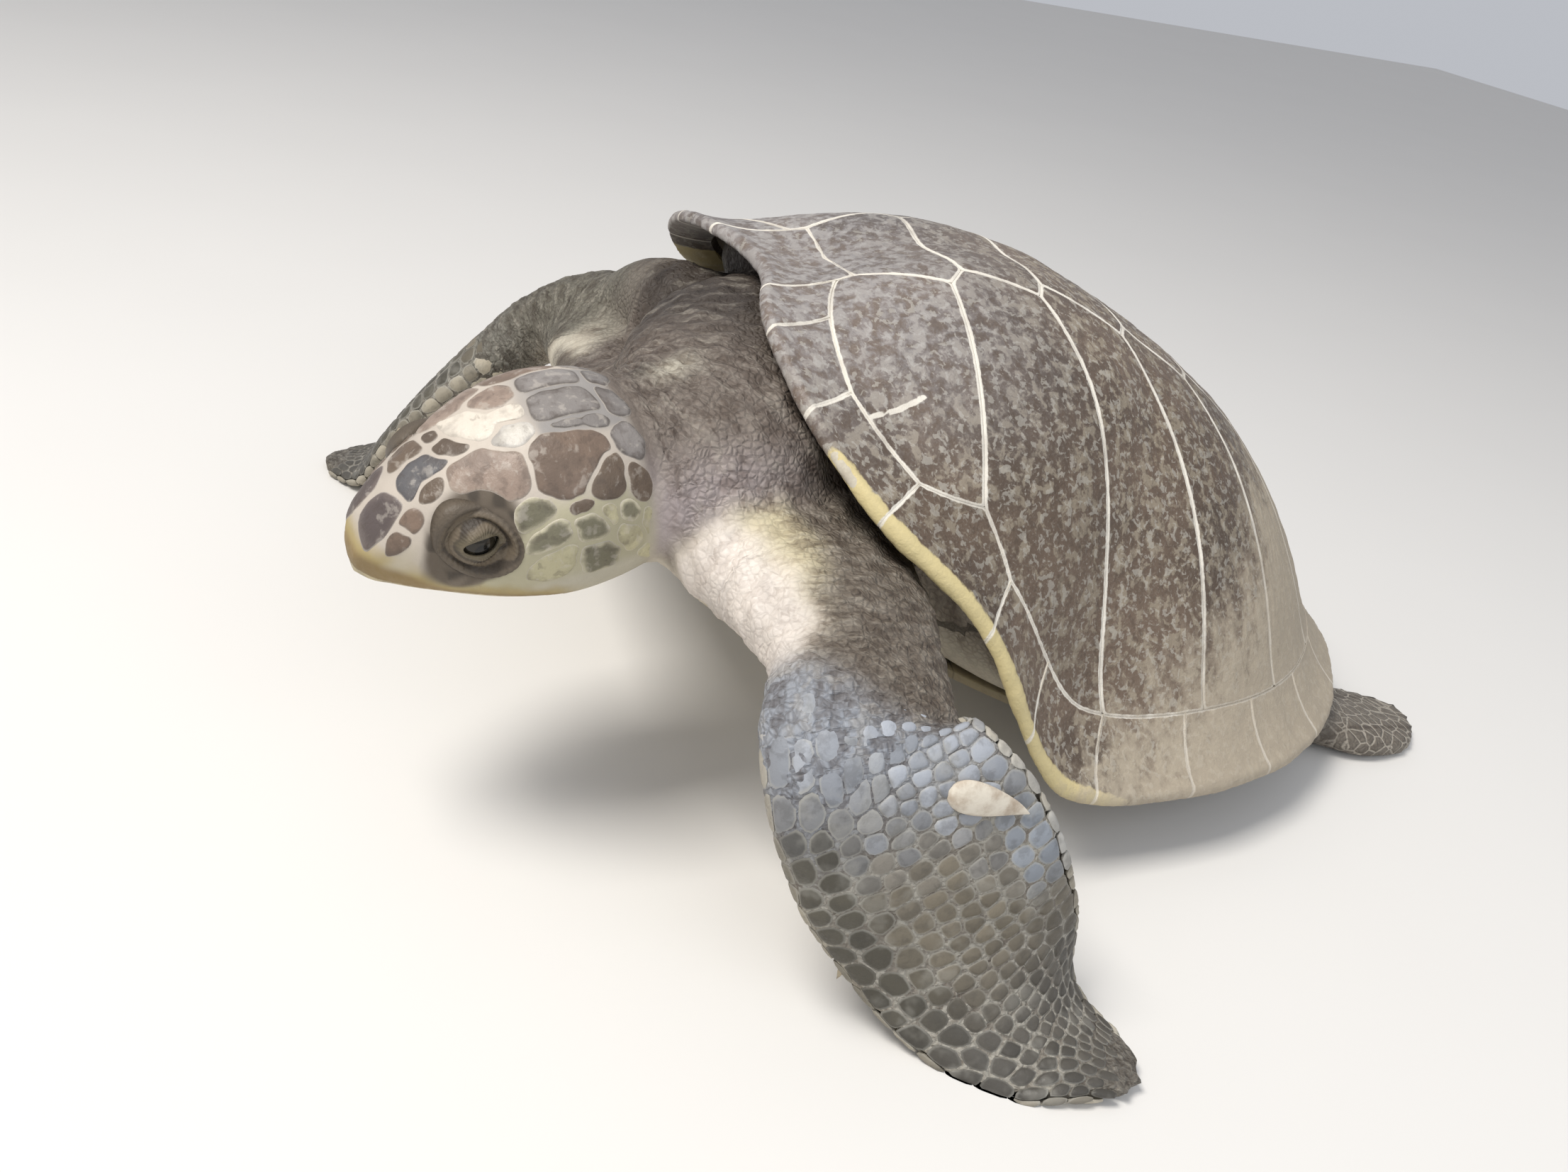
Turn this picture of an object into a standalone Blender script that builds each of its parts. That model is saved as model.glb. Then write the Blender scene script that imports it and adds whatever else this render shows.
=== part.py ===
"""Olive ridley sea turtle at life size, resting on a flat floor with its front raised.

The animal is laid out in a body frame: X to its left, Y to its tail, Z out of the back,
with the origin at the middle of the shell, level with its margin. The whole body is then
pitched nose-up, and its plastron, flippers and tail are cut flat where they touch the
floor at Z = 0. Every length is in metres.
"""

import math

import bmesh
import bpy
import numpy as np

# Shell
FRONT_REACH = 0.33           # from the widest place to the front corners' level
REAR_REACH = 0.38
SHELL_WIDTH = 0.62
DOME_HEIGHT = 0.196          # top of the dome above the body frame's origin
RIM_FRONT = 0.085            # height of the rim over the neck
RIM_SIDE = -0.052
RIM_REAR = 0.080
RIM_RISE = 1.6               # higher keeps the rim's sides level for longer
RIM_SQUARENESS = 0.03        # how far the four diagonal corners swell
NUCHAL_HOLLOW = 0.050        # depth of the front notch in the outline
NUCHAL_SPREAD = 0.30         # how wide an angle it spans
SHOULDER_SWELL = 0.015       # outline and height changes over the front flippers, as in RIM_WAVES
FLIPPER_HOLLOW = -0.028
BRIDGE_HOLLOW = -0.018
DOME_POWER = 2.45            # higher keeps the top flatter and the sides steeper
FLARE_START = 0.80           # where the steep side begins to flare out to the rim
FLARE = 5.0
PLATE = 0.003                # thickness of a scute
SEAM = 0.0005                # half of the gap between two scutes
MEAN_RADIUS = 0.30           # turns a seam at the rim into an angle, or into a share of the radius
SHARPEST = 0.2               # limits how far a scute's sharp corner is drawn in
UNDER_PLATE = 0.0042         # clearance from a scute down to the trunk
REAR_EASE = 1.9              # how much more there is over the tail
REAR_SPREAD = 0.5            # how wide an angle that spans
RIM_THICKNESS = 0.011
# Share of the way from a marginal's inner edge to the rim, and share of the thickness.
RIM_PROFILE = ((0.0, 0.0), (0.5, 0.0), (0.93, 0.0), (1.0, -0.45), (0.90, -1.0), (0.0, -1.15))
MARGINALS = 12               # on each side
FRONT_ARCS = (0.070, 0.059, 0.071, 0.084, 0.106, 0.085)   # half nuchal, then marginals 1 to 5
COLUMNS = 4                  # facets along each marginal's edge
COSTAL_STEPS = 4             # facets along each seam between costals
POLAR_ROUNDS = 8             # rounds that find the rim angle of a point of the plan
RIM_SAMPLES = 2001           # points at which the rim's length is measured
SHARP_ANGLE = math.radians(40)   # edges past this angle stay sharp
MIDLINE_STEP = 0.004         # how far the seams between vertebrals bend forward at the midline

# Pose
BODY_PITCH = math.radians(25.0)
BODY_LIFT = 0.152            # height of the body frame's origin above the floor
FLOOR_CUT = 1.0              # half side of the block that trims what reaches the floor

# Trunk and plastron
TRUNK_INSET = 0.008          # how far inside the marginals the trunk ends, as a share of the radius
TRUNK_NUCHAL = 0.785         # share of the radius at which it ends behind the nuchal
TRUNK_EDGE = 0.010           # depth of its upright edge
TRUNK_BACK = (0.25, 0.5, 0.7, 0.86, 1.0)       # rings of its back, as shares of its reach
TRUNK_UNDER = (0.85, 0.67, 0.5, 0.3, 0.12)     # rings of its underside
NUCHAL_MARGIN = 0.01         # how far past the nuchal, as an angle, its reach stays short
BELLY = -0.082               # underside of the trunk, which the plastron covers
BELLY_EDGE = 0.558           # share of the shell's radius at which the belly turns up
BELLY_CURVE = 1.25           # how fast the belly rises behind BELLY_BEND
BELLY_BEND = 0.08
PLASTRON_THICKNESS = 0.010
PLASTRON_GAP = 0.002         # between the plastron and the belly
PLASTRON_HALF_WIDTH = 0.180
PLASTRON_HALF_LENGTH = 0.236
PLASTRON_CENTRE = 0.008
PLASTRON_SQUARENESS = 0.05
PLASTRON_COLUMNS = 36
# Share of the outline and share of the thickness, from the upper face round to the lower.
PLASTRON_PROFILE = ((0.4, 0.0), (0.75, 0.0), (0.97, 0.0), (1.0, 0.35), (0.93, 0.8), (0.7, 1.0), (0.35, 1.0))

# Head
HEAD_LENGTH = 0.182
HEAD_YAW = math.radians(17.3)      # to its left
HEAD_PITCH = math.radians(33.3)    # down from the shell's own axis
HEAD_ROLL = math.radians(4.0)      # crown towards its left
HEAD_CENTRE = (0.174, -0.414, -0.106)
EYE_RADIUS = 0.0135
EYE_PLACE = (0.655, 0.0430, 0.0200)   # share of the head's length, half spacing, height
MOUTH_CORNER = (0.40, -0.026)        # share of the head's length, height
MOUTH_TIP = -0.013
JAW_SLANT = 0.12                     # how far back the jaw's hinge end runs, in shares
JAW_REACH = (1.2, 0.2)               # share and height past the head, for cutting the jaw free
BEAK_TIP = (1.006, -0.010)
HEAD_RINGS = (*np.linspace(0, 0.9, 11), 0.95, 0.98, 1.0)
HEAD_COLUMNS = 22
HEAD_POWERS = (0.86, 0.90)           # below 1 squares its sections, across and up
# Share of the length from the nape to the beak, then half widths, tops and bottoms there.
HEAD_STATIONS = (0.0, 0.18, 0.38, 0.58, 0.76, 0.90, 0.97, 1.0)
HEAD_HALF_WIDTHS = (0.061, 0.069, 0.072, 0.063, 0.046, 0.030, 0.019, 0.010)
HEAD_TOPS = (0.060, 0.072, 0.073, 0.062, 0.046, 0.028, 0.012, -0.002)
HEAD_BOTTOMS = (-0.047, -0.050, -0.048, -0.043, -0.036, -0.029, -0.025, -0.021)

# Limbs: from the joint inside the trunk to the tip, at even shares of the length, in world
# axes. Each knot is a point, then the way from the trailing to the leading edge.
FRONT_LIMBS = {
    "left": (
        ((0.095, -0.130, 0.205), (0.30, -1.00, 0.00)),
        ((0.176, -0.228, 0.214), (0.50, -0.85, 0.10)),
        ((0.255, -0.222, 0.212), (0.28, -0.95, 0.10)),
        ((0.319, -0.222, 0.201), (0.06, -1.00, 0.05)),
        ((0.371, -0.234, 0.182), (-0.18, -1.00, 0.00)),
        ((0.396, -0.198, 0.128), (-0.18, -1.00, 0.00)),
        ((0.415, -0.152, 0.062), (-0.12, -1.00, 0.00)),
        ((0.443, -0.106, 0.014), (0.20, -1.00, 0.00)),
        ((0.482, -0.056, 0.006), (0.60, -1.00, 0.00)),
    ),
    "right": (
        ((-0.100, -0.130, 0.205), (-0.20, -1.00, -0.10)),
        ((-0.185, -0.213, 0.214), (0.20, -1.00, -0.10)),
        ((-0.243, -0.262, 0.208), (0.50, -0.85, 0.00)),
        ((-0.270, -0.308, 0.182), (0.70, -0.70, 0.10)),
        ((-0.284, -0.350, 0.145), (0.85, -0.50, 0.10)),
        ((-0.295, -0.390, 0.102), (0.90, -0.50, 0.10)),
        ((-0.304, -0.428, 0.054), (0.90, -0.50, 0.10)),
        ((-0.316, -0.464, 0.012), (0.90, -0.40, 0.00)),
        ((-0.334, -0.508, 0.003), (0.90, -0.30, 0.00)),
    ),
}
FRONT_HALF_WIDTHS = (0.080, 0.088, 0.074, 0.057, 0.063, 0.078, 0.072, 0.053, 0.020)
FRONT_HALF_DEPTHS = (0.050, 0.042, 0.036, 0.032, 0.026, 0.019, 0.014, 0.010, 0.005)
ELBOW = 0.39                 # share of the front limb at which the flipper begins
ELBOW_GAP = 0.001            # as a share of the limb
ARM_RINGS, BLADE_RINGS, FRONT_COLUMNS = 7, 13, 16
FRONT_TIP = 0.4              # how far the tip runs past the last ring, in steps between rings
LEADING_EDGE = 0.25          # how much thicker a limb is towards its leading edge
PATH_STEP = 0.01             # share of a limb over which its direction is taken
CLAW_RING = 6                # ring of the flipper's edge that carries the claw
CLAW_ROOT = 0.10             # how deep it sits, as a share of the flipper's width
# Reach out from the root, sweep towards the tip of the flipper, and radius.
CLAW = ((0.0, 0.0, 0.0045), (0.010, 0.002, 0.0040), (0.016, 0.006, 0.0024))
CLAW_TIP = (0.020, 0.010)
CLAW_COLUMNS = 8
REAR_LIMB = (
    ((0.095, 0.170, 0.085), (1.0, -0.5, 0.0)),
    ((0.128, 0.232, 0.050), (1.0, -0.5, 0.0)),
    ((0.150, 0.290, 0.027), (1.0, -0.3, 0.0)),
    ((0.158, 0.345, 0.013), (1.0, 0.0, 0.0)),
    ((0.152, 0.395, 0.007), (1.0, 0.2, 0.0)),
    ((0.138, 0.438, 0.004), (1.0, 0.3, 0.0)),
)
REAR_HALF_WIDTHS = (0.045, 0.044, 0.042, 0.050, 0.050, 0.020)
REAR_HALF_DEPTHS = (0.030, 0.026, 0.020, 0.015, 0.010, 0.005)
REAR_RINGS, REAR_COLUMNS = 13, 14
REAR_TIP = 0.35
TAIL = (
    ((0.0, 0.185, 0.075), (1.0, 0.0, 0.0)),
    ((0.0, 0.240, 0.052), (1.0, 0.0, 0.0)),
    ((0.0, 0.290, 0.021), (1.0, 0.0, 0.0)),
    ((0.0, 0.330, 0.007), (1.0, 0.0, 0.0)),
)
TAIL_HALF_WIDTHS = (0.036, 0.030, 0.021, 0.010)
TAIL_HALF_DEPTHS = (0.030, 0.026, 0.018, 0.009)
TAIL_TIP = (0.0, 0.008, -0.003)
TAIL_RINGS, TAIL_COLUMNS = 8, 12

# Neck, in the body frame
NECK_ROOT = ((-0.006, -0.110, 0.020), (0.012, -0.205, 0.012))
NECK_NAPE = (0.055, 0.004)           # last knot but one: behind the head, and up
NECK_BITE = 0.008                    # how far it runs into the head before the head trims it
NECK_HALF_WIDTHS = (0.135, 0.112, 0.072, 0.054)
NECK_HALF_DEPTHS = (0.078, 0.072, 0.057, 0.045)
NECK_RINGS, NECK_COLUMNS = 10, 18

GAP = 0.0004                 # between two pieces of flesh
SIDES = (("left", 1.0), ("right", -1.0))


# ---------------------------------------------------------------- shell surface

def bump(t, centre, width):
    """A smooth swelling of height 1 round an angle from the front."""
    return np.exp(-((np.abs(t) - centre) / width) ** 2)


RIM_WAVES = (
    (0.75, 0.24, SHOULDER_SWELL, 0.0),
    (1.15, 0.24, FLIPPER_HOLLOW, 0.020),
    (1.60, 0.28, BRIDGE_HOLLOW, -0.025),
)


def rim_point(t):
    """Point of the shell's edge at angle t, 0 at the front and positive to the left."""
    t = np.asarray(t, float)
    reach = 1 + RIM_SQUARENESS * np.sin(2 * t) ** 2
    lift = 0.0
    for centre, width, swell, rise in RIM_WAVES:
        wave = bump(t, centre, width)
        reach = reach + swell * wave
        lift = lift + rise * wave
    x = SHELL_WIDTH / 2 * np.sin(t) * reach
    length = np.where(np.cos(t) > 0, FRONT_REACH, REAR_REACH)
    y = -length * np.cos(t) * reach + NUCHAL_HOLLOW * np.exp(-(t / NUCHAL_SPREAD) ** 2)
    end = np.where(np.cos(t) > 0, RIM_FRONT, RIM_REAR)
    z = RIM_SIDE + (end - RIM_SIDE) * np.abs(np.cos(t)) ** RIM_RISE + lift
    return np.stack([x, y, z], -1)


def drop(ratio):
    """How far the dome has come down at a share of the radius: 0 on top, 1 at the rim."""
    flare = FLARE * np.maximum(ratio - FLARE_START, 0) ** 2
    return (ratio ** DOME_POWER - flare) / (1 - FLARE * (1 - FLARE_START) ** 2)


def dome_point(t, ratio):
    """Point of the shell's outer surface at angle t and a share of the rim's radius."""
    edge = rim_point(t)
    ratio = np.asarray(ratio, float)
    z = DOME_HEIGHT + (edge[..., 2] - DOME_HEIGHT) * drop(ratio)
    return np.concatenate([edge[..., :2] * ratio[..., None], z[..., None]], -1)


def polar(plan):
    """Rim angle and share of the radius for points (x, y) of the plan."""
    plan = np.asarray(plan, float)
    x, y = plan[..., 0], plan[..., 1]
    t = np.arctan2(x, -y)
    for _ in range(POLAR_ROUNDS):
        edge = rim_point(t)
        t = t + np.arctan2(x, -y) - np.arctan2(edge[..., 0], -edge[..., 1])
    edge = rim_point(t)
    return t, np.hypot(x, y) / np.hypot(edge[..., 0], edge[..., 1])


def dome_over(plan):
    """Points of the dome straight above points (x, y) of the plan."""
    return dome_point(*polar(plan))


def dome_normal(plan, step=0.001):
    """Outward normals of the dome over points of the plan, from small steps along X and Y."""
    plan = np.asarray(plan, float)
    along_x = dome_over(plan + [step, 0]) - dome_over(plan - [step, 0])
    along_y = dome_over(plan + [0, step]) - dome_over(plan - [0, step])
    normal = np.cross(along_x, along_y)
    return normal / np.linalg.norm(normal, axis=-1, keepdims=True)


def arc_angles(arcs):
    """Rim angles at given lengths along the rim from the front."""
    t = np.linspace(0, math.pi, RIM_SAMPLES)
    steps = np.linalg.norm(np.diff(rim_point(t), axis=0), axis=1)
    return np.interp(arcs, np.concatenate([[0], np.cumsum(steps)]), t)


def marginal_angles():
    """Angles of the seams between marginals on one side, from the nuchal to the tail."""
    front = np.cumsum(FRONT_ARCS)
    t = np.linspace(0, math.pi, RIM_SAMPLES)
    whole = np.linalg.norm(np.diff(rim_point(t), axis=0), axis=1).sum()
    rear = np.linspace(front[-1], whole, MARGINALS - len(FRONT_ARCS) + 2)[1:]
    return arc_angles(np.concatenate([front, rear]))


SEAM_ANGLES = marginal_angles()
# Share of the radius at which the marginals' inner edge runs, at each seam between them,
# and at the middle of marginal 4, which points inward between two costals.
INNER_RATIOS = (0.830, 0.862, 0.893, 0.885, 0.880, 0.868) + (0.862,) * 7
INNER_POINT = 0.832


def inner_ratio(t):
    """Share of the radius of the marginals' inner edge at angle t."""
    middle = SEAM_ANGLES[3:5].mean()
    angles = np.insert(SEAM_ANGLES, 4, middle)
    ratios = np.insert(np.array(INNER_RATIOS), 4, INNER_POINT)
    return np.interp(np.abs(t), angles, ratios)


def column_angles(number):
    """Angles of the facets' corners along one marginal, numbered from 1."""
    return np.linspace(SEAM_ANGLES[number - 1], SEAM_ANGLES[number], COLUMNS + 1)


def inner_line(first, last):
    """Plan points of the marginals' inner edge on the left, between two seams.

    Seams are counted in marginals from the nuchal, so 3.5 is the middle of marginal 4.
    """
    count = int(round((last - first) * COLUMNS))
    share = first + np.arange(count + 1) / COLUMNS
    t = np.interp(share, np.arange(len(SEAM_ANGLES)), SEAM_ANGLES)
    return dome_point(t, inner_ratio(t))[:, :2]


# ---------------------------------------------------------------- mesh tools

def material(name, colour, roughness):
    """A Principled material in one colour."""
    made = bpy.data.materials.new(name)
    made.use_nodes = True
    shader = made.node_tree.nodes["Principled BSDF"]
    shader.inputs["Base Color"].default_value = (*colour, 1.0)
    shader.inputs["Roughness"].default_value = roughness
    shader.inputs["Metallic"].default_value = 0.0
    made.diffuse_color = (*colour, 1.0)
    return made


def to_world(points):
    """Body frame to world: pitch nose-up, then lift off the floor."""
    points = np.asarray(points, float)
    c, s = math.cos(BODY_PITCH), math.sin(BODY_PITCH)
    x, y, z = points[..., 0], points[..., 1], points[..., 2]
    return np.stack([x, y * c + z * s, z * c - y * s + BODY_LIFT], -1)


def solid(name, vertices, faces, finish, smooth=True):
    """A closed mesh object from world points and faces, with its normals turned outward."""
    mesh = bpy.data.meshes.new(name)
    mesh.from_pydata([tuple(v) for v in vertices], [], [tuple(f) for f in faces])
    shape = bmesh.new()
    shape.from_mesh(mesh)
    bmesh.ops.triangulate(shape, faces=shape.faces[:])
    bmesh.ops.recalc_face_normals(shape, faces=shape.faces[:])
    if shape.calc_volume(signed=True) < 0:
        bmesh.ops.reverse_faces(shape, faces=shape.faces[:])
    shape.to_mesh(mesh)
    shape.free()
    if smooth:
        mesh.shade_smooth()
        mesh.set_sharp_from_angle(angle=SHARP_ANGLE)
    made = bpy.data.objects.new(name, mesh)
    bpy.context.scene.collection.objects.link(made)
    if finish:
        mesh.materials.append(finish)
    return made


def tube(rings, ends=None):
    """Vertices and faces of a closed tube through rings of points, with pointed or flat ends.

    ends gives the two end points; a flat end uses the middle of its ring.
    """
    rings = np.asarray(rings, float)
    rows, columns, _ = rings.shape
    if ends is None:
        ends = (rings[0].mean(0), rings[-1].mean(0))
    vertices = np.concatenate([rings.reshape(-1, 3), [ends[0]], [ends[1]]])
    faces = []
    for i in range(rows - 1):
        for j in range(columns):
            k = (j + 1) % columns
            faces.append((i * columns + j, i * columns + k, (i + 1) * columns + k, (i + 1) * columns + j))
    first, last = rows * columns, rows * columns + 1
    for j in range(columns):
        k = (j + 1) % columns
        faces.append((first, k, j))
        faces.append((last, (rows - 1) * columns + j, (rows - 1) * columns + k))
    return vertices, faces


def smooth_curve(at, knots, values):
    """A smooth curve through knots, with slopes taken from the neighbours of each knot."""
    knots, values = np.asarray(knots, float), np.asarray(values, float)
    slopes = np.gradient(values, knots, axis=0)
    at = np.asarray(at, float)
    i = np.clip(np.searchsorted(knots, at, side="right") - 1, 0, len(knots) - 2)
    span = knots[i + 1] - knots[i]
    u = (at - knots[i]) / span
    if values.ndim > 1:
        u, span = u[:, None], span[:, None]
    start, end = values[i], values[i + 1]
    return (start * (1 + 2 * u) * (1 - u) ** 2 + slopes[i] * span * u * (1 - u) ** 2
            + end * u * u * (3 - 2 * u) - slopes[i + 1] * span * u * u * (1 - u))


def cutter(name, source, growth):
    """A hidden copy of an object, grown along its normals, for cutting its neighbours."""
    shape = bmesh.new()
    shape.from_mesh(source.data)
    bmesh.ops.remove_doubles(shape, verts=shape.verts, dist=1e-6)
    shape.normal_update()
    for vertex in shape.verts:
        vertex.co += vertex.normal * growth * vertex.calc_shell_factor()
    mesh = bpy.data.meshes.new(name)
    shape.to_mesh(mesh)
    shape.free()
    made = bpy.data.objects.new(name, mesh)
    bpy.context.scene.collection.objects.link(made)
    hide(made)
    return made


def hide(helper):
    """Keep a helper out of the model."""
    helper.hide_render = True
    helper.display_type = "WIRE"


def cut(target, tool, operation="DIFFERENCE"):
    """Cut a target by a tool with an exact Boolean."""
    modifier = target.modifiers.new(tool.name, "BOOLEAN")
    modifier.operation = operation
    modifier.solver = "EXACT"
    modifier.object = tool


def block(name, low, high):
    """A hidden box between two corners."""
    corners = [(x, y, z) for x in (low[0], high[0]) for y in (low[1], high[1]) for z in (low[2], high[2])]
    faces = [(0, 1, 3, 2), (4, 6, 7, 5), (0, 4, 5, 1), (2, 3, 7, 6), (0, 2, 6, 4), (1, 5, 7, 3)]
    made = solid(name, corners, faces, None, smooth=False)
    hide(made)
    return made


# ---------------------------------------------------------------- scutes

def inset(loop, distance):
    """Move a closed plan outline inward by a distance."""
    before, after = np.roll(loop, 1, axis=0), np.roll(loop, -1, axis=0)

    def inward(a, b):
        side = np.stack([a[:, 1] - b[:, 1], b[:, 0] - a[:, 0]], -1)
        return side / np.linalg.norm(side, axis=1, keepdims=True)

    area = np.sum(loop[:, 0] * after[:, 1] - after[:, 0] * loop[:, 1])
    first, second = inward(before, loop), inward(loop, after)
    half = first + second
    half /= np.maximum(np.sum(half * first, axis=1, keepdims=True), SHARPEST)
    return loop + math.copysign(distance, area) * half


def dome_plate(name, loop, finish):
    """A scute on the dome: its outline, a ring half way in and a middle, on both faces."""
    outline = inset(loop, SEAM)
    middle = outline.mean(0)
    rings = [outline, middle + (outline - middle) * 0.5, middle[None]]
    plan = np.concatenate(rings)
    top = dome_over(plan)
    bottom = top - dome_normal(plan) * PLATE
    n = len(outline)
    faces = []
    for base, turn in ((0, 1), (len(plan), -1)):
        for j in range(n):
            k = (j + 1) % n
            quad = (base + j, base + k, base + n + k, base + n + j)
            corner = (base + n + j, base + n + k, base + 2 * n)
            faces.append(quad[::turn])
            faces.append(corner[::turn])
    for j in range(n):
        k = (j + 1) % n
        faces.append((j, len(plan) + j, len(plan) + k, k))
    return solid(name, to_world(np.concatenate([top, bottom])), faces, finish)


def rim_plate(name, angles, inner, finish):
    """A scute on the rim: one closed profile at each angle, from its inner edge round the lip."""
    start, end = angles[0], angles[-1]
    trim = SEAM / MEAN_RADIUS * math.copysign(1, end - start)
    angles = np.clip(angles, min(start, end) + abs(trim), max(start, end) - abs(trim))
    ratio = inner + SEAM / MEAN_RADIUS
    rings = []
    for share, depth in RIM_PROFILE:
        at = ratio + (1 - ratio) * share
        points = dome_point(angles, at)
        points[:, 2] += depth * RIM_THICKNESS
        rings.append(points)
    rings = np.stack(rings, 1)
    return solid(name, *tube(to_world(rings)), finish)


def bend(start, via, end, steps):
    """Plan points of a seam that bends through a point half way along."""
    u = np.linspace(0, 1, steps + 1)[:, None]
    control = 2 * np.asarray(via) - (np.asarray(start) + np.asarray(end)) / 2
    return (1 - u) ** 2 * np.asarray(start) + 2 * u * (1 - u) * control + u ** 2 * np.asarray(end)


# Plan of the seams on the left half. A front corner of each vertebral, then the point on
# its side where the seam between two costals meets it.
VERTEBRAL_CORNERS = (
    (0.054, -0.234), (0.062, -0.168), (0.060, -0.103), (0.058, -0.016), (0.055, 0.064), (0.050, 0.142))
VERTEBRAL_POINTS = ((0.081, -0.180), (0.078, -0.110), (0.076, -0.026), (0.072, 0.054), (0.065, 0.132))
# Where each seam between costals passes half way down, and where it meets the marginals.
COSTAL_VIAS = ((0.145, -0.170), (0.171, -0.056), (0.158, 0.040), (0.143, 0.118), (0.112, 0.193))
COSTAL_ENDS = (3.5, 6.0, 7.25, 8.5, 9.75)


def costal_seam(number):
    """Seam behind costal 1 to 5, from its vertebral down to the marginals."""
    i = number - 1
    end = inner_line(COSTAL_ENDS[i], COSTAL_ENDS[i] + 1 / COLUMNS)[0]
    return bend(VERTEBRAL_POINTS[i], COSTAL_VIAS[i], end, COSTAL_STEPS)


def costal_outline(number):
    """Plan outline of a costal on the left side."""
    first = COSTAL_ENDS[number - 2] if number > 1 else 0
    last = COSTAL_ENDS[number - 1] if number < 6 else MARGINALS - 1
    outer = inner_line(first, last)
    if number == 1:
        front = np.array([VERTEBRAL_CORNERS[0]])
        back = costal_seam(1)[::-1]
        return np.concatenate([front, outer[:-1], back])
    front = costal_seam(number - 1)
    corner = np.array([VERTEBRAL_CORNERS[number - 1]])
    if number == 6:
        return np.concatenate([corner, front, outer[1:]])
    back = costal_seam(number)[::-1]
    return np.concatenate([corner, front, outer[1:-1], back])


def vertebral_outline(number):
    """Plan outline of a vertebral, symmetric about the midline."""
    front = np.array(VERTEBRAL_CORNERS[number - 1])
    if number < 6:
        side = np.array([front, VERTEBRAL_POINTS[number - 1], VERTEBRAL_CORNERS[number]])
        rear = np.empty((0, 2))
    else:
        side = np.array([front])
        rear = inner_line(MARGINALS - 1, MARGINALS)
    if number > 1:
        left = np.concatenate([[[0, front[1] - MIDLINE_STEP]], side, rear])
    else:
        left = np.concatenate([[[0, front[1]]], side, rear])
    if number < 6:
        left = np.concatenate([left, [[0, side[-1][1] - MIDLINE_STEP]]])
    right = left[::-1] * [-1, 1]
    return np.concatenate([left, right[1:-1]])


def build_shell(finish):
    """The 43 scutes: nuchal, vertebrals, costals and marginals."""
    half = SEAM_ANGLES[0]
    corner_angle, corner_ratio = polar(VERTEBRAL_CORNERS[0])
    middle_ratio = polar((0.0, VERTEBRAL_CORNERS[0][1]))[1]
    angles = np.array([-half, -corner_angle, 0.0, corner_angle, half])
    inner = np.array([INNER_RATIOS[0], corner_ratio, middle_ratio, corner_ratio, INNER_RATIOS[0]])
    rim_plate("nuchal", angles, inner, finish)
    for number in range(1, 7):
        dome_plate(f"vertebral_{number}", vertebral_outline(number), finish)
    for side, sign in SIDES:
        for number in range(1, 7):
            dome_plate(f"costal_{side}_{number}", costal_outline(number) * [sign, 1], finish)
        for number in range(1, MARGINALS + 1):
            angles = column_angles(number)
            rim_plate(f"marginal_{side}_{number}", angles * sign, inner_ratio(angles), finish)


# ---------------------------------------------------------------- trunk and plastron

def belly_height(y):
    """Height of the trunk's underside, which curves up towards the tail."""
    return BELLY + BELLY_CURVE * np.maximum(y - BELLY_BEND, 0) ** 2


def trunk_rings():
    """Rings of the trunk from the middle of the back, round its edge, to the middle of the belly."""
    left = np.concatenate([[0.0], np.linspace(0, 1, 2 * MARGINALS + 1)])
    seams = np.interp(left[1:] * MARGINALS, np.arange(MARGINALS + 1), SEAM_ANGLES)
    t = np.concatenate([[0.0], seams, -seams[:-1][::-1]])
    reach = inner_ratio(t) - TRUNK_INSET
    reach[np.abs(t) < SEAM_ANGLES[0] + NUCHAL_MARGIN] = TRUNK_NUCHAL
    rings = []
    for share in TRUNK_BACK:
        plan = dome_point(t, reach * share)[:, :2]
        clearance = UNDER_PLATE * (1 + REAR_EASE * bump(t, math.pi, REAR_SPREAD))
        rings.append(dome_over(plan) - dome_normal(plan) * (PLATE + clearance[:, None]))
    edge = rings[-1].copy()
    edge[:, 2] -= TRUNK_EDGE
    rings.append(edge)
    for share in TRUNK_UNDER:
        ring = edge.copy()
        ring[:, :2] = edge[:, :2] * share
        rise = np.clip((share * reach - BELLY_EDGE) / (reach - BELLY_EDGE), 0, 1)
        rise = rise * rise * (3 - 2 * rise)
        belly = belly_height(ring[:, 1])
        ring[:, 2] = belly + (edge[:, 2] - belly) * rise
        rings.append(ring)
    return np.array(rings)


def build_trunk(finish):
    """The body inside the shell: a lens closed over the belly."""
    rings = trunk_rings()
    top = np.array([0, 0, DOME_HEIGHT - PLATE - UNDER_PLATE])
    bottom = np.array([0, 0, BELLY])
    return solid("trunk", *tube(to_world(rings), ends=to_world([top, bottom])), finish)


def plastron_rings():
    """Outline rings of the plastron, its upper face level and its lower face bellied."""
    t = np.linspace(0, 2 * math.pi, PLASTRON_COLUMNS, endpoint=False)
    square = 1 + PLASTRON_SQUARENESS * np.sin(2 * t) ** 2
    x = PLASTRON_HALF_WIDTH * np.sin(t) * square
    y = PLASTRON_CENTRE - PLASTRON_HALF_LENGTH * np.cos(t) * square
    rings = []
    for share, depth in PLASTRON_PROFILE:
        along = PLASTRON_CENTRE + (y - PLASTRON_CENTRE) * share
        z = belly_height(along) - PLASTRON_GAP - PLASTRON_THICKNESS * depth
        rings.append(np.stack([x * share, along, z], -1))
    return np.array(rings)


def build_plastron(finish, floor):
    """The belly shell, one plate, cut flat where its rear end touches the floor."""
    made = solid("plastron", *tube(to_world(plastron_rings())), finish)
    cut(made, floor)
    return made


# ---------------------------------------------------------------- head

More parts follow.
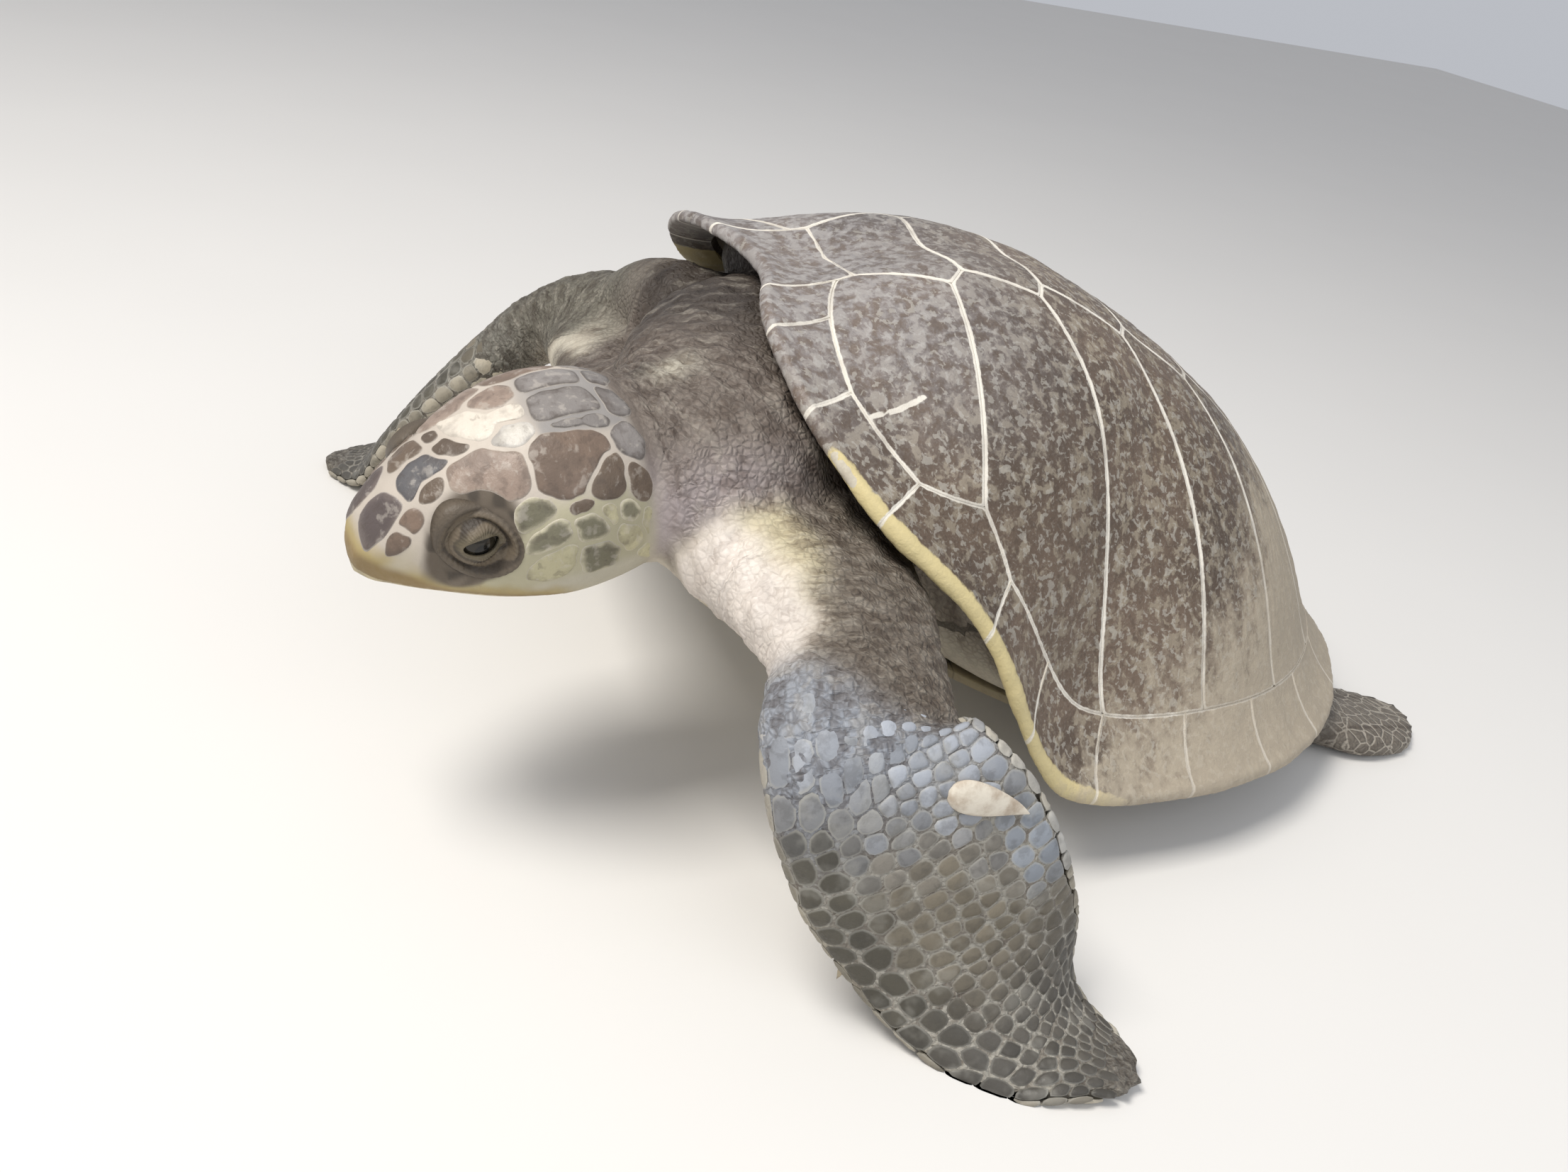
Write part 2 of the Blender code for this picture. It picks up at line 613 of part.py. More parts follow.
def head_axes():
    """Unit vectors of the head: forward, to its left and up."""
    reach = math.cos(HEAD_PITCH)
    forward = np.array([math.sin(HEAD_YAW) * reach, -math.cos(HEAD_YAW) * reach, -math.sin(HEAD_PITCH)])
    level = np.array([math.cos(HEAD_YAW), math.sin(HEAD_YAW), 0.0])
    crown = np.cross(forward, level)
    left = level * math.cos(HEAD_ROLL) - crown * math.sin(HEAD_ROLL)
    return forward, left, np.cross(forward, left)


def head_point(share, left, up):
    """Body-frame point at a share of the head's length from its back, and offsets left and up."""
    axes = head_axes()
    share, left, up = (np.asarray(v, float)[..., None] for v in (share, left, up))
    return np.array(HEAD_CENTRE) + (share - 0.5) * HEAD_LENGTH * axes[0] + left * axes[1] + up * axes[2]


def head_rings():
    """Cross-sections of the head and jaw together, from the nape to the tip of the beak."""
    share = np.array(HEAD_RINGS)
    width = smooth_curve(share, HEAD_STATIONS, HEAD_HALF_WIDTHS)
    top = smooth_curve(share, HEAD_STATIONS, HEAD_TOPS)
    bottom = smooth_curve(share, HEAD_STATIONS, HEAD_BOTTOMS)
    turn = np.linspace(0, 2 * math.pi, HEAD_COLUMNS, endpoint=False)
    c, s = np.cos(turn), np.sin(turn)
    across = np.sign(c) * np.abs(c) ** HEAD_POWERS[0]
    height = np.sign(s) * np.abs(s) ** HEAD_POWERS[1]
    left = width[:, None] * across
    up = np.where(height > 0, top[:, None] * height, -bottom[:, None] * height)
    return head_point(np.broadcast_to(share[:, None], left.shape), left, up)


def jaw_block(name, gap):
    """A hidden wedge that holds the lower jaw, below the mouth line and ahead of its corner."""
    corner, height = MOUTH_CORNER
    beyond = JAW_REACH[0] - 1
    ahead = MOUTH_TIP + beyond / (1 - corner) * (MOUTH_TIP - height)
    profile = np.array([(JAW_REACH[0], ahead), (corner, height), (corner - JAW_SLANT, -JAW_REACH[1]),
                        (JAW_REACH[0], -JAW_REACH[1])])
    profile[:2, 1] -= gap
    profile[1:3, 0] += gap / HEAD_LENGTH
    rings = [head_point(profile[:, 0], np.full(4, side * JAW_REACH[1]), profile[:, 1]) for side in (-1, 1)]
    made = solid(name, *tube(to_world(rings)), None, smooth=False)
    hide(made)
    return made


def eye_centre(sign):
    """World place of an eyeball's middle."""
    share, out, up = EYE_PLACE
    return to_world(head_point(share, sign * out, up))


def ball(name, centre, radius, finish, columns=12, rows=8):
    """A sphere from rings between two poles."""
    tilt = np.linspace(0, math.pi, rows + 1)[1:-1]
    turn = np.linspace(0, 2 * math.pi, columns, endpoint=False)
    rings = np.stack([
        np.sin(tilt)[:, None] * np.cos(turn), np.sin(tilt)[:, None] * np.sin(turn),
        np.broadcast_to(np.cos(tilt)[:, None], (rows - 1, columns))], -1)
    vertices, faces = tube(rings, ends=((0, 0, 1), (0, 0, -1)))
    return solid(name, centre + vertices * radius, faces, finish)


def build_head(skin, horn, eye):
    """Head, lower jaw and the two eyeballs in their sockets."""
    rings = to_world(head_rings())
    tip = to_world(head_point(BEAK_TIP[0], 0.0, BEAK_TIP[1]))
    head = solid("head", *tube(rings, ends=(rings[0].mean(0), tip)), skin)
    jaw = solid("lower_jaw", *tube(rings, ends=(rings[0].mean(0), tip)), horn)
    cut(head, jaw_block("jaw_space", 0.0))
    cut(jaw, jaw_block("jaw_body", GAP), "INTERSECT")
    for side, sign in SIDES:
        ball(f"eye_{side}", eye_centre(sign), EYE_RADIUS, eye)
        socket = ball(f"socket_{side}", eye_centre(sign), EYE_RADIUS + GAP, None)
        hide(socket)
        cut(head, socket)
    return head


# ---------------------------------------------------------------- limbs

def limb_rings(shares, limb, half_widths, half_depths, lead=LEADING_EDGE, columns=FRONT_COLUMNS):
    """Cross-sections of a limb: flattened ovals, thicker towards the leading edge.

    limb holds a point and a chord for each knot, root to tip, at even shares. A chord points
    from the trailing to the leading edge.
    """
    knots = np.linspace(0, 1, len(limb))
    path, chords = np.array(limb).transpose(1, 0, 2)
    centre = smooth_curve(shares, knots, path)
    ahead = smooth_curve(np.minimum(shares + PATH_STEP, 1.0), knots, path)
    step = ahead - smooth_curve(np.maximum(shares - PATH_STEP, 0.0), knots, path)
    along = step / np.linalg.norm(step, axis=1, keepdims=True)
    chord = smooth_curve(shares, knots, chords)
    chord -= along * np.sum(chord * along, axis=1, keepdims=True)
    chord /= np.linalg.norm(chord, axis=1, keepdims=True)
    face = np.cross(along, chord)
    half_width = smooth_curve(shares, knots, half_widths)[:, None, None]
    half_depth = smooth_curve(shares, knots, half_depths)[:, None, None]
    turn = np.linspace(0, 2 * math.pi, columns, endpoint=False)
    across = np.cos(turn)[None, :, None]
    depth = (np.sin(turn) * (1 + lead * np.cos(turn)))[None, :, None]
    return centre[:, None] + half_width * across * chord[:, None] + half_depth * depth * face[:, None]


def build_front_limb(side, sign, skin, claw_finish, trunk, neck, floor):
    """Upper arm, flipper and claw of one side."""
    def rings(start, end, count):
        shares = np.linspace(start, end, count)
        made = limb_rings(shares, FRONT_LIMBS[side], FRONT_HALF_WIDTHS, FRONT_HALF_DEPTHS)
        return made if sign > 0 else made[:, ::-1]

    arm = solid(f"upper_arm_{side}", *tube(rings(0.0, ELBOW, ARM_RINGS)), skin)
    cut(arm, trunk)
    cut(arm, neck)
    blade = rings(ELBOW + ELBOW_GAP, 1.0, BLADE_RINGS)
    tip = blade[-1].mean(0) + FRONT_TIP * (blade[-1].mean(0) - blade[-2].mean(0))
    flipper = solid(f"front_flipper_{side}", *tube(blade, ends=(blade[0].mean(0), tip)), skin)
    cut(flipper, floor)
    edge = blade[CLAW_RING]
    opposite = len(edge) // 2
    root = edge[0] + CLAW_ROOT * (edge[opposite] - edge[0])
    outward = edge[0] - edge[opposite]
    outward /= np.linalg.norm(outward)
    along = blade[CLAW_RING + 1].mean(0) - edge.mean(0)
    along /= np.linalg.norm(along)
    upward = np.cross(outward, along)
    turn = np.linspace(0, 2 * math.pi, CLAW_COLUMNS, endpoint=False)
    points = []
    for reach, sweep, radius in CLAW:
        middle = root + outward * reach + along * sweep
        circle = np.cos(turn)[:, None] * along + np.sin(turn)[:, None] * upward
        points.append(middle + circle * radius)
    tip = root + outward * CLAW_TIP[0] + along * CLAW_TIP[1]
    claw = solid(f"claw_{side}", *tube(points, ends=(root, tip)), claw_finish)
    cut(claw, cutter(f"claw_bed_{side}", flipper, GAP))


def build_rear_limb(side, sign, skin, trunk, plastron, floor):
    """One rear flipper, turned back and out, flat on the floor."""
    shares = np.linspace(0, 1, REAR_RINGS)
    mirror = np.array([sign, 1.0, 1.0])
    rings = limb_rings(shares, REAR_LIMB, REAR_HALF_WIDTHS, REAR_HALF_DEPTHS, columns=REAR_COLUMNS) * mirror
    tip = rings[-1].mean(0) + REAR_TIP * (rings[-1].mean(0) - rings[-2].mean(0))
    made = solid(f"rear_flipper_{side}", *tube(rings, ends=(rings[0].mean(0), tip)), skin)
    for tool in (trunk, plastron, floor):
        cut(made, tool)


def build_tail(skin, trunk, plastron, floor):
    """The short tail of a female, laid on the floor behind the plastron."""
    shares = np.linspace(0, 1, TAIL_RINGS)
    rings = limb_rings(shares, TAIL, TAIL_HALF_WIDTHS, TAIL_HALF_DEPTHS, lead=0.0, columns=TAIL_COLUMNS)
    tip = rings[-1].mean(0) + np.array(TAIL_TIP)
    made = solid("tail", *tube(rings, ends=(rings[0].mean(0), tip)), skin)
    for tool in (trunk, plastron, floor):
        cut(made, tool)


def build_neck(skin, trunk, head):
    """The thick neck, from inside the trunk to the back of the head."""
    back = head_point(0.0, 0.0, 0.0)
    forward, left, up = head_axes()
    nape = back - forward * NECK_NAPE[0] + up * NECK_NAPE[1]
    limb = [
        (NECK_ROOT[0], (1.0, 0.0, 0.0)),
        (NECK_ROOT[1], (1.0, 0.15, 0.0)),
        (nape, left),
        (back + forward * NECK_BITE, left),
    ]
    shares = np.linspace(0, 1, NECK_RINGS)
    rings = limb_rings(shares, limb, NECK_HALF_WIDTHS, NECK_HALF_DEPTHS, lead=0.0, columns=NECK_COLUMNS)
    made = solid("neck", *tube(to_world(rings)), skin)
    cut(made, trunk)
    cut(made, head)
    return made


# ---------------------------------------------------------------- assembly

def clear_scene():
    """Remove what the scene holds."""
    for old in list(bpy.data.objects):
        bpy.data.objects.remove(old, do_unlink=True)


def centre_on_floor():
    """Shift the model so that its box is centred over the origin."""
    bpy.context.view_layer.update()
    graph = bpy.context.evaluated_depsgraph_get()
    low, high = np.full(3, np.inf), np.full(3, -np.inf)
    shown = [o for o in bpy.data.objects if o.type == "MESH" and not o.hide_render]
    for part in shown:
        mesh = part.evaluated_get(graph).to_mesh()
        points = np.empty(len(mesh.vertices) * 3)
        mesh.vertices.foreach_get("co", points)
        points = points.reshape(-1, 3)
        low, high = np.minimum(low, points.min(0)), np.maximum(high, points.max(0))
    middle = bpy.data.objects.new("turtle", None)
    bpy.context.scene.collection.objects.link(middle)
    for part in list(bpy.data.objects):
        if part is not middle:
            part.parent = middle
    middle.location = (-(low[0] + high[0]) / 2, -(low[1] + high[1]) / 2, 0.0)
    bpy.context.view_layer.update()


def main():
    """Build the turtle."""
    clear_scene()
    scute = material("scute", (0.20, 0.17, 0.13), 0.55)
    belly = material("belly", (0.62, 0.56, 0.42), 0.6)
    skin = material("skin", (0.26, 0.24, 0.21), 0.7)
    horn = material("horn", (0.50, 0.44, 0.26), 0.5)
    eye = material("eye", (0.03, 0.03, 0.025), 0.15)
    claw = material("claw", (0.35, 0.30, 0.20), 0.45)

    floor = block("floor_block", (-FLOOR_CUT, -FLOOR_CUT, -FLOOR_CUT), (FLOOR_CUT, FLOOR_CUT, 0.0))
    build_shell(scute)
    trunk = build_trunk(skin)
    plastron = build_plastron(belly, floor)
    head_space = cutter("head_space", build_head(skin, horn, eye), GAP)
    trunk_space = cutter("trunk_space", trunk, 2 * GAP)
    plastron_space = cutter("plastron_space", plastron, 2 * GAP)
    neck = build_neck(skin, trunk_space, head_space)
    neck_space = cutter("neck_space", neck, GAP)
    for side, sign in SIDES:
        build_front_limb(side, sign, skin, claw, trunk_space, neck_space, floor)
        build_rear_limb(side, sign, skin, trunk_space, plastron_space, floor)
    build_tail(skin, trunk_space, plastron_space, floor)
    centre_on_floor()


main()
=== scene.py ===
"""An olive ridley sea turtle at life size, dressed for display.

The animal is laid out in a body frame: X to its left, Y to its tail, Z out of the back. Place
pitches that frame nose-up and sets it on the floor, over the solids of the frame.
"""
import functools
import logging
import math
from dataclasses import dataclass, field
from enum import Enum

import bmesh
import bpy
import numpy as np
from mathutils import Matrix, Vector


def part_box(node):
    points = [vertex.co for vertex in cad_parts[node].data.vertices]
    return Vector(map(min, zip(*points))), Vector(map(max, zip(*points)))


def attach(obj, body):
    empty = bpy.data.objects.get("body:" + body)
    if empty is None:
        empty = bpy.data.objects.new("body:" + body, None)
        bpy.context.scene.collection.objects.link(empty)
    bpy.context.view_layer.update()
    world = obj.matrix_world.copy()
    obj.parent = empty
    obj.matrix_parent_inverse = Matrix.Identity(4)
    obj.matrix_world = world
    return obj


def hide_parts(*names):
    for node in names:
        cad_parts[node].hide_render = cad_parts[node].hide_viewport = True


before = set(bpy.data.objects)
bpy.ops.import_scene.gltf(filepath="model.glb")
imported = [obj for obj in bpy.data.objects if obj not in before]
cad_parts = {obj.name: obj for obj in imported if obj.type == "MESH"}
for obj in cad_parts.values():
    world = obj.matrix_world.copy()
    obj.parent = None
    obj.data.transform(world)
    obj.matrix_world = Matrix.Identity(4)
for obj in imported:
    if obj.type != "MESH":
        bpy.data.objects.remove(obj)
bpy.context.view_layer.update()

LOG = logging.getLogger("turtle")
Array = np.ndarray
Colour = tuple[float, float, float]
SIDES = (("left", 1.0), ("right", -1.0))
# Share that brings a ripple of several sines to about -1 to 1.
RIPPLE_REACH = 0.8
# Largest angle between two faces, in degrees: with this limit no edge is drawn sharp.
NEVER_SHARP = 180.0


# ---------------------------------------------------------------- numbers and curves

def bump(t: Array, centre: float, width: float) -> Array:
    """A swelling of height 1 about an angle: exp(-((|t| - centre) / width) squared)."""
    return np.exp(-((np.abs(t) - centre) / width) ** 2)


def ease(low: float, high: float, value: Array) -> Array:
    """0 below low, 1 above high, and 3u^2 - 2u^3 between them."""
    u = np.clip((value - low) / (high - low), 0.0, 1.0)
    return u * u * (3 - 2 * u)


def unit(vectors: Array) -> Array:
    """Vectors scaled to length 1."""
    return vectors / np.maximum(np.linalg.norm(vectors, axis=-1, keepdims=True), 1e-12)


def circle(columns: int) -> Array:
    """Even turns once round, from 0 to just short of a full turn."""
    return np.linspace(0, 2 * math.pi, columns, endpoint=False)


def power(value: Array, exponent: float) -> Array:
    """A power of each value's size, with the value's own sign."""
    return np.sign(value) * np.abs(value) ** exponent


def smooth_curve(at: Array, knots: Array, values: Array) -> Array:
    """A cubic through knots, its slopes taken from each knot's neighbours.

    Args:
        at: Places to evaluate.
        knots: Rising places of the knots.
        values: A number or a point for each knot.

    Returns:
        The curve's values, one row for each place.
    """
    knots, values, at = (np.asarray(v, float) for v in (knots, values, at))
    slopes = np.gradient(values, knots, axis=0)
    i = np.clip(np.searchsorted(knots, at, side="right") - 1, 0, len(knots) - 2)
    span = knots[i + 1] - knots[i]
    u = (at - knots[i]) / span
    if values.ndim > 1:
        u, span = u[:, None], span[:, None]
    start, end = values[i], values[i + 1]
    return (start * (1 + 2 * u) * (1 - u) ** 2 + slopes[i] * span * u * (1 - u) ** 2
            + end * u * u * (3 - 2 * u) - slopes[i + 1] * span * u * u * (1 - u))


def ripple(points: Array, wavelength: float, seed: int, waves: int = 7) -> Array:
    """A gentle random field of about -1 to 1: a mean of sines in random directions.

    Args:
        points: Places in metres.
        wavelength: Length of one wave.
        seed: Chooses the directions and phases.
        waves: How many sines are added.

    Returns:
        One number for each place.
    """
    draw = np.random.default_rng(seed)
    ways = unit(draw.normal(size=(waves, 3))) * (2 * math.pi / wavelength)
    ways *= draw.uniform(0.7, 1.4, (waves, 1))
    phases = draw.uniform(0, 2 * math.pi, waves)
    return np.sin(points @ ways.T + phases).mean(-1) * math.sqrt(waves) * RIPPLE_REACH


# ---------------------------------------------------------------- meshes

def grid_faces(rows: int, columns: int, wrap_rows: bool = False,
               wrap_columns: bool = True) -> Array:
    """Corner numbers of the four-sided faces of a grid of points.

    Args:
        rows: Points down the grid.
        columns: Points along each row.
        wrap_rows: Whether the last row joins the first.
        wrap_columns: Whether the last column joins the first.

    Returns:
        An array of faces by 4.
    """
    i = np.arange(rows if wrap_rows else rows - 1)[:, None]
    j = np.arange(columns if wrap_columns else columns - 1)[None, :]
    down, along = (i + 1) % rows, (j + 1) % columns
    corners = (i * columns + j, i * columns + along, down * columns + along, down * columns + j)
    return np.stack(corners, -1).reshape(-1, 4)


def fan_faces(first: int, columns: int, pole: int, flip: bool) -> Array:
    """Three-sided faces from a closed ring of points to a pole.

    Args:
        first: Number of the ring's first point.
        columns: Points in the ring.
        pole: The pole's number.
        flip: Whether the faces turn the other way round.

    Returns:
        An array of faces by 3.
    """
    j = np.arange(columns)
    ring, along = first + j, first + (j + 1) % columns
    order = (along, ring) if flip else (ring, along)
    return np.stack([np.full(columns, pole), *order], -1)


@dataclass
class Surface:
    """Points, faces and named values of one or more closed shells."""

    points: Array
    quads: Array
    tris: Array = field(default_factory=lambda: np.empty((0, 3), int))
    values: dict[str, Array] = field(default_factory=dict)

    def outward(self) -> "Surface":
        """Turn every face round when the shell's signed volume is negative.

        Returns:
            The same surface, its faces outward.
        """
        halves = np.concatenate([self.tris, self.quads[:, [0, 1, 2]], self.quads[:, [0, 2, 3]]])
        a, b, c = (self.points[halves[:, k]] for k in range(3))
        if np.sum(a * np.cross(b, c)) < 0:
            self.quads, self.tris = self.quads[:, ::-1], self.tris[:, ::-1]
        return self

    def to_object(self, name: str, sharp: float = NEVER_SHARP) -> bpy.types.Object:
        """Make a smooth-shaded object at the origin, with its values as point attributes.

        Args:
            name: Name of the piece.
            sharp: Angle in degrees past which an edge is drawn sharp.

        Returns:
            The new object, linked to the scene.
        """
        mesh = bpy.data.meshes.new(name)
        mesh.vertices.add(len(self.points))
        mesh.vertices.foreach_set("co", np.ascontiguousarray(self.points, np.float32).ravel())
        corners = np.concatenate([self.quads.ravel(), self.tris.ravel()]).astype(np.int32)
        starts = np.concatenate([
            4 * np.arange(len(self.quads)),
            4 * len(self.quads) + 3 * np.arange(len(self.tris))]).astype(np.int32)
        mesh.loops.add(len(corners))
        mesh.loops.foreach_set("vertex_index", corners)
        mesh.polygons.add(len(starts))
        mesh.polygons.foreach_set("loop_start", starts)
        mesh.update(calc_edges=True)
        mesh.validate()
        mesh.shade_smooth()
        if sharp < NEVER_SHARP:
            mesh.set_sharp_from_angle(angle=math.radians(sharp))
        for key, value in self.values.items():
            give_attribute(mesh, key, value)
        made = bpy.data.objects.new(name, mesh)
        bpy.context.scene.collection.objects.link(made)
        return made


def give_attribute(mesh: bpy.types.Mesh, name: str, value: Array) -> None:
    """Store one number, or one colour, for each point of a mesh.

    Args:
        mesh: The mesh.
        name: The attribute's name.
        value: A number or a colour for each point.
    """
    value = np.asarray(value, np.float32)
    if value.ndim == 1:
        mesh.attributes.new(name, "FLOAT", "POINT").data.foreach_set("value", value)
        return
    padded = np.concatenate([value, np.ones((len(value), 1), np.float32)], 1)
    mesh.attributes.new(name, "FLOAT_COLOR", "POINT").data.foreach_set("color", padded.ravel())


def gather(parts: list[Surface]) -> Surface:
    """Several shells as one surface, with their values joined in the same order.

    Args:
        parts: The shells, all with the same named values.

    Returns:
        One surface.
    """
    bases = np.cumsum([0] + [len(p.points) for p in parts[:-1]])
    keys = parts[0].values.keys()
    return Surface(
        np.concatenate([p.points for p in parts]),
        np.concatenate([p.quads + b for p, b in zip(parts, bases)]),
        np.concatenate([p.tris + b for p, b in zip(parts, bases)]),
        {k: np.concatenate([p.values[k] for p in parts]) for k in keys})


def tube(rings: Array, ends: tuple[Array, Array] | None = None,
         values: dict[str, Array] | None = None) -> Surface:
    """A closed tube: a grid of ring by ring, with a fan to a pole at each end.

    Args:
        rings: Rings by columns by 3.
        ends: The two poles; without them, the middles of the end rings.
        values: Named numbers for each grid point; a pole takes its ring's mean.

    Returns:
        The tube, its faces outward.
    """
    rows, columns, _ = rings.shape
    poles = ends if ends is not None else (rings[0].mean(0), rings[-1].mean(0))
    points = np.concatenate([rings.reshape(-1, 3), np.array(poles, float).reshape(2, 3)])
    first, last = rows * columns, rows * columns + 1
    tris = np.concatenate([fan_faces(0, columns, first, True),
                           fan_faces((rows - 1) * columns, columns, last, False)])
    kept = {}
    for key, value in (values or {}).items():
        flat = value.reshape(rows * columns, -1)
        poles = [value[0].mean(0).ravel(), value[-1].mean(0).ravel()]
        kept[key] = np.concatenate([flat, poles]).squeeze()
    return Surface(points, grid_faces(rows, columns), tris, kept).outward()


def grid_normals(points: Array) -> Array:
    """Unit normals of a grid: the cross product of steps down its rows and along its columns.

    Args:
        points: Rows by columns by 3; each row is a closed ring.

    Returns:
        A unit vector for each point.
    """
    down = np.gradient(points, axis=0)
    along = np.roll(points, -1, axis=1) - np.roll(points, 1, axis=1)
    return unit(np.cross(down, along))


def run_lengths(line: Array) -> Array:
    """Length travelled along a line at each of its points: a running sum of its steps."""
    return np.concatenate([[0], np.cumsum(np.linalg.norm(np.diff(line, axis=0), axis=1))])


def resample(loop: Array, count: int | None = None, spacing: float = 0.0,
             fewest: int = 12) -> Array:
    """A closed line of points, redrawn with even steps by interpolating along its length.

    Args:
        loop: The line's points, its first one not repeated at the end.
        count: How many steps; without it, they follow from the spacing.
        spacing: About how long a step is.
        fewest: The least number of steps that a spacing gives.

    Returns:
        The new points.
    """
    closed = np.concatenate([loop, loop[:1]])
    arc = run_lengths(closed)
    count = count or max(fewest, int(round(arc[-1] / spacing)))
    at = np.linspace(0, arc[-1], count, endpoint=False)
    return np.stack([np.interp(at, arc, closed[:, k]) for k in range(loop.shape[1])], -1)


def distance_to_line(points: Array, line: Array) -> Array:
    """Shortest distance from each point to a line of segments, by projecting on each one.

    Args:
        points: Places to measure from.
        line: Corners of the line, in order.

    Returns:
        A distance for each place.
    """
    a, b = line[:-1], line[1:]
    way = b - a
    size = np.maximum(np.sum(way * way, -1), 1e-16)
    share = np.clip(np.einsum("pse,se->ps", points[:, None] - a[None], way) / size, 0, 1)
    nearest = a + share[..., None] * way
    return np.linalg.norm(points[:, None] - nearest, axis=-1).min(1)


# ---------------------------------------------------------------- place of the body

@dataclass(frozen=True)
class Place:
    """The pose of the whole body: pitched nose-up, lifted and shifted over the solids."""

    pitch: float = math.radians(25.0)
    lift: float = 0.152
    shift: tuple[float, float, float] = (0.0, 0.0, 0.0)

    def world(self, points: Array) -> Array:
        """Body frame to scene: turn about X by the pitch, then lift and shift.

        Args:
            points: Places in the body frame.

        Returns:
            The same places in the scene.
        """
        points = np.asarray(points, float)
        c, s = math.cos(self.pitch), math.sin(self.pitch)
        x, y, z = points[..., 0], points[..., 1], points[..., 2]
        return np.stack([x, y * c + z * s, z * c - y * s + self.lift], -1) + self.shift

    def body(self, points: Array) -> Array:
        """Scene to body frame, the other way round.

        Args:
            points: Places in the scene.

        Returns:
            The same places in the body frame.
        """
        points = np.asarray(points, float) - self.shift
        c, s = math.cos(self.pitch), math.sin(self.pitch)
        x, y, z = points[..., 0], points[..., 1], points[..., 2] - self.lift
        return np.stack([x, y * c - z * s, y * s + z * c], -1)


# ---------------------------------------------------------------- shell form

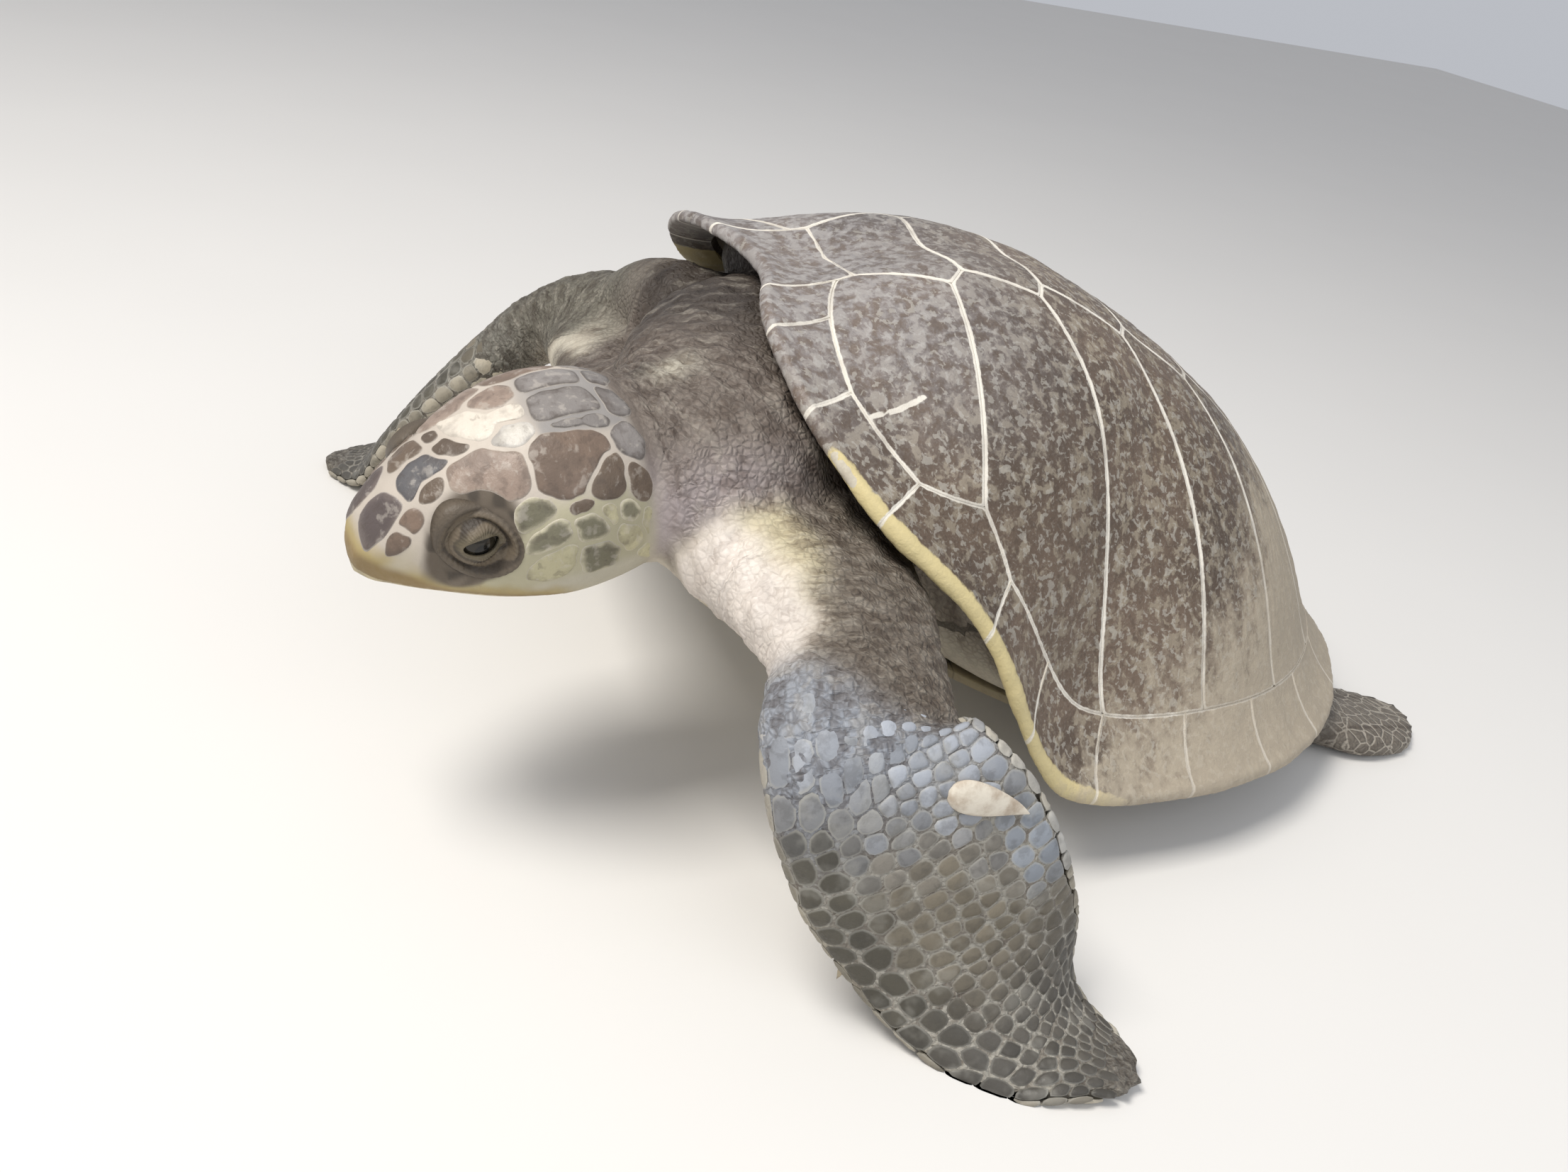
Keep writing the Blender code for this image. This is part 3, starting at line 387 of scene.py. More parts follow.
@dataclass(frozen=True)
class Dome:
    """Outer surface of the shell, as height over its plan, and the seams that divide it."""

    front_reach: float = 0.33
    rear_reach: float = 0.38
    width: float = 0.62
    height: float = 0.196
    rim_front: float = 0.085
    rim_side: float = -0.052
    rim_rear: float = 0.080
    squareness: float = 0.03
    nuchal_hollow: float = 0.050
    nuchal_spread: float = 0.30
    power: float = 2.45
    flare_start: float = 0.80
    flare: float = 5.0
    waves: tuple[tuple[float, float, float, float], ...] = (
        (0.75, 0.24, 0.015, 0.0), (1.15, 0.24, -0.028, 0.020), (1.60, 0.28, -0.018, -0.025))
    marginals: int = 12
    front_arcs: tuple[float, ...] = (0.070, 0.059, 0.071, 0.084, 0.106, 0.085)
    inner_ratios: tuple[float, ...] = (0.830, 0.862, 0.893, 0.885, 0.880, 0.868) + (0.862,) * 7
    inner_tip: float = 0.832
    # Seam after which the marginals' inner edge has an extra corner.
    tip_seam: int = 4
    rim_power: float = 1.6
    rounds: int = 8
    samples: int = 2001

    def rim(self, t: Array) -> Array:
        """Edge of the shell: an ellipse swollen and lifted by waves, hollow at the nape.

        Args:
            t: Angles, 0 at the front and rising to the left.

        Returns:
            Points in the body frame.
        """
        t = np.asarray(t, float)
        reach = 1 + self.squareness * np.sin(2 * t) ** 2
        lift = np.zeros_like(t)
        for centre, width, swell, rise in self.waves:
            wave = bump(t, centre, width)
            reach = reach + swell * wave
            lift = lift + rise * wave
        length = np.where(np.cos(t) > 0, self.front_reach, self.rear_reach)
        hollow = self.nuchal_hollow * np.exp(-(t / self.nuchal_spread) ** 2)
        y = -length * np.cos(t) * reach + hollow
        end = np.where(np.cos(t) > 0, self.rim_front, self.rim_rear)
        z = self.rim_side + (end - self.rim_side) * np.abs(np.cos(t)) ** self.rim_power + lift
        return np.stack([self.width / 2 * np.sin(t) * reach, y, z], -1)

    def at(self, t: Array, ratio: Array) -> Array:
        """Shell surface at angle t and a share of the rim's radius: a power curve with a flare.

        Args:
            t: Angles from the nuchal, positive to the left.
            ratio: Shares of the radius.

        Returns:
            Places in the body frame.
        """
        edge = self.rim(t)
        ratio = np.asarray(ratio, float)
        flare = self.flare * np.maximum(ratio - self.flare_start, 0) ** 2
        drop = (ratio ** self.power - flare) / (1 - self.flare * (1 - self.flare_start) ** 2)
        z = self.height + (edge[..., 2] - self.height) * drop
        return np.concatenate([edge[..., :2] * ratio[..., None], z[..., None]], -1)

    def polar(self, plan: Array) -> tuple[Array, Array]:
        """Rim angle and share of the radius of plan points, the angle corrected repeatedly.

        Args:
            plan: Plan points, X and Y.

        Returns:
            The angles and the shares.
        """
        x, y = plan[..., 0], plan[..., 1]
        t = np.arctan2(x, -y)
        for _ in range(self.rounds):
            edge = self.rim(t)
            t = t + np.arctan2(x, -y) - np.arctan2(edge[..., 0], -edge[..., 1])
        edge = self.rim(t)
        return t, np.hypot(x, y) / np.hypot(edge[..., 0], edge[..., 1])

    def over(self, plan: Array) -> Array:
        """Shell surface straight above plan points."""
        return self.at(*self.polar(np.asarray(plan, float)))

    def normal(self, plan: Array, step: float = 0.001) -> Array:
        """Outward normals over plan points: the cross product of small steps along X and Y.

        Args:
            plan: Plan points, X and Y.
            step: Length of a step.

        Returns:
            A unit vector for each point.
        """
        along_x = self.over(plan + np.array([step, 0])) - self.over(plan - np.array([step, 0]))
        along_y = self.over(plan + np.array([0, step])) - self.over(plan - np.array([0, step]))
        return unit(np.cross(along_x, along_y))

    def seam_angles(self) -> Array:
        """Angles of the seams between marginals, from lengths measured along the rim.

        Returns:
            The angles, from the front to the rear.
        """
        front = np.cumsum(self.front_arcs)
        t = np.linspace(0, math.pi, self.samples)
        arc = run_lengths(self.rim(t))
        rear = np.linspace(front[-1], arc[-1], self.marginals - len(self.front_arcs) + 2)[1:]
        return np.interp(np.concatenate([front, rear]), arc, t)

    def inner(self, t: Array) -> Array:
        """Share of the radius of the marginals' inner edge at angle t, straight between seams.

        Args:
            t: Angles from the nuchal.

        Returns:
            A share for each.
        """
        seams = self.seam_angles()
        k = self.tip_seam
        angles = np.insert(seams, k, seams[k - 1:k + 1].mean())
        ratios = np.insert(np.array(self.inner_ratios), k, self.inner_tip)
        return np.interp(np.abs(t), angles, ratios)

    def inner_line(self, first: float, last: float, steps: int) -> Array:
        """Plan points of the marginals' inner edge, between seams counted from the nuchal.

        Args:
            first: Seam where the line starts.
            last: Seam where it ends.
            steps: How many steps; there is one point more.

        Returns:
            Plan points by 2.
        """
        seams = self.seam_angles()
        t = np.interp(np.linspace(first, last, steps + 1), np.arange(len(seams)), seams)
        return self.at(t, self.inner(t))[:, :2]


@dataclass
class Shell:
    """The 43 scutes of the carapace, each a closed plate, over a pale bed that fills the seams."""

    place: Place
    dome: Dome = field(default_factory=Dome)
    gap: float = 0.0001
    # How far rim scutes reach under their neighbours, so that no crack shows in the seams.
    rim_lap: float = 0.0004
    spacing: float = 0.0032
    plate: float = 0.003
    edge_dip: float = 0.0005
    edge_round: float = 0.0008
    rim_thickness: float = 0.011
    bed_depth: float = 0.0016
    bed_thickness: float = 0.0020
    cream_seams: tuple[float, float] = (0.62, 1.62)
    midline_step: float = 0.004
    # A short extra seam on the first left costal.
    stub: tuple[tuple[float, float], ...] = (
        (0.183, -0.236), (0.180, -0.228), (0.177, -0.217), (0.170, -0.201))
    corners: tuple[tuple[float, float], ...] = (
        (0.054, -0.234), (0.062, -0.168), (0.060, -0.103),
        (0.058, -0.016), (0.055, 0.064), (0.050, 0.142))
    points: tuple[tuple[float, float], ...] = (
        (0.081, -0.180), (0.078, -0.110), (0.076, -0.026), (0.072, 0.054), (0.065, 0.132))
    vias: tuple[tuple[float, float], ...] = (
        (0.145, -0.170), (0.171, -0.056), (0.158, 0.040), (0.143, 0.118), (0.112, 0.193))
    ends: tuple[float, ...] = (3.5, 6.0, 7.25, 8.5, 9.75)
    ring_steps: tuple[float, ...] = (0.0, 0.0005, 0.0012, 0.0022, 0.0036, 0.006, 0.010, 0.016)
    # Rings of a dome plate that its lower face repeats.
    below: tuple[int, ...] = (0, 8, 11)
    costals: int = 6
    seam_points: int = 25
    edge_steps: int = 12
    # Height and wavelength of a scute's broad and fine swells, and of its growth steps.
    broad: tuple[float, float] = (0.0007, 0.09)
    fine: tuple[float, float] = (0.0003, 0.022)
    growth: tuple[float, float] = (0.00016, 0.0085)
    level_reach: float = 0.006
    # Stored distance to the lip where a scute has none, or where the lip isn't cream.
    far: float = 0.02
    # Radius that turns a length along the rim into an angle.
    rim_radius: float = 0.30
    # Angle over which a rim plate's even columns stay clear of its seams.
    rim_clear: float = 0.02
    # Column of a rim plate that lies along the lip, and one on its level upper face.
    lip_column: int = 21
    face_column: int = 8
    # Angles over which the cream fades in at the front and out at the bridge.
    cream_fades: tuple[float, float] = (0.14, 0.25)
    bed_columns: int = 360

    def costal_seam(self, number: int) -> Array:
        """Plan of the seam behind a costal: a parabola through its middle point.

        Args:
            number: Which costal, from 1 at the front.

        Returns:
            Plan points from the inner end to the outer.
        """
        i = number - 1
        start, via = np.array(self.points[i]), np.array(self.vias[i])
        end = self.dome.inner_line(self.ends[i], self.ends[i] + 1, 1)[0]
        u = np.linspace(0, 1, self.seam_points)[:, None]
        control = 2 * via - (start + end) / 2
        return (1 - u) ** 2 * start + 2 * u * (1 - u) * control + u ** 2 * end

    def costal_outline(self, number: int) -> Array:
        """Plan outline of a costal on the left.

        Args:
            number: Which costal, from 1 at the front.

        Returns:
            A closed loop of plan points.
        """
        first = self.ends[number - 2] if number > 1 else 0.0
        last = self.ends[number - 1] if number < self.costals else self.dome.marginals - 1.0
        outer = self.dome.inner_line(first, last, int((last - first) * self.edge_steps))
        corner = np.array([self.corners[number - 1]])
        if number == 1:
            return np.concatenate([corner, outer[:-1], self.costal_seam(1)[::-1]])
        front = self.costal_seam(number - 1)
        if number == self.costals:
            return np.concatenate([corner, front, outer[1:]])
        return np.concatenate([corner, front, outer[1:-1], self.costal_seam(number)[::-1]])

    def vertebral_outline(self, number: int) -> Array:
        """Plan outline of a vertebral, the same on both sides of the midline.

        Args:
            number: Which vertebral, from 1 at the front.

        Returns:
            A closed loop of plan points.
        """
        front = np.array(self.corners[number - 1])
        step = self.midline_step if number > 1 else 0.0
        left = [[[0, front[1] - step]], [front]]
        if number < self.costals:
            behind = np.array(self.corners[number])
            left += [[self.points[number - 1]], [behind], [[0, behind[1] - self.midline_step]]]
        else:
            last = self.dome.marginals
            left.append(self.dome.inner_line(last - 1.0, last, self.edge_steps))
        left = np.concatenate([np.array(p, float) for p in left])
        right = left[::-1] * [-1, 1]
        return np.concatenate([left, right[1:-1]])

    def inset(self, loop: Array) -> Array:
        """A plan outline drawn in by the gap, along the bisector at each point.

        Args:
            loop: A closed loop of plan points.

        Returns:
            The smaller loop.
        """
        before, after = np.roll(loop, 1, axis=0), np.roll(loop, -1, axis=0)
        sides = []
        for a, b in ((before, loop), (loop, after)):
            sides.append(unit(np.stack([a[:, 1] - b[:, 1], b[:, 0] - a[:, 0]], -1)))
        area = np.sum(loop[:, 0] * after[:, 1] - after[:, 0] * loop[:, 1])
        half = sides[0] + sides[1]
        half /= np.maximum(np.sum(half * sides[0], axis=1, keepdims=True), 0.3)
        return loop + math.copysign(self.gap, area) * half

    def relief(self, points: Array, edge: Array, seed: int) -> Array:
        """Height of a scute over the dome: rounded edges, soft swells and faint growth steps.

        Args:
            points: Places on the dome.
            edge: Distance of each from the scute's seam.
            seed: Varies the fine swells.

        Returns:
            One height for each place.
        """
        swell = self.broad[0] * ripple(points, self.broad[1], 5)
        swell += self.fine[0] * ripple(points, self.fine[1], 6 + seed)
        phase = 2 * math.pi * edge / self.growth[1] + 2 * ripple(points, 0.05, 9)
        growth = self.growth[0] * np.sin(phase)
        inside = ease(0.0, self.level_reach, edge)
        return (swell + growth) * inside - self.edge_dip * np.exp(-edge / self.edge_round)

    def dome_plate(self, outline: Array, seed: int, stub: Array | None = None) -> Surface:
        """A scute on the dome: rings drawn in from its outline, on the outer and the inner face.

        Args:
            outline: Plan outline.
            seed: Chooses its relief and its tint.
            stub: Plan of a short extra seam across it.

        Returns:
            The closed plate.
        """
        fine = resample(self.inset(outline), spacing=self.spacing)
        middle = fine.mean(0)
        away = np.linalg.norm(fine - middle, axis=1, keepdims=True)
        rings = [fine + (middle - fine) / away * step for step in self.ring_steps]
        inner = rings[-1]
        rings += [middle + (inner - middle) * share for share in np.linspace(0.94, 0.06, 16)]
        plan = np.array(rings)
        top = self.dome.over(plan)
        normal = self.dome.normal(plan)
        wall = np.concatenate([top[0], top[0][:1]])
        flat = top.reshape(-1, 3)
        edge = distance_to_line(flat, wall).reshape(plan.shape[:2])
        if stub is not None:
            seam = distance_to_line(flat, self.dome.over(stub))
            edge = np.minimum(edge, seam.reshape(edge.shape))
        top = top + normal * self.relief(flat, edge.ravel(), seed).reshape(edge.shape)[..., None]
        lower = list(self.below)
        below = self.dome.over(plan[lower]) - normal[lower] * self.plate
        rings = np.concatenate([below[::-1], top])
        depth = np.concatenate([np.zeros((len(lower), plan.shape[1])), edge])
        rim = np.full(depth.shape, self.far)
        tint = np.full(depth.shape, np.random.default_rng(seed).uniform())
        return tube(self.place.world(rings), values={"edge": depth, "rim": rim, "tint": tint})

    def rim_profile(self) -> tuple[Array, Array]:
        """Shares of the way to the rim, and depths in rim thicknesses: face, bend, lower face.

        Returns:
            The shares and the depths.
        """
        bend = np.linspace(0, math.pi, 11)
        face = np.concatenate([[0, 0.008, 0.02, 0.04, 0.07], np.linspace(0.12, 0.88, 13)])
        share = np.concatenate([face, 0.91 + 0.09 * np.sin(bend), np.linspace(0.8, 0.0, 7)])
        depth = np.concatenate([0 * face, -0.5 + 0.5 * np.cos(bend), np.linspace(-1.02, -1.15, 7)])
        return share, depth

    def rim_plate(self, start: float, end: float, sign: float, inner: Array | None,
                  seed: int) -> Surface:
        """A scute on the rim: a profile over the lip and back below, carried round the edge.

        Args:
            start: Angle of its first seam.
            end: Angle of its second seam.
            sign: 1 for the left side, -1 for the right.
            inner: Angle and ratio knots of its inner edge, or None for the marginals' own.
            seed: Chooses its relief and its tint.

        Returns:
            The closed plate.
        """
        lap = self.rim_lap / self.rim_radius
        count = max(10, int((end - start) * self.rim_radius / self.spacing))
        near = np.array(self.ring_steps[:5]) / self.rim_radius - lap
        even = np.linspace(start + self.rim_clear, end - self.rim_clear, count)
        angles = np.concatenate([start + near, even, (end - near)[::-1]])
        ratio = self.dome.inner(angles) if inner is None else np.interp(angles, inner[0], inner[1])
        ratio = ratio - 1.5 * lap
        share, depth = self.rim_profile()
        radius = ratio[:, None] + (1 - ratio[:, None]) * share[None, :]
        t = np.broadcast_to(angles[:, None] * sign, radius.shape)
        rings = self.dome.at(t, radius)
        rings[..., 2] += depth * self.rim_thickness
        flat = rings.reshape(-1, 3)
        lines = (rings[0], rings[-1], rings[:, 0], rings[:, self.lip_column])
        *seams, rim = (distance_to_line(flat, line).reshape(radius.shape) for line in lines)
        edge = np.minimum.reduce(seams)
        rim = np.where(np.arange(radius.shape[1])[None, :] > self.lip_column, 0.0, rim)
        low, high = self.cream_seams
        rise, fall = self.cream_fades
        bare = 1 - ease(low, low + rise, angles) * (1 - ease(high, high + fall, angles))
        rim = rim + self.far * bare[:, None]
        normal = grid_normals(rings)
        up = np.sign(np.mean(normal[:, self.face_column, 2]))
        height = self.relief(flat, edge.ravel(), seed).reshape(radius.shape)
        rings = rings + normal * up * height[..., None]
        tint = np.full(radius.shape, np.random.default_rng(seed).uniform())
        return tube(self.place.world(rings), values={"edge": edge, "rim": rim, "tint": tint})

    def bed(self) -> Surface:
        """The pale layer under the seams: the dome, a little lower, and back beneath.

        Returns:
            One closed layer.
        """
        t = np.linspace(-math.pi, math.pi, self.bed_columns, endpoint=False)
        inner = self.dome.inner(t)

        def layer(reach: Array, depth: float) -> Array:
            """A ring at a share of the radius, sunk along the dome's normals."""
            ring = self.dome.at(t, reach)
            return ring - self.dome.normal(ring[:, :2]) * depth

        shares = np.linspace(0.06, 0.96, 30)
        rings = [layer(inner * share, self.bed_depth) for share in shares]
        for share in np.linspace(0.0, 0.88, 8):
            rings.append(layer(inner + (1 - inner) * share, self.bed_depth))
        bend = np.linspace(0.3, math.pi, 9)
        lip = [*zip(0.905 + 0.075 * np.sin(bend), -0.5 + 0.38 * np.cos(bend)),
               (0.6, -0.95), (0.3, -0.98), (0.06, -1.0), (0.04, -0.5)]
        for share, depth in lip:
            ring = self.dome.at(t, inner + (1 - inner) * share)
            ring[:, 2] += depth * self.rim_thickness
            rings.append(ring)
        beneath = self.bed_depth + self.bed_thickness
        rings += [layer(inner * share, beneath) for share in shares[::-2]]
        rings = np.array(rings)
        top = [0, 0, self.dome.height - self.bed_depth]
        bottom = [0, 0, self.dome.height - self.bed_depth - self.bed_thickness]
        return tube(self.place.world(rings), (self.place.world(top), self.place.world(bottom)))

    def build(self, scute: bpy.types.Material, bed: bpy.types.Material) -> None:
        """Make every scute in place of its solid, and the bed beneath them.

        Args:
            scute: Material of the scutes.
            bed: Material of the layer under the seams.
        """
        def add(name: str, form: Surface) -> None:
            """Keep one scute in place of the solid of that name."""
            keep(form.to_object(name + "_scute", 50), scute, "scute", name)

        half = self.dome.seam_angles()[0]
        corner_t, corner_r = self.dome.polar(np.array(self.corners[0]))
        middle_r = self.dome.polar(np.array([0.0, self.corners[0][1]]))[1]
        seam_r = self.dome.inner_ratios[0]
        knots = np.array([[-half, -corner_t, 0.0, corner_t, half],
                          [seam_r, corner_r, middle_r, corner_r, seam_r]])
        add("nuchal", self.rim_plate(-half, half, 1.0, knots, 1))
        for number in range(1, self.costals + 1):
            outline = self.vertebral_outline(number)
            add(f"vertebral_{number}", self.dome_plate(outline, 10 + number))
        seams = self.dome.seam_angles()
        for k, (side, sign) in enumerate(SIDES):
            for number in range(1, self.costals + 1):
                outline = self.costal_outline(number) * [sign, 1]
                stub = np.array(self.stub) if (side, number) == ("left", 1) else None
                plate = self.dome_plate(outline, 20 + 10 * k + number, stub)
                add(f"costal_{side}_{number}", plate)
            for number in range(1, self.dome.marginals + 1):
                plate = self.rim_plate(seams[number - 1], seams[number], sign, None,
                                       40 + 20 * k + number)
                add(f"marginal_{side}_{number}", plate)
        keep(self.bed().to_object("seam_bed"), bed, "scute")


def keep(piece: bpy.types.Object, finish: bpy.types.Material, slot: str, *nodes: str) -> None:
    """Dress a piece, let it ride on the body, and hide the solids that it stands for.

    Args:
        piece: The finished object.
        finish: Its material.
        slot: Not used.
        nodes: The solids that it replaces.
    """
    piece.data.materials.append(finish)
    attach(piece, "root")
    if nodes:
        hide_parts(*nodes)
    LOG.info("%s: %d faces, in place of %s",
             piece.name, len(piece.data.polygons), ", ".join(nodes) or "none")


# ---------------------------------------------------------------- head form

@dataclass(frozen=True)
class HeadForm:
    """The head: rounded cross-sections from the nape to the beak, in its own turned axes."""

    place: Place
    length: float = 0.182
    yaw: float = math.radians(17.3)
    pitch: float = math.radians(33.3)
    roll: float = math.radians(4.0)
    centre: tuple[float, float, float] = (0.174, -0.414, -0.106)
    stations: tuple[float, ...] = (0.0, 0.18, 0.38, 0.58, 0.76, 0.90, 0.97, 1.0)
    half_widths: tuple[float, ...] = (0.061, 0.069, 0.072, 0.063, 0.046, 0.030, 0.019, 0.010)
    tops: tuple[float, ...] = (0.060, 0.072, 0.073, 0.062, 0.046, 0.028, 0.012, -0.002)
    bottoms: tuple[float, ...] = (-0.047, -0.050, -0.048, -0.043, -0.036, -0.029, -0.025, -0.021)
    beak_tip: tuple[float, float] = (1.006, -0.010)
    across_power: float = 0.86
    height_power: float = 0.90

    def axes(self) -> tuple[Array, Array, Array]:
        """Unit vectors forward, left and up in the body frame, from yaw, pitch and roll.

        Returns:
            The three vectors.
        """
        reach = math.cos(self.pitch)
        forward = np.array([math.sin(self.yaw) * reach, -math.cos(self.yaw) * reach,
                            -math.sin(self.pitch)])
        level = np.array([math.cos(self.yaw), math.sin(self.yaw), 0.0])
        crown = np.cross(forward, level)
        left = level * math.cos(self.roll) - crown * math.sin(self.roll)
        return forward, left, np.cross(forward, left)

    def body_point(self, share: Array, left: Array, up: Array) -> Array:
        """Body-frame point at a share of the length from the nape, and offsets left and up.

        Args:
            share: Shares of the length.
            left: Offsets to the left.
            up: Offsets up.

        Returns:
            Places in the body frame.
        """
        forward, sideways, upward = self.axes()
        share, left, up = (np.asarray(v, float)[..., None] for v in (share, left, up))
        return (np.array(self.centre) + (share - 0.5) * self.length * forward
                + left * sideways + up * upward)

    def point(self, share: Array, left: Array, up: Array) -> Array:
        """The same point in the scene."""
        return self.place.world(self.body_point(share, left, up))

    def local(self, points: Array) -> Array:
        """Share, left and up of points in the scene.

        Args:
            points: Places in the scene.

        Returns:
            Points by share, left and up.
        """
        away = self.place.body(points) - np.array(self.centre)
        forward, sideways, upward = self.axes()
        return np.stack([away @ forward / self.length + 0.5, away @ sideways, away @ upward], -1)

    def sizes(self, share: Array) -> tuple[Array, Array, Array]:
        """Half width, top and bottom at shares of the length.

        Args:
            share: Shares of the length.

        Returns:
            The three sizes; the bottom is negative.
        """
        flat = np.ravel(share)
        shape = np.shape(share)
        return tuple(smooth_curve(flat, self.stations, v).reshape(shape)
                     for v in (self.half_widths, self.tops, self.bottoms))

    def section(self, share: Array, turn: Array) -> Array:
        """Scene point of the skin at a share and a turn from the left side up over the crown.

        The offsets are the half width times a power of the turn's cosine, and the top or the
        bottom times a power of its sine.

        Args:
            share: Shares of the length.
            turn: Turns, 0 at the left side.

        Returns:
            Places in the scene.
        """
        width, top, bottom = self.sizes(share)
        left = width * power(np.cos(turn), self.across_power)
        reach = np.where(np.sin(turn) > 0, top, -bottom)
        return self.point(share, left, reach * power(np.sin(turn), self.height_power))

    def radius(self, share: Array) -> Array:
        """Mean radius that turns a turn from the crown into a length across the head."""
        width, top, _ = self.sizes(share)
        return (width + top) / 2

    def on_skin(self, along: Array, across: Array) -> Array:
        """Scene point at lengths along the head from the nape, and across it from the crown."""
        share = along / self.length
        return self.section(share, math.pi / 2 - across / self.radius(share))

    def side(self, share: Array, up: Array) -> Array:
        """How far left the cheek stands at a share and a height, from the section's own powers.

        Args:
            share: Shares of the length.
            up: Heights in the head.

        Returns:
            An offset to the left for each.
        """
        width, top, bottom = self.sizes(share)
        reach = np.where(up > 0, top, -bottom)
        high = np.clip(np.abs(up) / reach, 0, 0.995) ** (2 / self.height_power)
        return width * (1 - high) ** (self.across_power / 2)


@dataclass(frozen=True)
class LimbForm:
    """A limb: flattened ovals along a path through knots, thicker towards the leading edge."""

    knots: tuple[tuple[tuple[float, float, float], tuple[float, float, float]], ...]
    half_widths: tuple[float, ...]
    half_depths: tuple[float, ...]
    lead: float = 0.25
    shift: tuple[float, float, float] = (0.0, 0.0, 0.0)
    mirror: float = 1.0
    # Share to each side that gives the path's direction, shares that local compares with,
    # and how many points it takes at a time.
    stride: float = 0.01
    samples: int = 161
    block: int = 8192

    def frame_at(self, shares: Array) -> tuple[Array, Array, Array, Array, Array]:
        """The limb's axes and sizes, from smooth curves through its knots.

        Args:
            shares: Shares of the limb's length.

        Returns:
            Centres, chords, faces, half widths and half depths there.
        """
        at = np.linspace(0, 1, len(self.knots))
        path, chords = np.array(self.knots, float).transpose(1, 0, 2)
        centre = smooth_curve(shares, at, path)
        ahead = smooth_curve(np.minimum(shares + self.stride, 1), at, path)
        along = unit(ahead - smooth_curve(np.maximum(shares - self.stride, 0), at, path))
        chord = smooth_curve(shares, at, chords)
        chord = unit(chord - along * np.sum(chord * along, axis=1, keepdims=True))
        face = np.cross(along, chord)
        wide = smooth_curve(shares, at, self.half_widths)
        deep = smooth_curve(shares, at, self.half_depths)
        turn = np.array([self.mirror, 1.0, 1.0])
        return centre * turn + self.shift, chord * turn, face * turn, wide, deep

    def section(self, shares: Array, turn: Array) -> Array:
        """Points at paired shares and turns: chord by cosine, face by sine times a swell.

        Args:
            shares: Shares of the length.
            turn: Turns, 0 at the leading edge.

        Returns:
            Places in the scene.
        """
        centre, chord, face, wide, deep = self.frame_at(shares)
        across = (np.cos(turn) * wide)[:, None]
        depth = (np.sin(turn) * (1 + self.lead * np.cos(turn)) * deep)[:, None]
        return centre + across * chord + depth * face

    def rings(self, start: float, end: float, rows: int, columns: int) -> Array:
        """Rings of points between two shares of the length.

        Args:
            start: Share of the first ring.
            end: Share of the last.
            rows: How many rings.
            columns: Points in each.

        Returns:
            Rings by columns by 3.
        """
        shares = np.repeat(np.linspace(start, end, rows), columns)
        turn = np.tile(circle(columns), rows)
        return self.section(shares, turn).reshape(rows, columns, 3)

    def loft(self, start: float, rows: int, columns: int, tip: float) -> Surface:
        """The limb as a closed tube, ending in a point past its last ring.

        Args:
            start: Share where it starts.
            rows: How many rings.
            columns: Points in each.
            tip: How far the point lies past the last ring.

        Returns:
            The tube, its faces outward.
        """
        rings = self.rings(start, 1.0, rows, columns)
        end = rings[-1].mean(0)
        step = unit(end - rings[-2].mean(0)) * tip
        return tube(rings, (rings[0].mean(0), end + step))

    def local(self, points: Array) -> tuple[Array, Array, Array, Array]:
        """Where points lie about the limb, from the nearest of many places on its path.

        Args:
            points: Places in the scene.

        Returns:
            Share along the limb, chord and face from -1 to 1, and distance to the path.
        """
        shares = np.linspace(0, 1, self.samples)
        centre, chord, face, wide, deep = self.frame_at(shares)
        nearest = np.empty(len(points), int)
        for start in range(0, len(points), self.block):
            part = slice(start, start + self.block)
            nearest[part] = np.linalg.norm(points[part, None] - centre, axis=-1).argmin(1)
        away = points - centre[nearest]
        across = np.sum(away * chord[nearest], -1) / wide[nearest]
        depth = np.sum(away * face[nearest], -1) / deep[nearest]
        return shares[nearest], across, depth, np.linalg.norm(away, axis=-1)


FRONT_KNOTS = {
    "left": (
        ((0.095, -0.130, 0.205), (0.30, -1.00, 0.00)),
        ((0.176, -0.228, 0.214), (0.50, -0.85, 0.10)),
        ((0.255, -0.222, 0.212), (0.28, -0.95, 0.10)),
        ((0.319, -0.222, 0.201), (0.06, -1.00, 0.05)),
        ((0.371, -0.234, 0.182), (-0.18, -1.00, 0.00)),
        ((0.396, -0.198, 0.128), (-0.18, -1.00, 0.00)),
        ((0.415, -0.152, 0.062), (-0.12, -1.00, 0.00)),
        ((0.443, -0.106, 0.014), (0.20, -1.00, 0.00)),
        ((0.482, -0.056, 0.006), (0.60, -1.00, 0.00))),
    "right": (
        ((-0.100, -0.130, 0.205), (-0.20, -1.00, -0.10)),
        ((-0.185, -0.213, 0.214), (0.20, -1.00, -0.10)),
        ((-0.243, -0.262, 0.208), (0.50, -0.85, 0.00)),
        ((-0.270, -0.308, 0.182), (0.70, -0.70, 0.10)),
        ((-0.284, -0.350, 0.145), (0.85, -0.50, 0.10)),
        ((-0.295, -0.390, 0.102), (0.90, -0.50, 0.10)),
        ((-0.304, -0.428, 0.054), (0.90, -0.50, 0.10)),
        ((-0.316, -0.464, 0.012), (0.90, -0.40, 0.00)),
        ((-0.334, -0.508, 0.003), (0.90, -0.30, 0.00))),
}
FRONT_HALF_WIDTHS = (0.080, 0.088, 0.074, 0.057, 0.063, 0.078, 0.072, 0.053, 0.020)
FRONT_HALF_DEPTHS = (0.050, 0.042, 0.036, 0.032, 0.026, 0.019, 0.014, 0.010, 0.005)
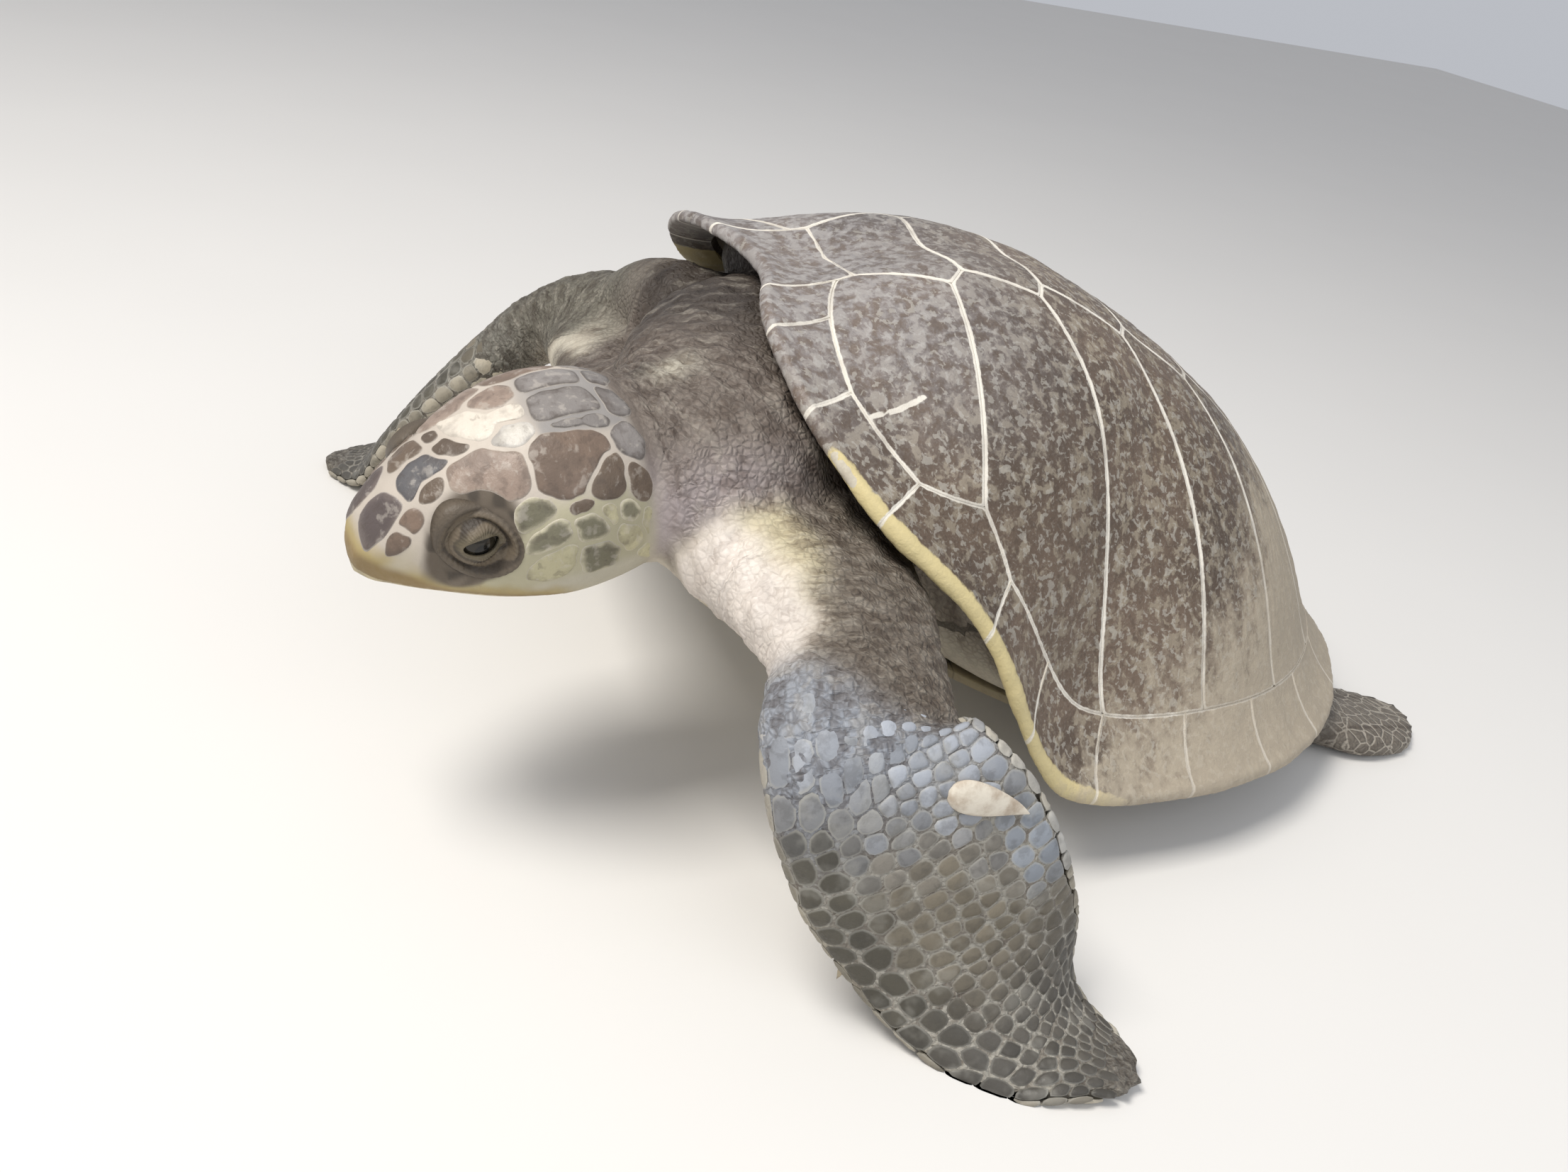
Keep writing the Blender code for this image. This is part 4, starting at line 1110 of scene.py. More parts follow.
REAR_KNOTS = (
    ((0.095, 0.170, 0.085), (1.0, -0.5, 0.0)), ((0.128, 0.232, 0.050), (1.0, -0.5, 0.0)),
    ((0.150, 0.290, 0.027), (1.0, -0.3, 0.0)), ((0.158, 0.345, 0.013), (1.0, 0.0, 0.0)),
    ((0.152, 0.395, 0.007), (1.0, 0.2, 0.0)), ((0.138, 0.438, 0.004), (1.0, 0.3, 0.0)))
REAR_HALF_WIDTHS = (0.045, 0.044, 0.042, 0.050, 0.050, 0.020)
REAR_HALF_DEPTHS = (0.030, 0.026, 0.020, 0.015, 0.010, 0.005)
TAIL_KNOTS = (
    ((0.0, 0.185, 0.075), (1.0, 0.0, 0.0)), ((0.0, 0.240, 0.052), (1.0, 0.0, 0.0)),
    ((0.0, 0.290, 0.021), (1.0, 0.0, 0.0)), ((0.0, 0.330, 0.007), (1.0, 0.0, 0.0)))
TAIL_HALF_WIDTHS = (0.036, 0.030, 0.021, 0.010)
TAIL_HALF_DEPTHS = (0.030, 0.026, 0.018, 0.009)


# ---------------------------------------------------------------- skin

class Hue(Enum):
    """Colours laid on the hide, from the trunk forwards, over the head, and on the scales."""

    HIDE = (0.165, 0.142, 0.115)
    BELLY = (0.56, 0.51, 0.41)
    NECK = (0.168, 0.138, 0.115)
    NECK_SHADE = (0.060, 0.048, 0.039)
    LILAC = (0.40, 0.34, 0.335)
    STREAK = (0.56, 0.52, 0.42)
    NECK_DARK_SPOT = (0.06, 0.055, 0.045)
    ARM_LEFT = (0.165, 0.137, 0.108)
    ARM_RIGHT = (0.150, 0.138, 0.108)
    THROAT = (0.58, 0.52, 0.42)
    SHOULDER = (0.52, 0.455, 0.300)
    CREAM = (0.72, 0.65, 0.585)
    ELBOW_LEFT = (0.27, 0.285, 0.315)
    ELBOW_RIGHT = (0.19, 0.18, 0.15)
    SCALE_BED = (0.34, 0.32, 0.275)
    UNDERSIDE = (0.42, 0.38, 0.30)
    TIP = (0.150, 0.136, 0.115)
    CROWN = (0.50, 0.44, 0.375)
    NAPE = (0.29, 0.27, 0.255)
    CHEEK = (0.47, 0.43, 0.295)
    JOWL = (0.50, 0.46, 0.36)
    BEAK = (0.40, 0.315, 0.145)
    BEAK_EDGE = (0.27, 0.19, 0.085)
    SNOUT = (0.50, 0.44, 0.33)
    LIDS = (0.118, 0.094, 0.070)
    LID_SHADE = (0.060, 0.048, 0.036)
    LID_LIGHT = (0.175, 0.142, 0.108)
    # Painted shade of the nostrils' openings.
    NOSTRIL_SHADE = (0.02, 0.016, 0.014)
    SCALE = (0.165, 0.142, 0.105)
    SCALE_ELBOW = (0.300, 0.315, 0.345)
    SCALE_BAND = (0.25, 0.27, 0.30)
    SCALE_FRONT = (0.075, 0.068, 0.052)
    SCALE_END = (0.070, 0.064, 0.056)
    SCALE_UNDER = (0.46, 0.41, 0.32)


def lay_colour(tones: Array, hue: Hue, mask: Array) -> None:
    """Mix a colour into an array of colours, in place, by a mask."""
    tones += (np.array(hue.value) - tones) * mask[:, None]


def spot(u: Array, v: Array, middle: tuple[float, float], size: tuple[float, float]) -> Array:
    """1 at a place, falling off round it: e to minus the squared distance in the given sizes."""
    return np.exp(-((u - middle[0]) / size[0]) ** 2 - ((v - middle[1]) / size[1]) ** 2)


@dataclass
class Skin:
    """One hide over head, neck, limbs, tail and trunk, remeshed so that no seam shows."""

    place: Place
    dome: Dome
    head: HeadForm
    voxel: float = 0.0073
    belly: float = -0.082
    belly_curve: float = 1.25
    belly_bend: float = 0.08
    neck_root: tuple[tuple[float, float, float], ...] = (
        (-0.006, -0.110, 0.020), (0.012, -0.205, 0.012))
    neck_nape: tuple[float, float] = (0.055, 0.004)
    neck_half_widths: tuple[float, ...] = (0.135, 0.116, 0.084, 0.058)
    neck_half_depths: tuple[float, ...] = (0.078, 0.074, 0.060, 0.046)
    yoke: tuple[tuple[float, float, float], ...] = (
        (-0.030, -0.190, 0.005), (-0.095, -0.250, 0.000),
        (-0.150, -0.268, -0.012), (-0.205, -0.270, -0.040))
    yoke_half_widths: tuple[float, ...] = (0.050, 0.046, 0.036, 0.030)
    yoke_half_depths: tuple[float, ...] = (0.045, 0.042, 0.036, 0.028)
    web_ends: tuple[float, float] = (0.76, 0.34)
    web_sag: tuple[float, float, float] = (0.0, 0.0, -0.006)
    web_half_widths: tuple[float, ...] = (0.052, 0.044, 0.036)
    web_half_depths: tuple[float, ...] = (0.034, 0.026, 0.026)
    floor_clearance: float = 0.0003
    # Depth of the eye sockets, and how far inside the lids' edge they reach it.
    socket_depth: float = 0.009
    socket_edge: float = 0.006
    # Middle along and across the head, and half lengths, of the dusky patch round each eye.
    eye_patch: tuple[float, float, float, float] = (0.1250, 0.0610, 0.0275, 0.0330)
    # Middle along and across the head, and half lengths, of each nostril: a near-black spot of
    # painted shade, as the opening is not carved.
    nostril: tuple[float, float, float, float] = (0.168, 0.0125, 0.0050, 0.0034)
    # How far the skin is drawn in behind the lower jaw, over which height below the mouth's
    # line and which share past its corner it gets there, and how much of it is upward.
    jaw_depth: float = 0.005
    jaw_ease: tuple[float, float] = (0.0015, 0.03)
    jaw_lift: float = 0.8
    # Half the width that a drawn-in place is taken to have.
    jaw_half_width: float = 0.03
    # Rounds that blur the masks and colours of the body from region to region.
    softening: int = 14
    # Rounds that smooth the hide: as remeshed, refined once, refined twice, and drawn in.
    smoothing: tuple[int, int, int, int] = (6, 3, 2, 1)
    # The trunk: columns, gap inside the marginals, reach at the nape, shares of its roof's
    # and its belly's rings, height of its edge, and reach of the flat belly.
    trunk_columns: int = 144
    trunk_inset: float = 0.008
    nape_reach: float = 0.785
    roof_shares: tuple[float, ...] = (0.25, 0.5, 0.7, 0.86, 1.0)
    belly_shares: tuple[float, ...] = (0.92, 0.85, 0.76, 0.67, 0.58, 0.5, 0.3, 0.12)
    edge_height: float = 0.010
    flat_reach: float = 0.558
    roof_gap: float = 0.0072
    tail_swell: float = 0.00798
    # How far from its path the hide still belongs to the neck or to a front limb, and how
    # long each is.
    neck_reach: float = 0.16
    limb_reach: float = 0.115
    neck_length: float = 0.30
    limb_length: float = 0.52
    # Distance from one fold to the next, height of the folds and of the swells between them.
    neck_fold: tuple[float, float, float] = (0.013, 0.0021, 0.0013)
    limb_fold: tuple[float, float, float] = (0.014, 0.0013, 0.0008)

    def front_limb(self, side: str) -> LimbForm:
        """The form of one front limb."""
        return LimbForm(FRONT_KNOTS[side], FRONT_HALF_WIDTHS, FRONT_HALF_DEPTHS,
                        shift=self.place.shift)

    def rear_limb(self, sign: float) -> LimbForm:
        """The form of one rear limb."""
        return LimbForm(REAR_KNOTS, REAR_HALF_WIDTHS, REAR_HALF_DEPTHS,
                        shift=self.place.shift, mirror=sign)

    def neck(self) -> LimbForm:
        """The form of the neck, with its knots brought into the scene.

        Returns:
            The neck's form.
        """
        forward, left, up = self.head.axes()
        back = self.head.body_point(0.0, 0.0, 0.0)
        knots = [(self.neck_root[0], (1.0, 0.0, 0.0)), (self.neck_root[1], (1.0, 0.15, 0.0)),
                 (back - forward * self.neck_nape[0] + up * self.neck_nape[1], left),
                 (back + forward * 0.03, left)]
        world = self.place.world
        turned = tuple((tuple(world(p)), tuple(world(c) - world([0, 0, 0]))) for p, c in knots)
        return LimbForm(turned, self.neck_half_widths, self.neck_half_depths, lead=0.0)

    def trunk(self) -> Surface:
        """The body inside the shell: the dome set in along its normals, an edge, and the belly.

        Returns:
            One closed surface.
        """
        seams = self.dome.seam_angles()
        t = np.linspace(-math.pi, math.pi, self.trunk_columns, endpoint=False)
        reach = self.dome.inner(t) - self.trunk_inset
        reach = np.where(np.abs(t) < seams[0] + 0.01, self.nape_reach, reach)
        clearance = self.roof_gap + self.tail_swell * bump(t, math.pi, 0.5)
        rings = []
        for share in self.roof_shares:
            plan = self.dome.at(t, reach * share)[:, :2]
            rings.append(self.dome.over(plan) - self.dome.normal(plan) * clearance[:, None])
        edge = rings[-1].copy()
        edge[:, 2] -= self.edge_height
        rings.append(edge)
        for share in self.belly_shares:
            ring = edge.copy()
            ring[:, :2] = edge[:, :2] * share
            rise = ease(0.0, 1.0, (share * reach - self.flat_reach) / (reach - self.flat_reach))
            bend = np.maximum(ring[:, 1] - self.belly_bend, 0)
            under = self.belly + self.belly_curve * bend ** 2
            ring[:, 2] = under + (edge[:, 2] - under) * rise
            rings.append(ring)
        ends = self.place.world([[0, 0, self.dome.height - self.roof_gap], [0, 0, self.belly]])
        return tube(self.place.world(np.array(rings)), (ends[0], ends[1]))

    def head_loft(self) -> Surface:
        """The head as a closed tube of its cross-sections.

        Returns:
            One closed surface.
        """
        share = np.concatenate([np.linspace(0, 0.9, 37), [0.93, 0.955, 0.975, 0.99, 1.0]])
        rings = self.head.section(*np.meshgrid(share, circle(72), indexing="ij"))
        tip = self.head.point(self.head.beak_tip[0], 0.0, self.head.beak_tip[1])
        return tube(rings, (rings[0].mean(0), tip))

    def web(self) -> LimbForm:
        """The fold of skin drawn between the neck and the right shoulder by the turned head.

        Returns:
            The fold's form.
        """
        start = self.neck().frame_at(np.array([self.web_ends[0]]))[0][0]
        end = self.front_limb("right").frame_at(np.array([self.web_ends[1]]))[0][0]
        middle = (start + end) / 2 + np.array(self.web_sag)
        behind, before = self.neck().frame_at(np.array([0.5, 0.7]))[0]
        knots = tuple((tuple(point), tuple(before - behind)) for point in (start, middle, end))
        return LimbForm(knots, self.web_half_widths, self.web_half_depths, 0.0)

    def lofts(self) -> list[Surface]:
        """Every overlapping form that the hide is drawn over.

        Returns:
            The closed forms, which overlap.
        """
        forms = [self.trunk(), self.head_loft(), self.neck().loft(0.0, 40, 64, 0.002)]
        for side, sign in SIDES:
            forms.append(self.front_limb(side).loft(0.0, 90, 56, 0.006))
            forms.append(self.rear_limb(sign).loft(0.0, 50, 40, 0.004))
        knots = tuple((tuple(self.place.world(p)), (0.0, -1.0, 0.0)) for p in self.yoke)
        yoke = LimbForm(knots, self.yoke_half_widths, self.yoke_half_depths, 0.0)
        forms.append(yoke.loft(0.0, 40, 40, 0.012))
        forms.append(self.web().loft(0.0, 30, 40, 0.004))
        tail = LimbForm(TAIL_KNOTS, TAIL_HALF_WIDTHS, TAIL_HALF_DEPTHS, 0.0, self.place.shift)
        forms.append(tail.loft(0.0, 30, 32, 0.008))
        return forms

    def shrink_to(self, points: Array, quads: Array, tris: Array,
                  target: bpy.types.Object) -> Array:
        """Nearest points of a target surface, found by a shrinkwrap that is applied at once.

        Args:
            points: Points to move.
            quads: Their four-sided faces.
            tris: Their three-sided faces.
            target: The surface.

        Returns:
            The moved points.
        """
        probe = Surface(points, quads, tris).to_object("probe")
        wrap = probe.modifiers.new("wrap", "SHRINKWRAP")
        wrap.target = target
        wrap.wrap_method = "NEAREST_SURFACEPOINT"
        moved = evaluated_points(probe)
        bpy.data.objects.remove(probe, do_unlink=True)
        return moved

    def build(self, finish: bpy.types.Material, nodes: tuple[str, ...]) -> None:
        """Unite the lofts by a voxel remesh, refine what is seen, and carve folds and sockets.

        Args:
            finish: The hide's material.
            nodes: The solids of flesh that it replaces.
        """
        lofts = self.lofts()
        union = gather(lofts).to_object("union")
        target = gather(lofts).to_object("target")
        remesh = union.modifiers.new("remesh", "REMESH")
        remesh.mode = "VOXEL"
        remesh.voxel_size = self.voxel
        remesh.use_smooth_shade = True
        graph = bpy.context.evaluated_depsgraph_get()
        mesh = bpy.data.meshes.new_from_object(union.evaluated_get(graph), depsgraph=graph)
        bpy.data.objects.remove(union, do_unlink=True)

        first, second, third, last = self.smoothing
        for rounds, part in ((first, self.seen), (second, lambda p: self.head_zone(p) > 0.02)):
            points = relax(mesh_points(mesh), mesh_edges(mesh), rounds)
            mesh.vertices.foreach_set("co", points.astype(np.float32).ravel())
            refine(mesh, part(points))
        points = relax(mesh_points(mesh), mesh_edges(mesh), third)

        quads, tris = mesh_faces(mesh)
        near = self.shrink_to(points, quads, tris, target)
        bpy.data.objects.remove(target, do_unlink=True)
        hold = self.form_zone(points)[:, None]
        points = points * (1 - hold) + near * hold
        points = relax(points, mesh_edges(mesh), last)
        normals = point_normals(points, quads, tris)
        points = points + normals * self.folds(points)[:, None]
        points = self.carve(points)
        points[:, 2] = np.maximum(points[:, 2], self.floor_clearance)
        edges = mesh_edges(mesh)
        down = -relax(normals, edges, self.softening)[:, 2]
        values = self.guides(points)
        names = ("scaly", "limb")
        soft = relax(np.stack([values[name] for name in names], -1), edges, self.softening)
        values.update(zip(names, soft.T))
        tones = relax(self.tones(points, down), edges, self.softening)
        values["tone"] = self.paint_head(points, tones)
        form = Surface(points, quads, tris, values)
        bpy.data.meshes.remove(mesh)
        keep(form.to_object("hide"), finish, "skin", *nodes)

    def seen(self, points: Array) -> Array:
        """Which points are on the neck, the shoulders or a front limb, and outside the shell.

        Args:
            points: Places on the hide.

        Returns:
            True or false for each.
        """
        body = self.place.body(points)
        ratio = self.dome.polar(body[:, :2])[1]
        roof = self.dome.over(body[:, :2])[:, 2]
        hidden = (ratio < 0.86) & ((roof - body[:, 2] < 0.03) | (body[:, 2] < self.belly + 0.02))
        front = body[:, 1] < -0.15
        for side, _ in SIDES:
            share, across, _, away = self.front_limb(side).local(points)
            front |= (share > 0.08) & (np.abs(across) < 1.4) & (away < self.limb_reach)
        return front & ~hidden

    def head_zone(self, points: Array) -> Array:
        """1 on the head, easing to 0 over the nape.

        Args:
            points: Places in the scene.

        Returns:
            A share for each.
        """
        share, left, up = self.head.local(points).T
        inside = (np.hypot(left, up) < 0.10) & (share < 1.2)
        return ease(-0.05, 0.12, share) * inside

    def form_zone(self, points: Array) -> Array:
        """1 where the hide follows its loft closely: on the head and the limbs' free parts.

        Args:
            points: Places on the hide.

        Returns:
            A share for each.
        """
        zone = self.head_zone(points) ** 2
        for side, sign in SIDES:
            for limb, start in ((self.front_limb(side), 0.34), (self.rear_limb(sign), 0.5)):
                share, across, depth, away = limb.local(points)
                near = (np.abs(across) < 1.25) & (np.abs(depth) < 1.8) & (away < 0.11)
                zone = np.maximum(zone, ease(start, start + 0.12, share) * near)
        return zone

    def folds(self, points: Array) -> Array:
        """Height of the wrinkles: bent sine ridges across the neck, shoulders and elbows.

        Args:
            points: Places on the hide.

        Returns:
            How far each is pushed out along its normal.
        """
        share, _, _, away = self.neck().local(points)
        body = 1 - self.head_zone(points)
        on_neck = ease(0.12, 0.35, share) * (away < self.neck_reach) * body
        phase = share * self.neck_length + 0.004 * ripple(points, 0.05, 11)
        step, fold, swell = self.neck_fold
        rings = np.abs(np.sin(math.pi * phase / step)) ** 0.8 - 0.6
        height = (fold * rings + swell * ripple(points, 0.020, 12, 9)) * on_neck
        step, fold, swell = self.limb_fold
        for side, _ in SIDES:
            share, _, _, away = self.front_limb(side).local(points)
            near = (away < 0.12) * body * (1 - 0.8 * on_neck)
            joint = ease(0.16, 0.26, share) * (1 - ease(0.44, 0.60, share)) * near
            phase = share * self.limb_length + 0.006 * ripple(points, 0.06, 13)
            creases = np.abs(np.sin(math.pi * phase / step)) ** 0.7 - 0.65
            height += joint * (fold * creases + swell * ripple(points, 0.016, 14, 9))
        return height

    def carve(self, points: Array) -> Array:
        """Sink the eye sockets, and draw the skin in behind the lower jaw.

        Args:
            points: Places on the hide.

        Returns:
            The places, moved where they lie in a socket or under the mouth's line.
        """
        share, left, up = self.head.local(points).T
        eye = Eyes(self.head)
        away = np.hypot((share - eye.share) * self.head.length, up - eye.up)
        floor = eye.lid_reach - self.socket_edge
        pit = self.socket_depth * (1 - ease(floor, eye.lid_reach, away))
        pit *= (np.abs(left) > 0.02) * (share < 1.05) * (share > 0.3)
        jaw = Jaw(self.head)
        below = jaw.line(share) - up
        inside = self.jaw_depth * ease(0.0, self.jaw_ease[0], below)
        inside *= ease(jaw.corner[0], jaw.corner[0] + self.jaw_ease[1], share)
        inside *= (share < 1.05) * (np.abs(left) < 0.09) * (np.abs(up) < 0.09)
        left = left - np.sign(left) * np.minimum(pit, np.abs(left))
        left = left * (1 - np.minimum(inside / self.jaw_half_width, 0.9))
        up = up + inside * self.jaw_lift
        return np.where((np.hypot(left, up) < 0.11)[:, None] & (share > 0.25)[:, None],
                        self.head.point(share, left, up), points)

    def guides(self, points: Array) -> dict[str, Array]:
        """Values that steer the hide's pattern.

        Args:
            points: Places on the hide.

        Returns:
            How scaly each is, how far it is on the head and on a front limb, and its lengths
            along and across the neck and the limb, for the wrinkles.
        """
        head = self.head_zone(points)
        scaly = np.zeros(len(points))
        for _, sign in SIDES:
            share, _, _, away = self.rear_limb(sign).local(points)
            scaly = np.maximum(scaly, ease(0.4, 0.6, share) * (away < 0.07))
        share, across, _, _ = self.neck().local(points)
        neck_flow = np.stack([share * self.neck_length + across * 0.012,
                              across * 0.085, 0 * share], -1)
        limb, flows = np.zeros(len(points)), []
        for side, _ in SIDES:
            share, across, depth, away = self.front_limb(side).local(points)
            on = (away < self.limb_reach) * ease(0.13, 0.20, share)
            limb = np.maximum(limb, on)
            flows.append(np.stack([share * self.limb_length, across * 0.07, depth * 0.03], -1))
        limb_flow = np.where((on > 0)[:, None], flows[1], flows[0])
        return {"scaly": scaly * (1 - head), "facial": head, "limb": limb,
                "neck_flow": neck_flow, "limb_flow": limb_flow}

    def tones(self, points: Array, down: Array) -> Array:
        """Colour of each place of the body, neck and limbs, mixed from region to region.

        Args:
            points: Places on the hide.
            down: How far the hide faces down there, from -1 to 1.

        Returns:
            A colour for each.
        """
        tones = np.tile(np.array(Hue.HIDE.value), (len(points), 1))
        lay = functools.partial(lay_colour, tones)
        body = self.place.body(points)
        facial = self.head_zone(points) * ease(0.07, 0.13, self.head.local(points)[:, 0])
        lay(Hue.BELLY, ease(-0.03, -0.07, body[:, 2]) * (body[:, 1] > -0.33))
        share, across, depth, away = self.neck().local(points)
        near = (away < self.neck_reach) * (1 - facial)
        lay(Hue.NECK, near * ease(0.10, 0.25, share))
        lay(Hue.NECK_SHADE, near * (1 - ease(0.44, 0.70, share)) * ease(-0.4, 0.1, depth))
        band = np.exp(-((across - 0.98) / 0.30) ** 2) * ease(0.62, 0.78, share)
        band = band * ease(-0.5, 0.1, depth)
        lay(Hue.LILAC, near * band)
        above = ease(0.4, 0.7, depth)
        streak = spot(share, across, (0.735, -0.30), (0.060, 0.11)) * above
        lay(Hue.STREAK, near * np.clip(1.5 * streak - 0.2, 0, 1))
        # A darker spot on the top of the neck's right side, near the head.
        blob = spot(share, across, (0.80, -0.50), (0.03, 0.12)) * above
        lay(Hue.NECK_DARK_SPOT, near * np.clip(1.4 * blob - 0.2, 0, 1))
        out = np.hypot(across, np.maximum(depth, 0))
        on_neck = near * ease(0.40, 0.52, share) * (1 - ease(0.98, 1.16, out))
        uneven = ripple(points, 0.03, 21)
        reach = {}
        for side, _ in SIDES:
            share, across, _, away = self.front_limb(side).local(points)
            on = (away < self.limb_reach) * ease(0.13, 0.17, share + 0.012 * uneven)
            on = on * (1 - facial) * (1 - on_neck)
            reach[side] = share, across, on
            lay(Hue[f"ARM_{side.upper()}"], on)
        throat = ease(-0.12, -0.18, body[:, 1]) * (1 - facial)
        for share, _, on in reach.values():
            throat = throat * (1 - on * ease(0.42, 0.47, share))
        lay(Hue.THROAT, throat * ease(0.30, 0.85, down + 0.12 * uneven))
        share, across, on = reach["left"]
        border = np.interp(share, [0.13, 0.17, 0.30, 0.43, 0.50], [0.2, 0.22, 0.46, 0.74, 1.1])
        patch = on * ease(-0.10, 0.10, across - border + 0.10 * uneven)
        patch = patch * (1 - ease(0.42, 0.46, share))
        lay(Hue.SHOULDER, patch)
        lay(Hue.CREAM, patch * ease(0.56, 0.80, across + 0.9 * (share - 0.26) + 0.06 * uneven))
        for side, (share, across, on) in reach.items():
            lay(Hue[f"ELBOW_{side.upper()}"], on * ease(0.41, 0.47, share - 0.05 * (0.5 - across)))
            lay(Hue.SCALE_BED, on * ease(0.50, 0.62, share))
            lay(Hue.UNDERSIDE, on * ease(0.46, 0.52, share) * ease(0.1, 0.5, down))
            lay(Hue.TIP, on * ease(0.90, 0.96, share) * (1 - ease(0.1, 0.5, down)))
        return tones

    def paint_head(self, points: Array, tones: Array) -> Array:
        """Lay the head's ground colours: pale crown, greenish cheeks, dusky eye patch, yellow jaw.

        Args:
            points: Places on the hide.
            tones: Colours that are there already.

        Returns:
            The colours with the head's laid over them.
        """
        tones = tones.copy()
        lay = functools.partial(lay_colour, tones)
        share, left, up = self.head.local(points).T
        facial = self.head_zone(points) * ease(0.07, 0.13, share)
        width, top, bottom = self.head.sizes(np.clip(share, 0, 1))
        turn = np.arctan2(up / np.where(up > 0, top, -bottom), np.abs(left) / width)
        across = (math.pi / 2 - turn) * (width + top) / 2
        along = share * self.head.length
        uneven = ripple(points, 0.016, 33)
        lay(Hue.CROWN, facial)
        rear = (1 - ease(0.060, 0.085, along + 0.006 * uneven)) * (1 - ease(0.026, 0.036, across))
        lay(Hue.NAPE, facial * rear)
        lay(Hue.CHEEK, facial * ease(0.058, 0.074, across + 0.004 * uneven))
        lay(Hue.JOWL, facial * ease(0.108, 0.125, across) * (share < 0.55))
        low = Jaw(self.head).line(share) - up
        ahead = ease(0.30, 0.48, share)
        bend = 0.012 * ease(0.74, 0.92, share)
        lay(Hue.BEAK, facial * ease(-0.017, -0.005, low + bend + 0.002 * uneven) * ahead)
        lay(Hue.BEAK_EDGE, facial * ease(-0.007, 0.0, low + bend) * ahead)
        snout = ease(0.80, 0.9, share) * ease(0.03, 0.045, across) * ease(-0.010, -0.02, low)
        lay(Hue.SNOUT, facial * snout)
        near_eye, near_nostril = (np.hypot((along - u) / long, (across - v) / wide)
                                  for u, v, long, wide in (self.eye_patch, self.nostril))
        patch = facial * (1 - ease(0.86, 1.10, near_eye + 0.08 * ripple(points, 0.030, 35)))
        lay(Hue.LIDS, patch)
        lay(Hue.LID_SHADE, patch * ease(0.1, 0.8, uneven))
        lay(Hue.LID_LIGHT, patch * ease(0.075, 0.085, across) * ease(-0.4, 0.4, uneven))
        # Painted shade: a near-black spot stands for each nostril's opening, which is not carved.
        lay(Hue.NOSTRIL_SHADE, facial * (1 - ease(0.7, 1.1, near_nostril)))
        return tones

    def under(self, side: str) -> float:
        """1 when a front limb's positive face is its upper one, -1 when it is the lower."""
        face = self.front_limb(side).frame_at(np.array([0.3]))[2]
        return math.copysign(1.0, face[0, 2])


def evaluated_points(thing: bpy.types.Object) -> Array:
    """Points of an object with its modifiers applied.

    Args:
        thing: The object.

    Returns:
        Points by 3.
    """
    graph = bpy.context.evaluated_depsgraph_get()
    graph.update()
    return mesh_points(thing.evaluated_get(graph).data)


def mesh_points(mesh: bpy.types.Mesh) -> Array:
    """Points of a mesh as an array.

    Args:
        mesh: The mesh.

    Returns:
        Points by 3.
    """
    points = np.empty(len(mesh.vertices) * 3, np.float32)
    mesh.vertices.foreach_get("co", points)
    return points.reshape(-1, 3).astype(float)


def mesh_edges(mesh: bpy.types.Mesh) -> Array:
    """Pairs of point numbers joined by an edge.

    Args:
        mesh: The mesh.

    Returns:
        Edges by 2.
    """
    edges = np.empty(len(mesh.edges) * 2, np.int32)
    mesh.edges.foreach_get("vertices", edges)
    return edges.reshape(-1, 2)


def mesh_faces(mesh: bpy.types.Mesh) -> tuple[Array, Array]:
    """Four-sided and three-sided faces of a mesh, larger ones cut into triangles first.

    Args:
        mesh: The mesh; its larger faces are cut in place.

    Returns:
        Point numbers of the four-sided faces, and of the three-sided.
    """
    shape = bmesh.new()
    shape.from_mesh(mesh)
    bmesh.ops.triangulate(shape, faces=[f for f in shape.faces if len(f.verts) > 4])
    shape.to_mesh(mesh)
    shape.free()
    corners = np.empty(len(mesh.loops), np.int32)
    mesh.loops.foreach_get("vertex_index", corners)
    starts, totals = (np.empty(len(mesh.polygons), np.int32) for _ in range(2))
    mesh.polygons.foreach_get("loop_start", starts)
    mesh.polygons.foreach_get("loop_total", totals)
    quads = corners[starts[totals == 4][:, None] + np.arange(4)]
    tris = corners[starts[totals == 3][:, None] + np.arange(3)]
    return quads, tris


def relax(points: Array, edges: Array, rounds: int, share: float = 0.5) -> Array:
    """Move every point a share of the way to the mean of its neighbours, several times.

    Args:
        points: Points, or colours, by any number of columns.
        edges: Pairs of neighbours.
        rounds: How many times.
        share: How far towards the mean each goes.

    Returns:
        The moved points.
    """
    count = np.bincount(edges.ravel(), minlength=len(points))[:, None]
    one, other = edges.T
    for _ in range(rounds):
        total = np.stack([np.bincount(one, column[other], len(column))
                          + np.bincount(other, column[one], len(column))
                          for column in points.T], -1)
        points = points + share * (total / count - points)
    return points


def refine(mesh: bpy.types.Mesh, mask: Array) -> None:
    """Halve the faces whose edges lie in the masked part of a mesh.

    Args:
        mesh: The mesh, changed in place.
        mask: Whether each point lies in the part.
    """
    edges = mesh_edges(mesh)
    chosen = mask[edges].all(1)
    mesh.edges.foreach_set("select", chosen)
    shape = bmesh.new()
    shape.from_mesh(mesh)
    picked = [e for e in shape.edges if e.select]
    bmesh.ops.subdivide_edges(shape, edges=picked, cuts=1, use_grid_fill=True)
    bmesh.ops.triangulate(shape, faces=[f for f in shape.faces if len(f.verts) > 4])
    shape.to_mesh(mesh)
    shape.free()


def point_normals(points: Array, quads: Array, tris: Array) -> Array:
    """Unit normals of points: the sum of the cross products of the faces round each.

    Args:
        points: Points of the mesh.
        quads: Its four-sided faces.
        tris: Its three-sided faces.

    Returns:
        A unit vector for each point.
    """
    halves = np.concatenate([tris, quads[:, [0, 1, 2]], quads[:, [0, 2, 3]]])
    a, b, c = (points[halves[:, k]] for k in range(3))
    face = np.cross(b - a, c - a)
    total = np.stack([sum(np.bincount(halves[:, k], face[:, axis], len(points)) for k in range(3))
                      for axis in range(3)], -1)
    return unit(total)


# ---------------------------------------------------------------- eyes, jaw and head shields

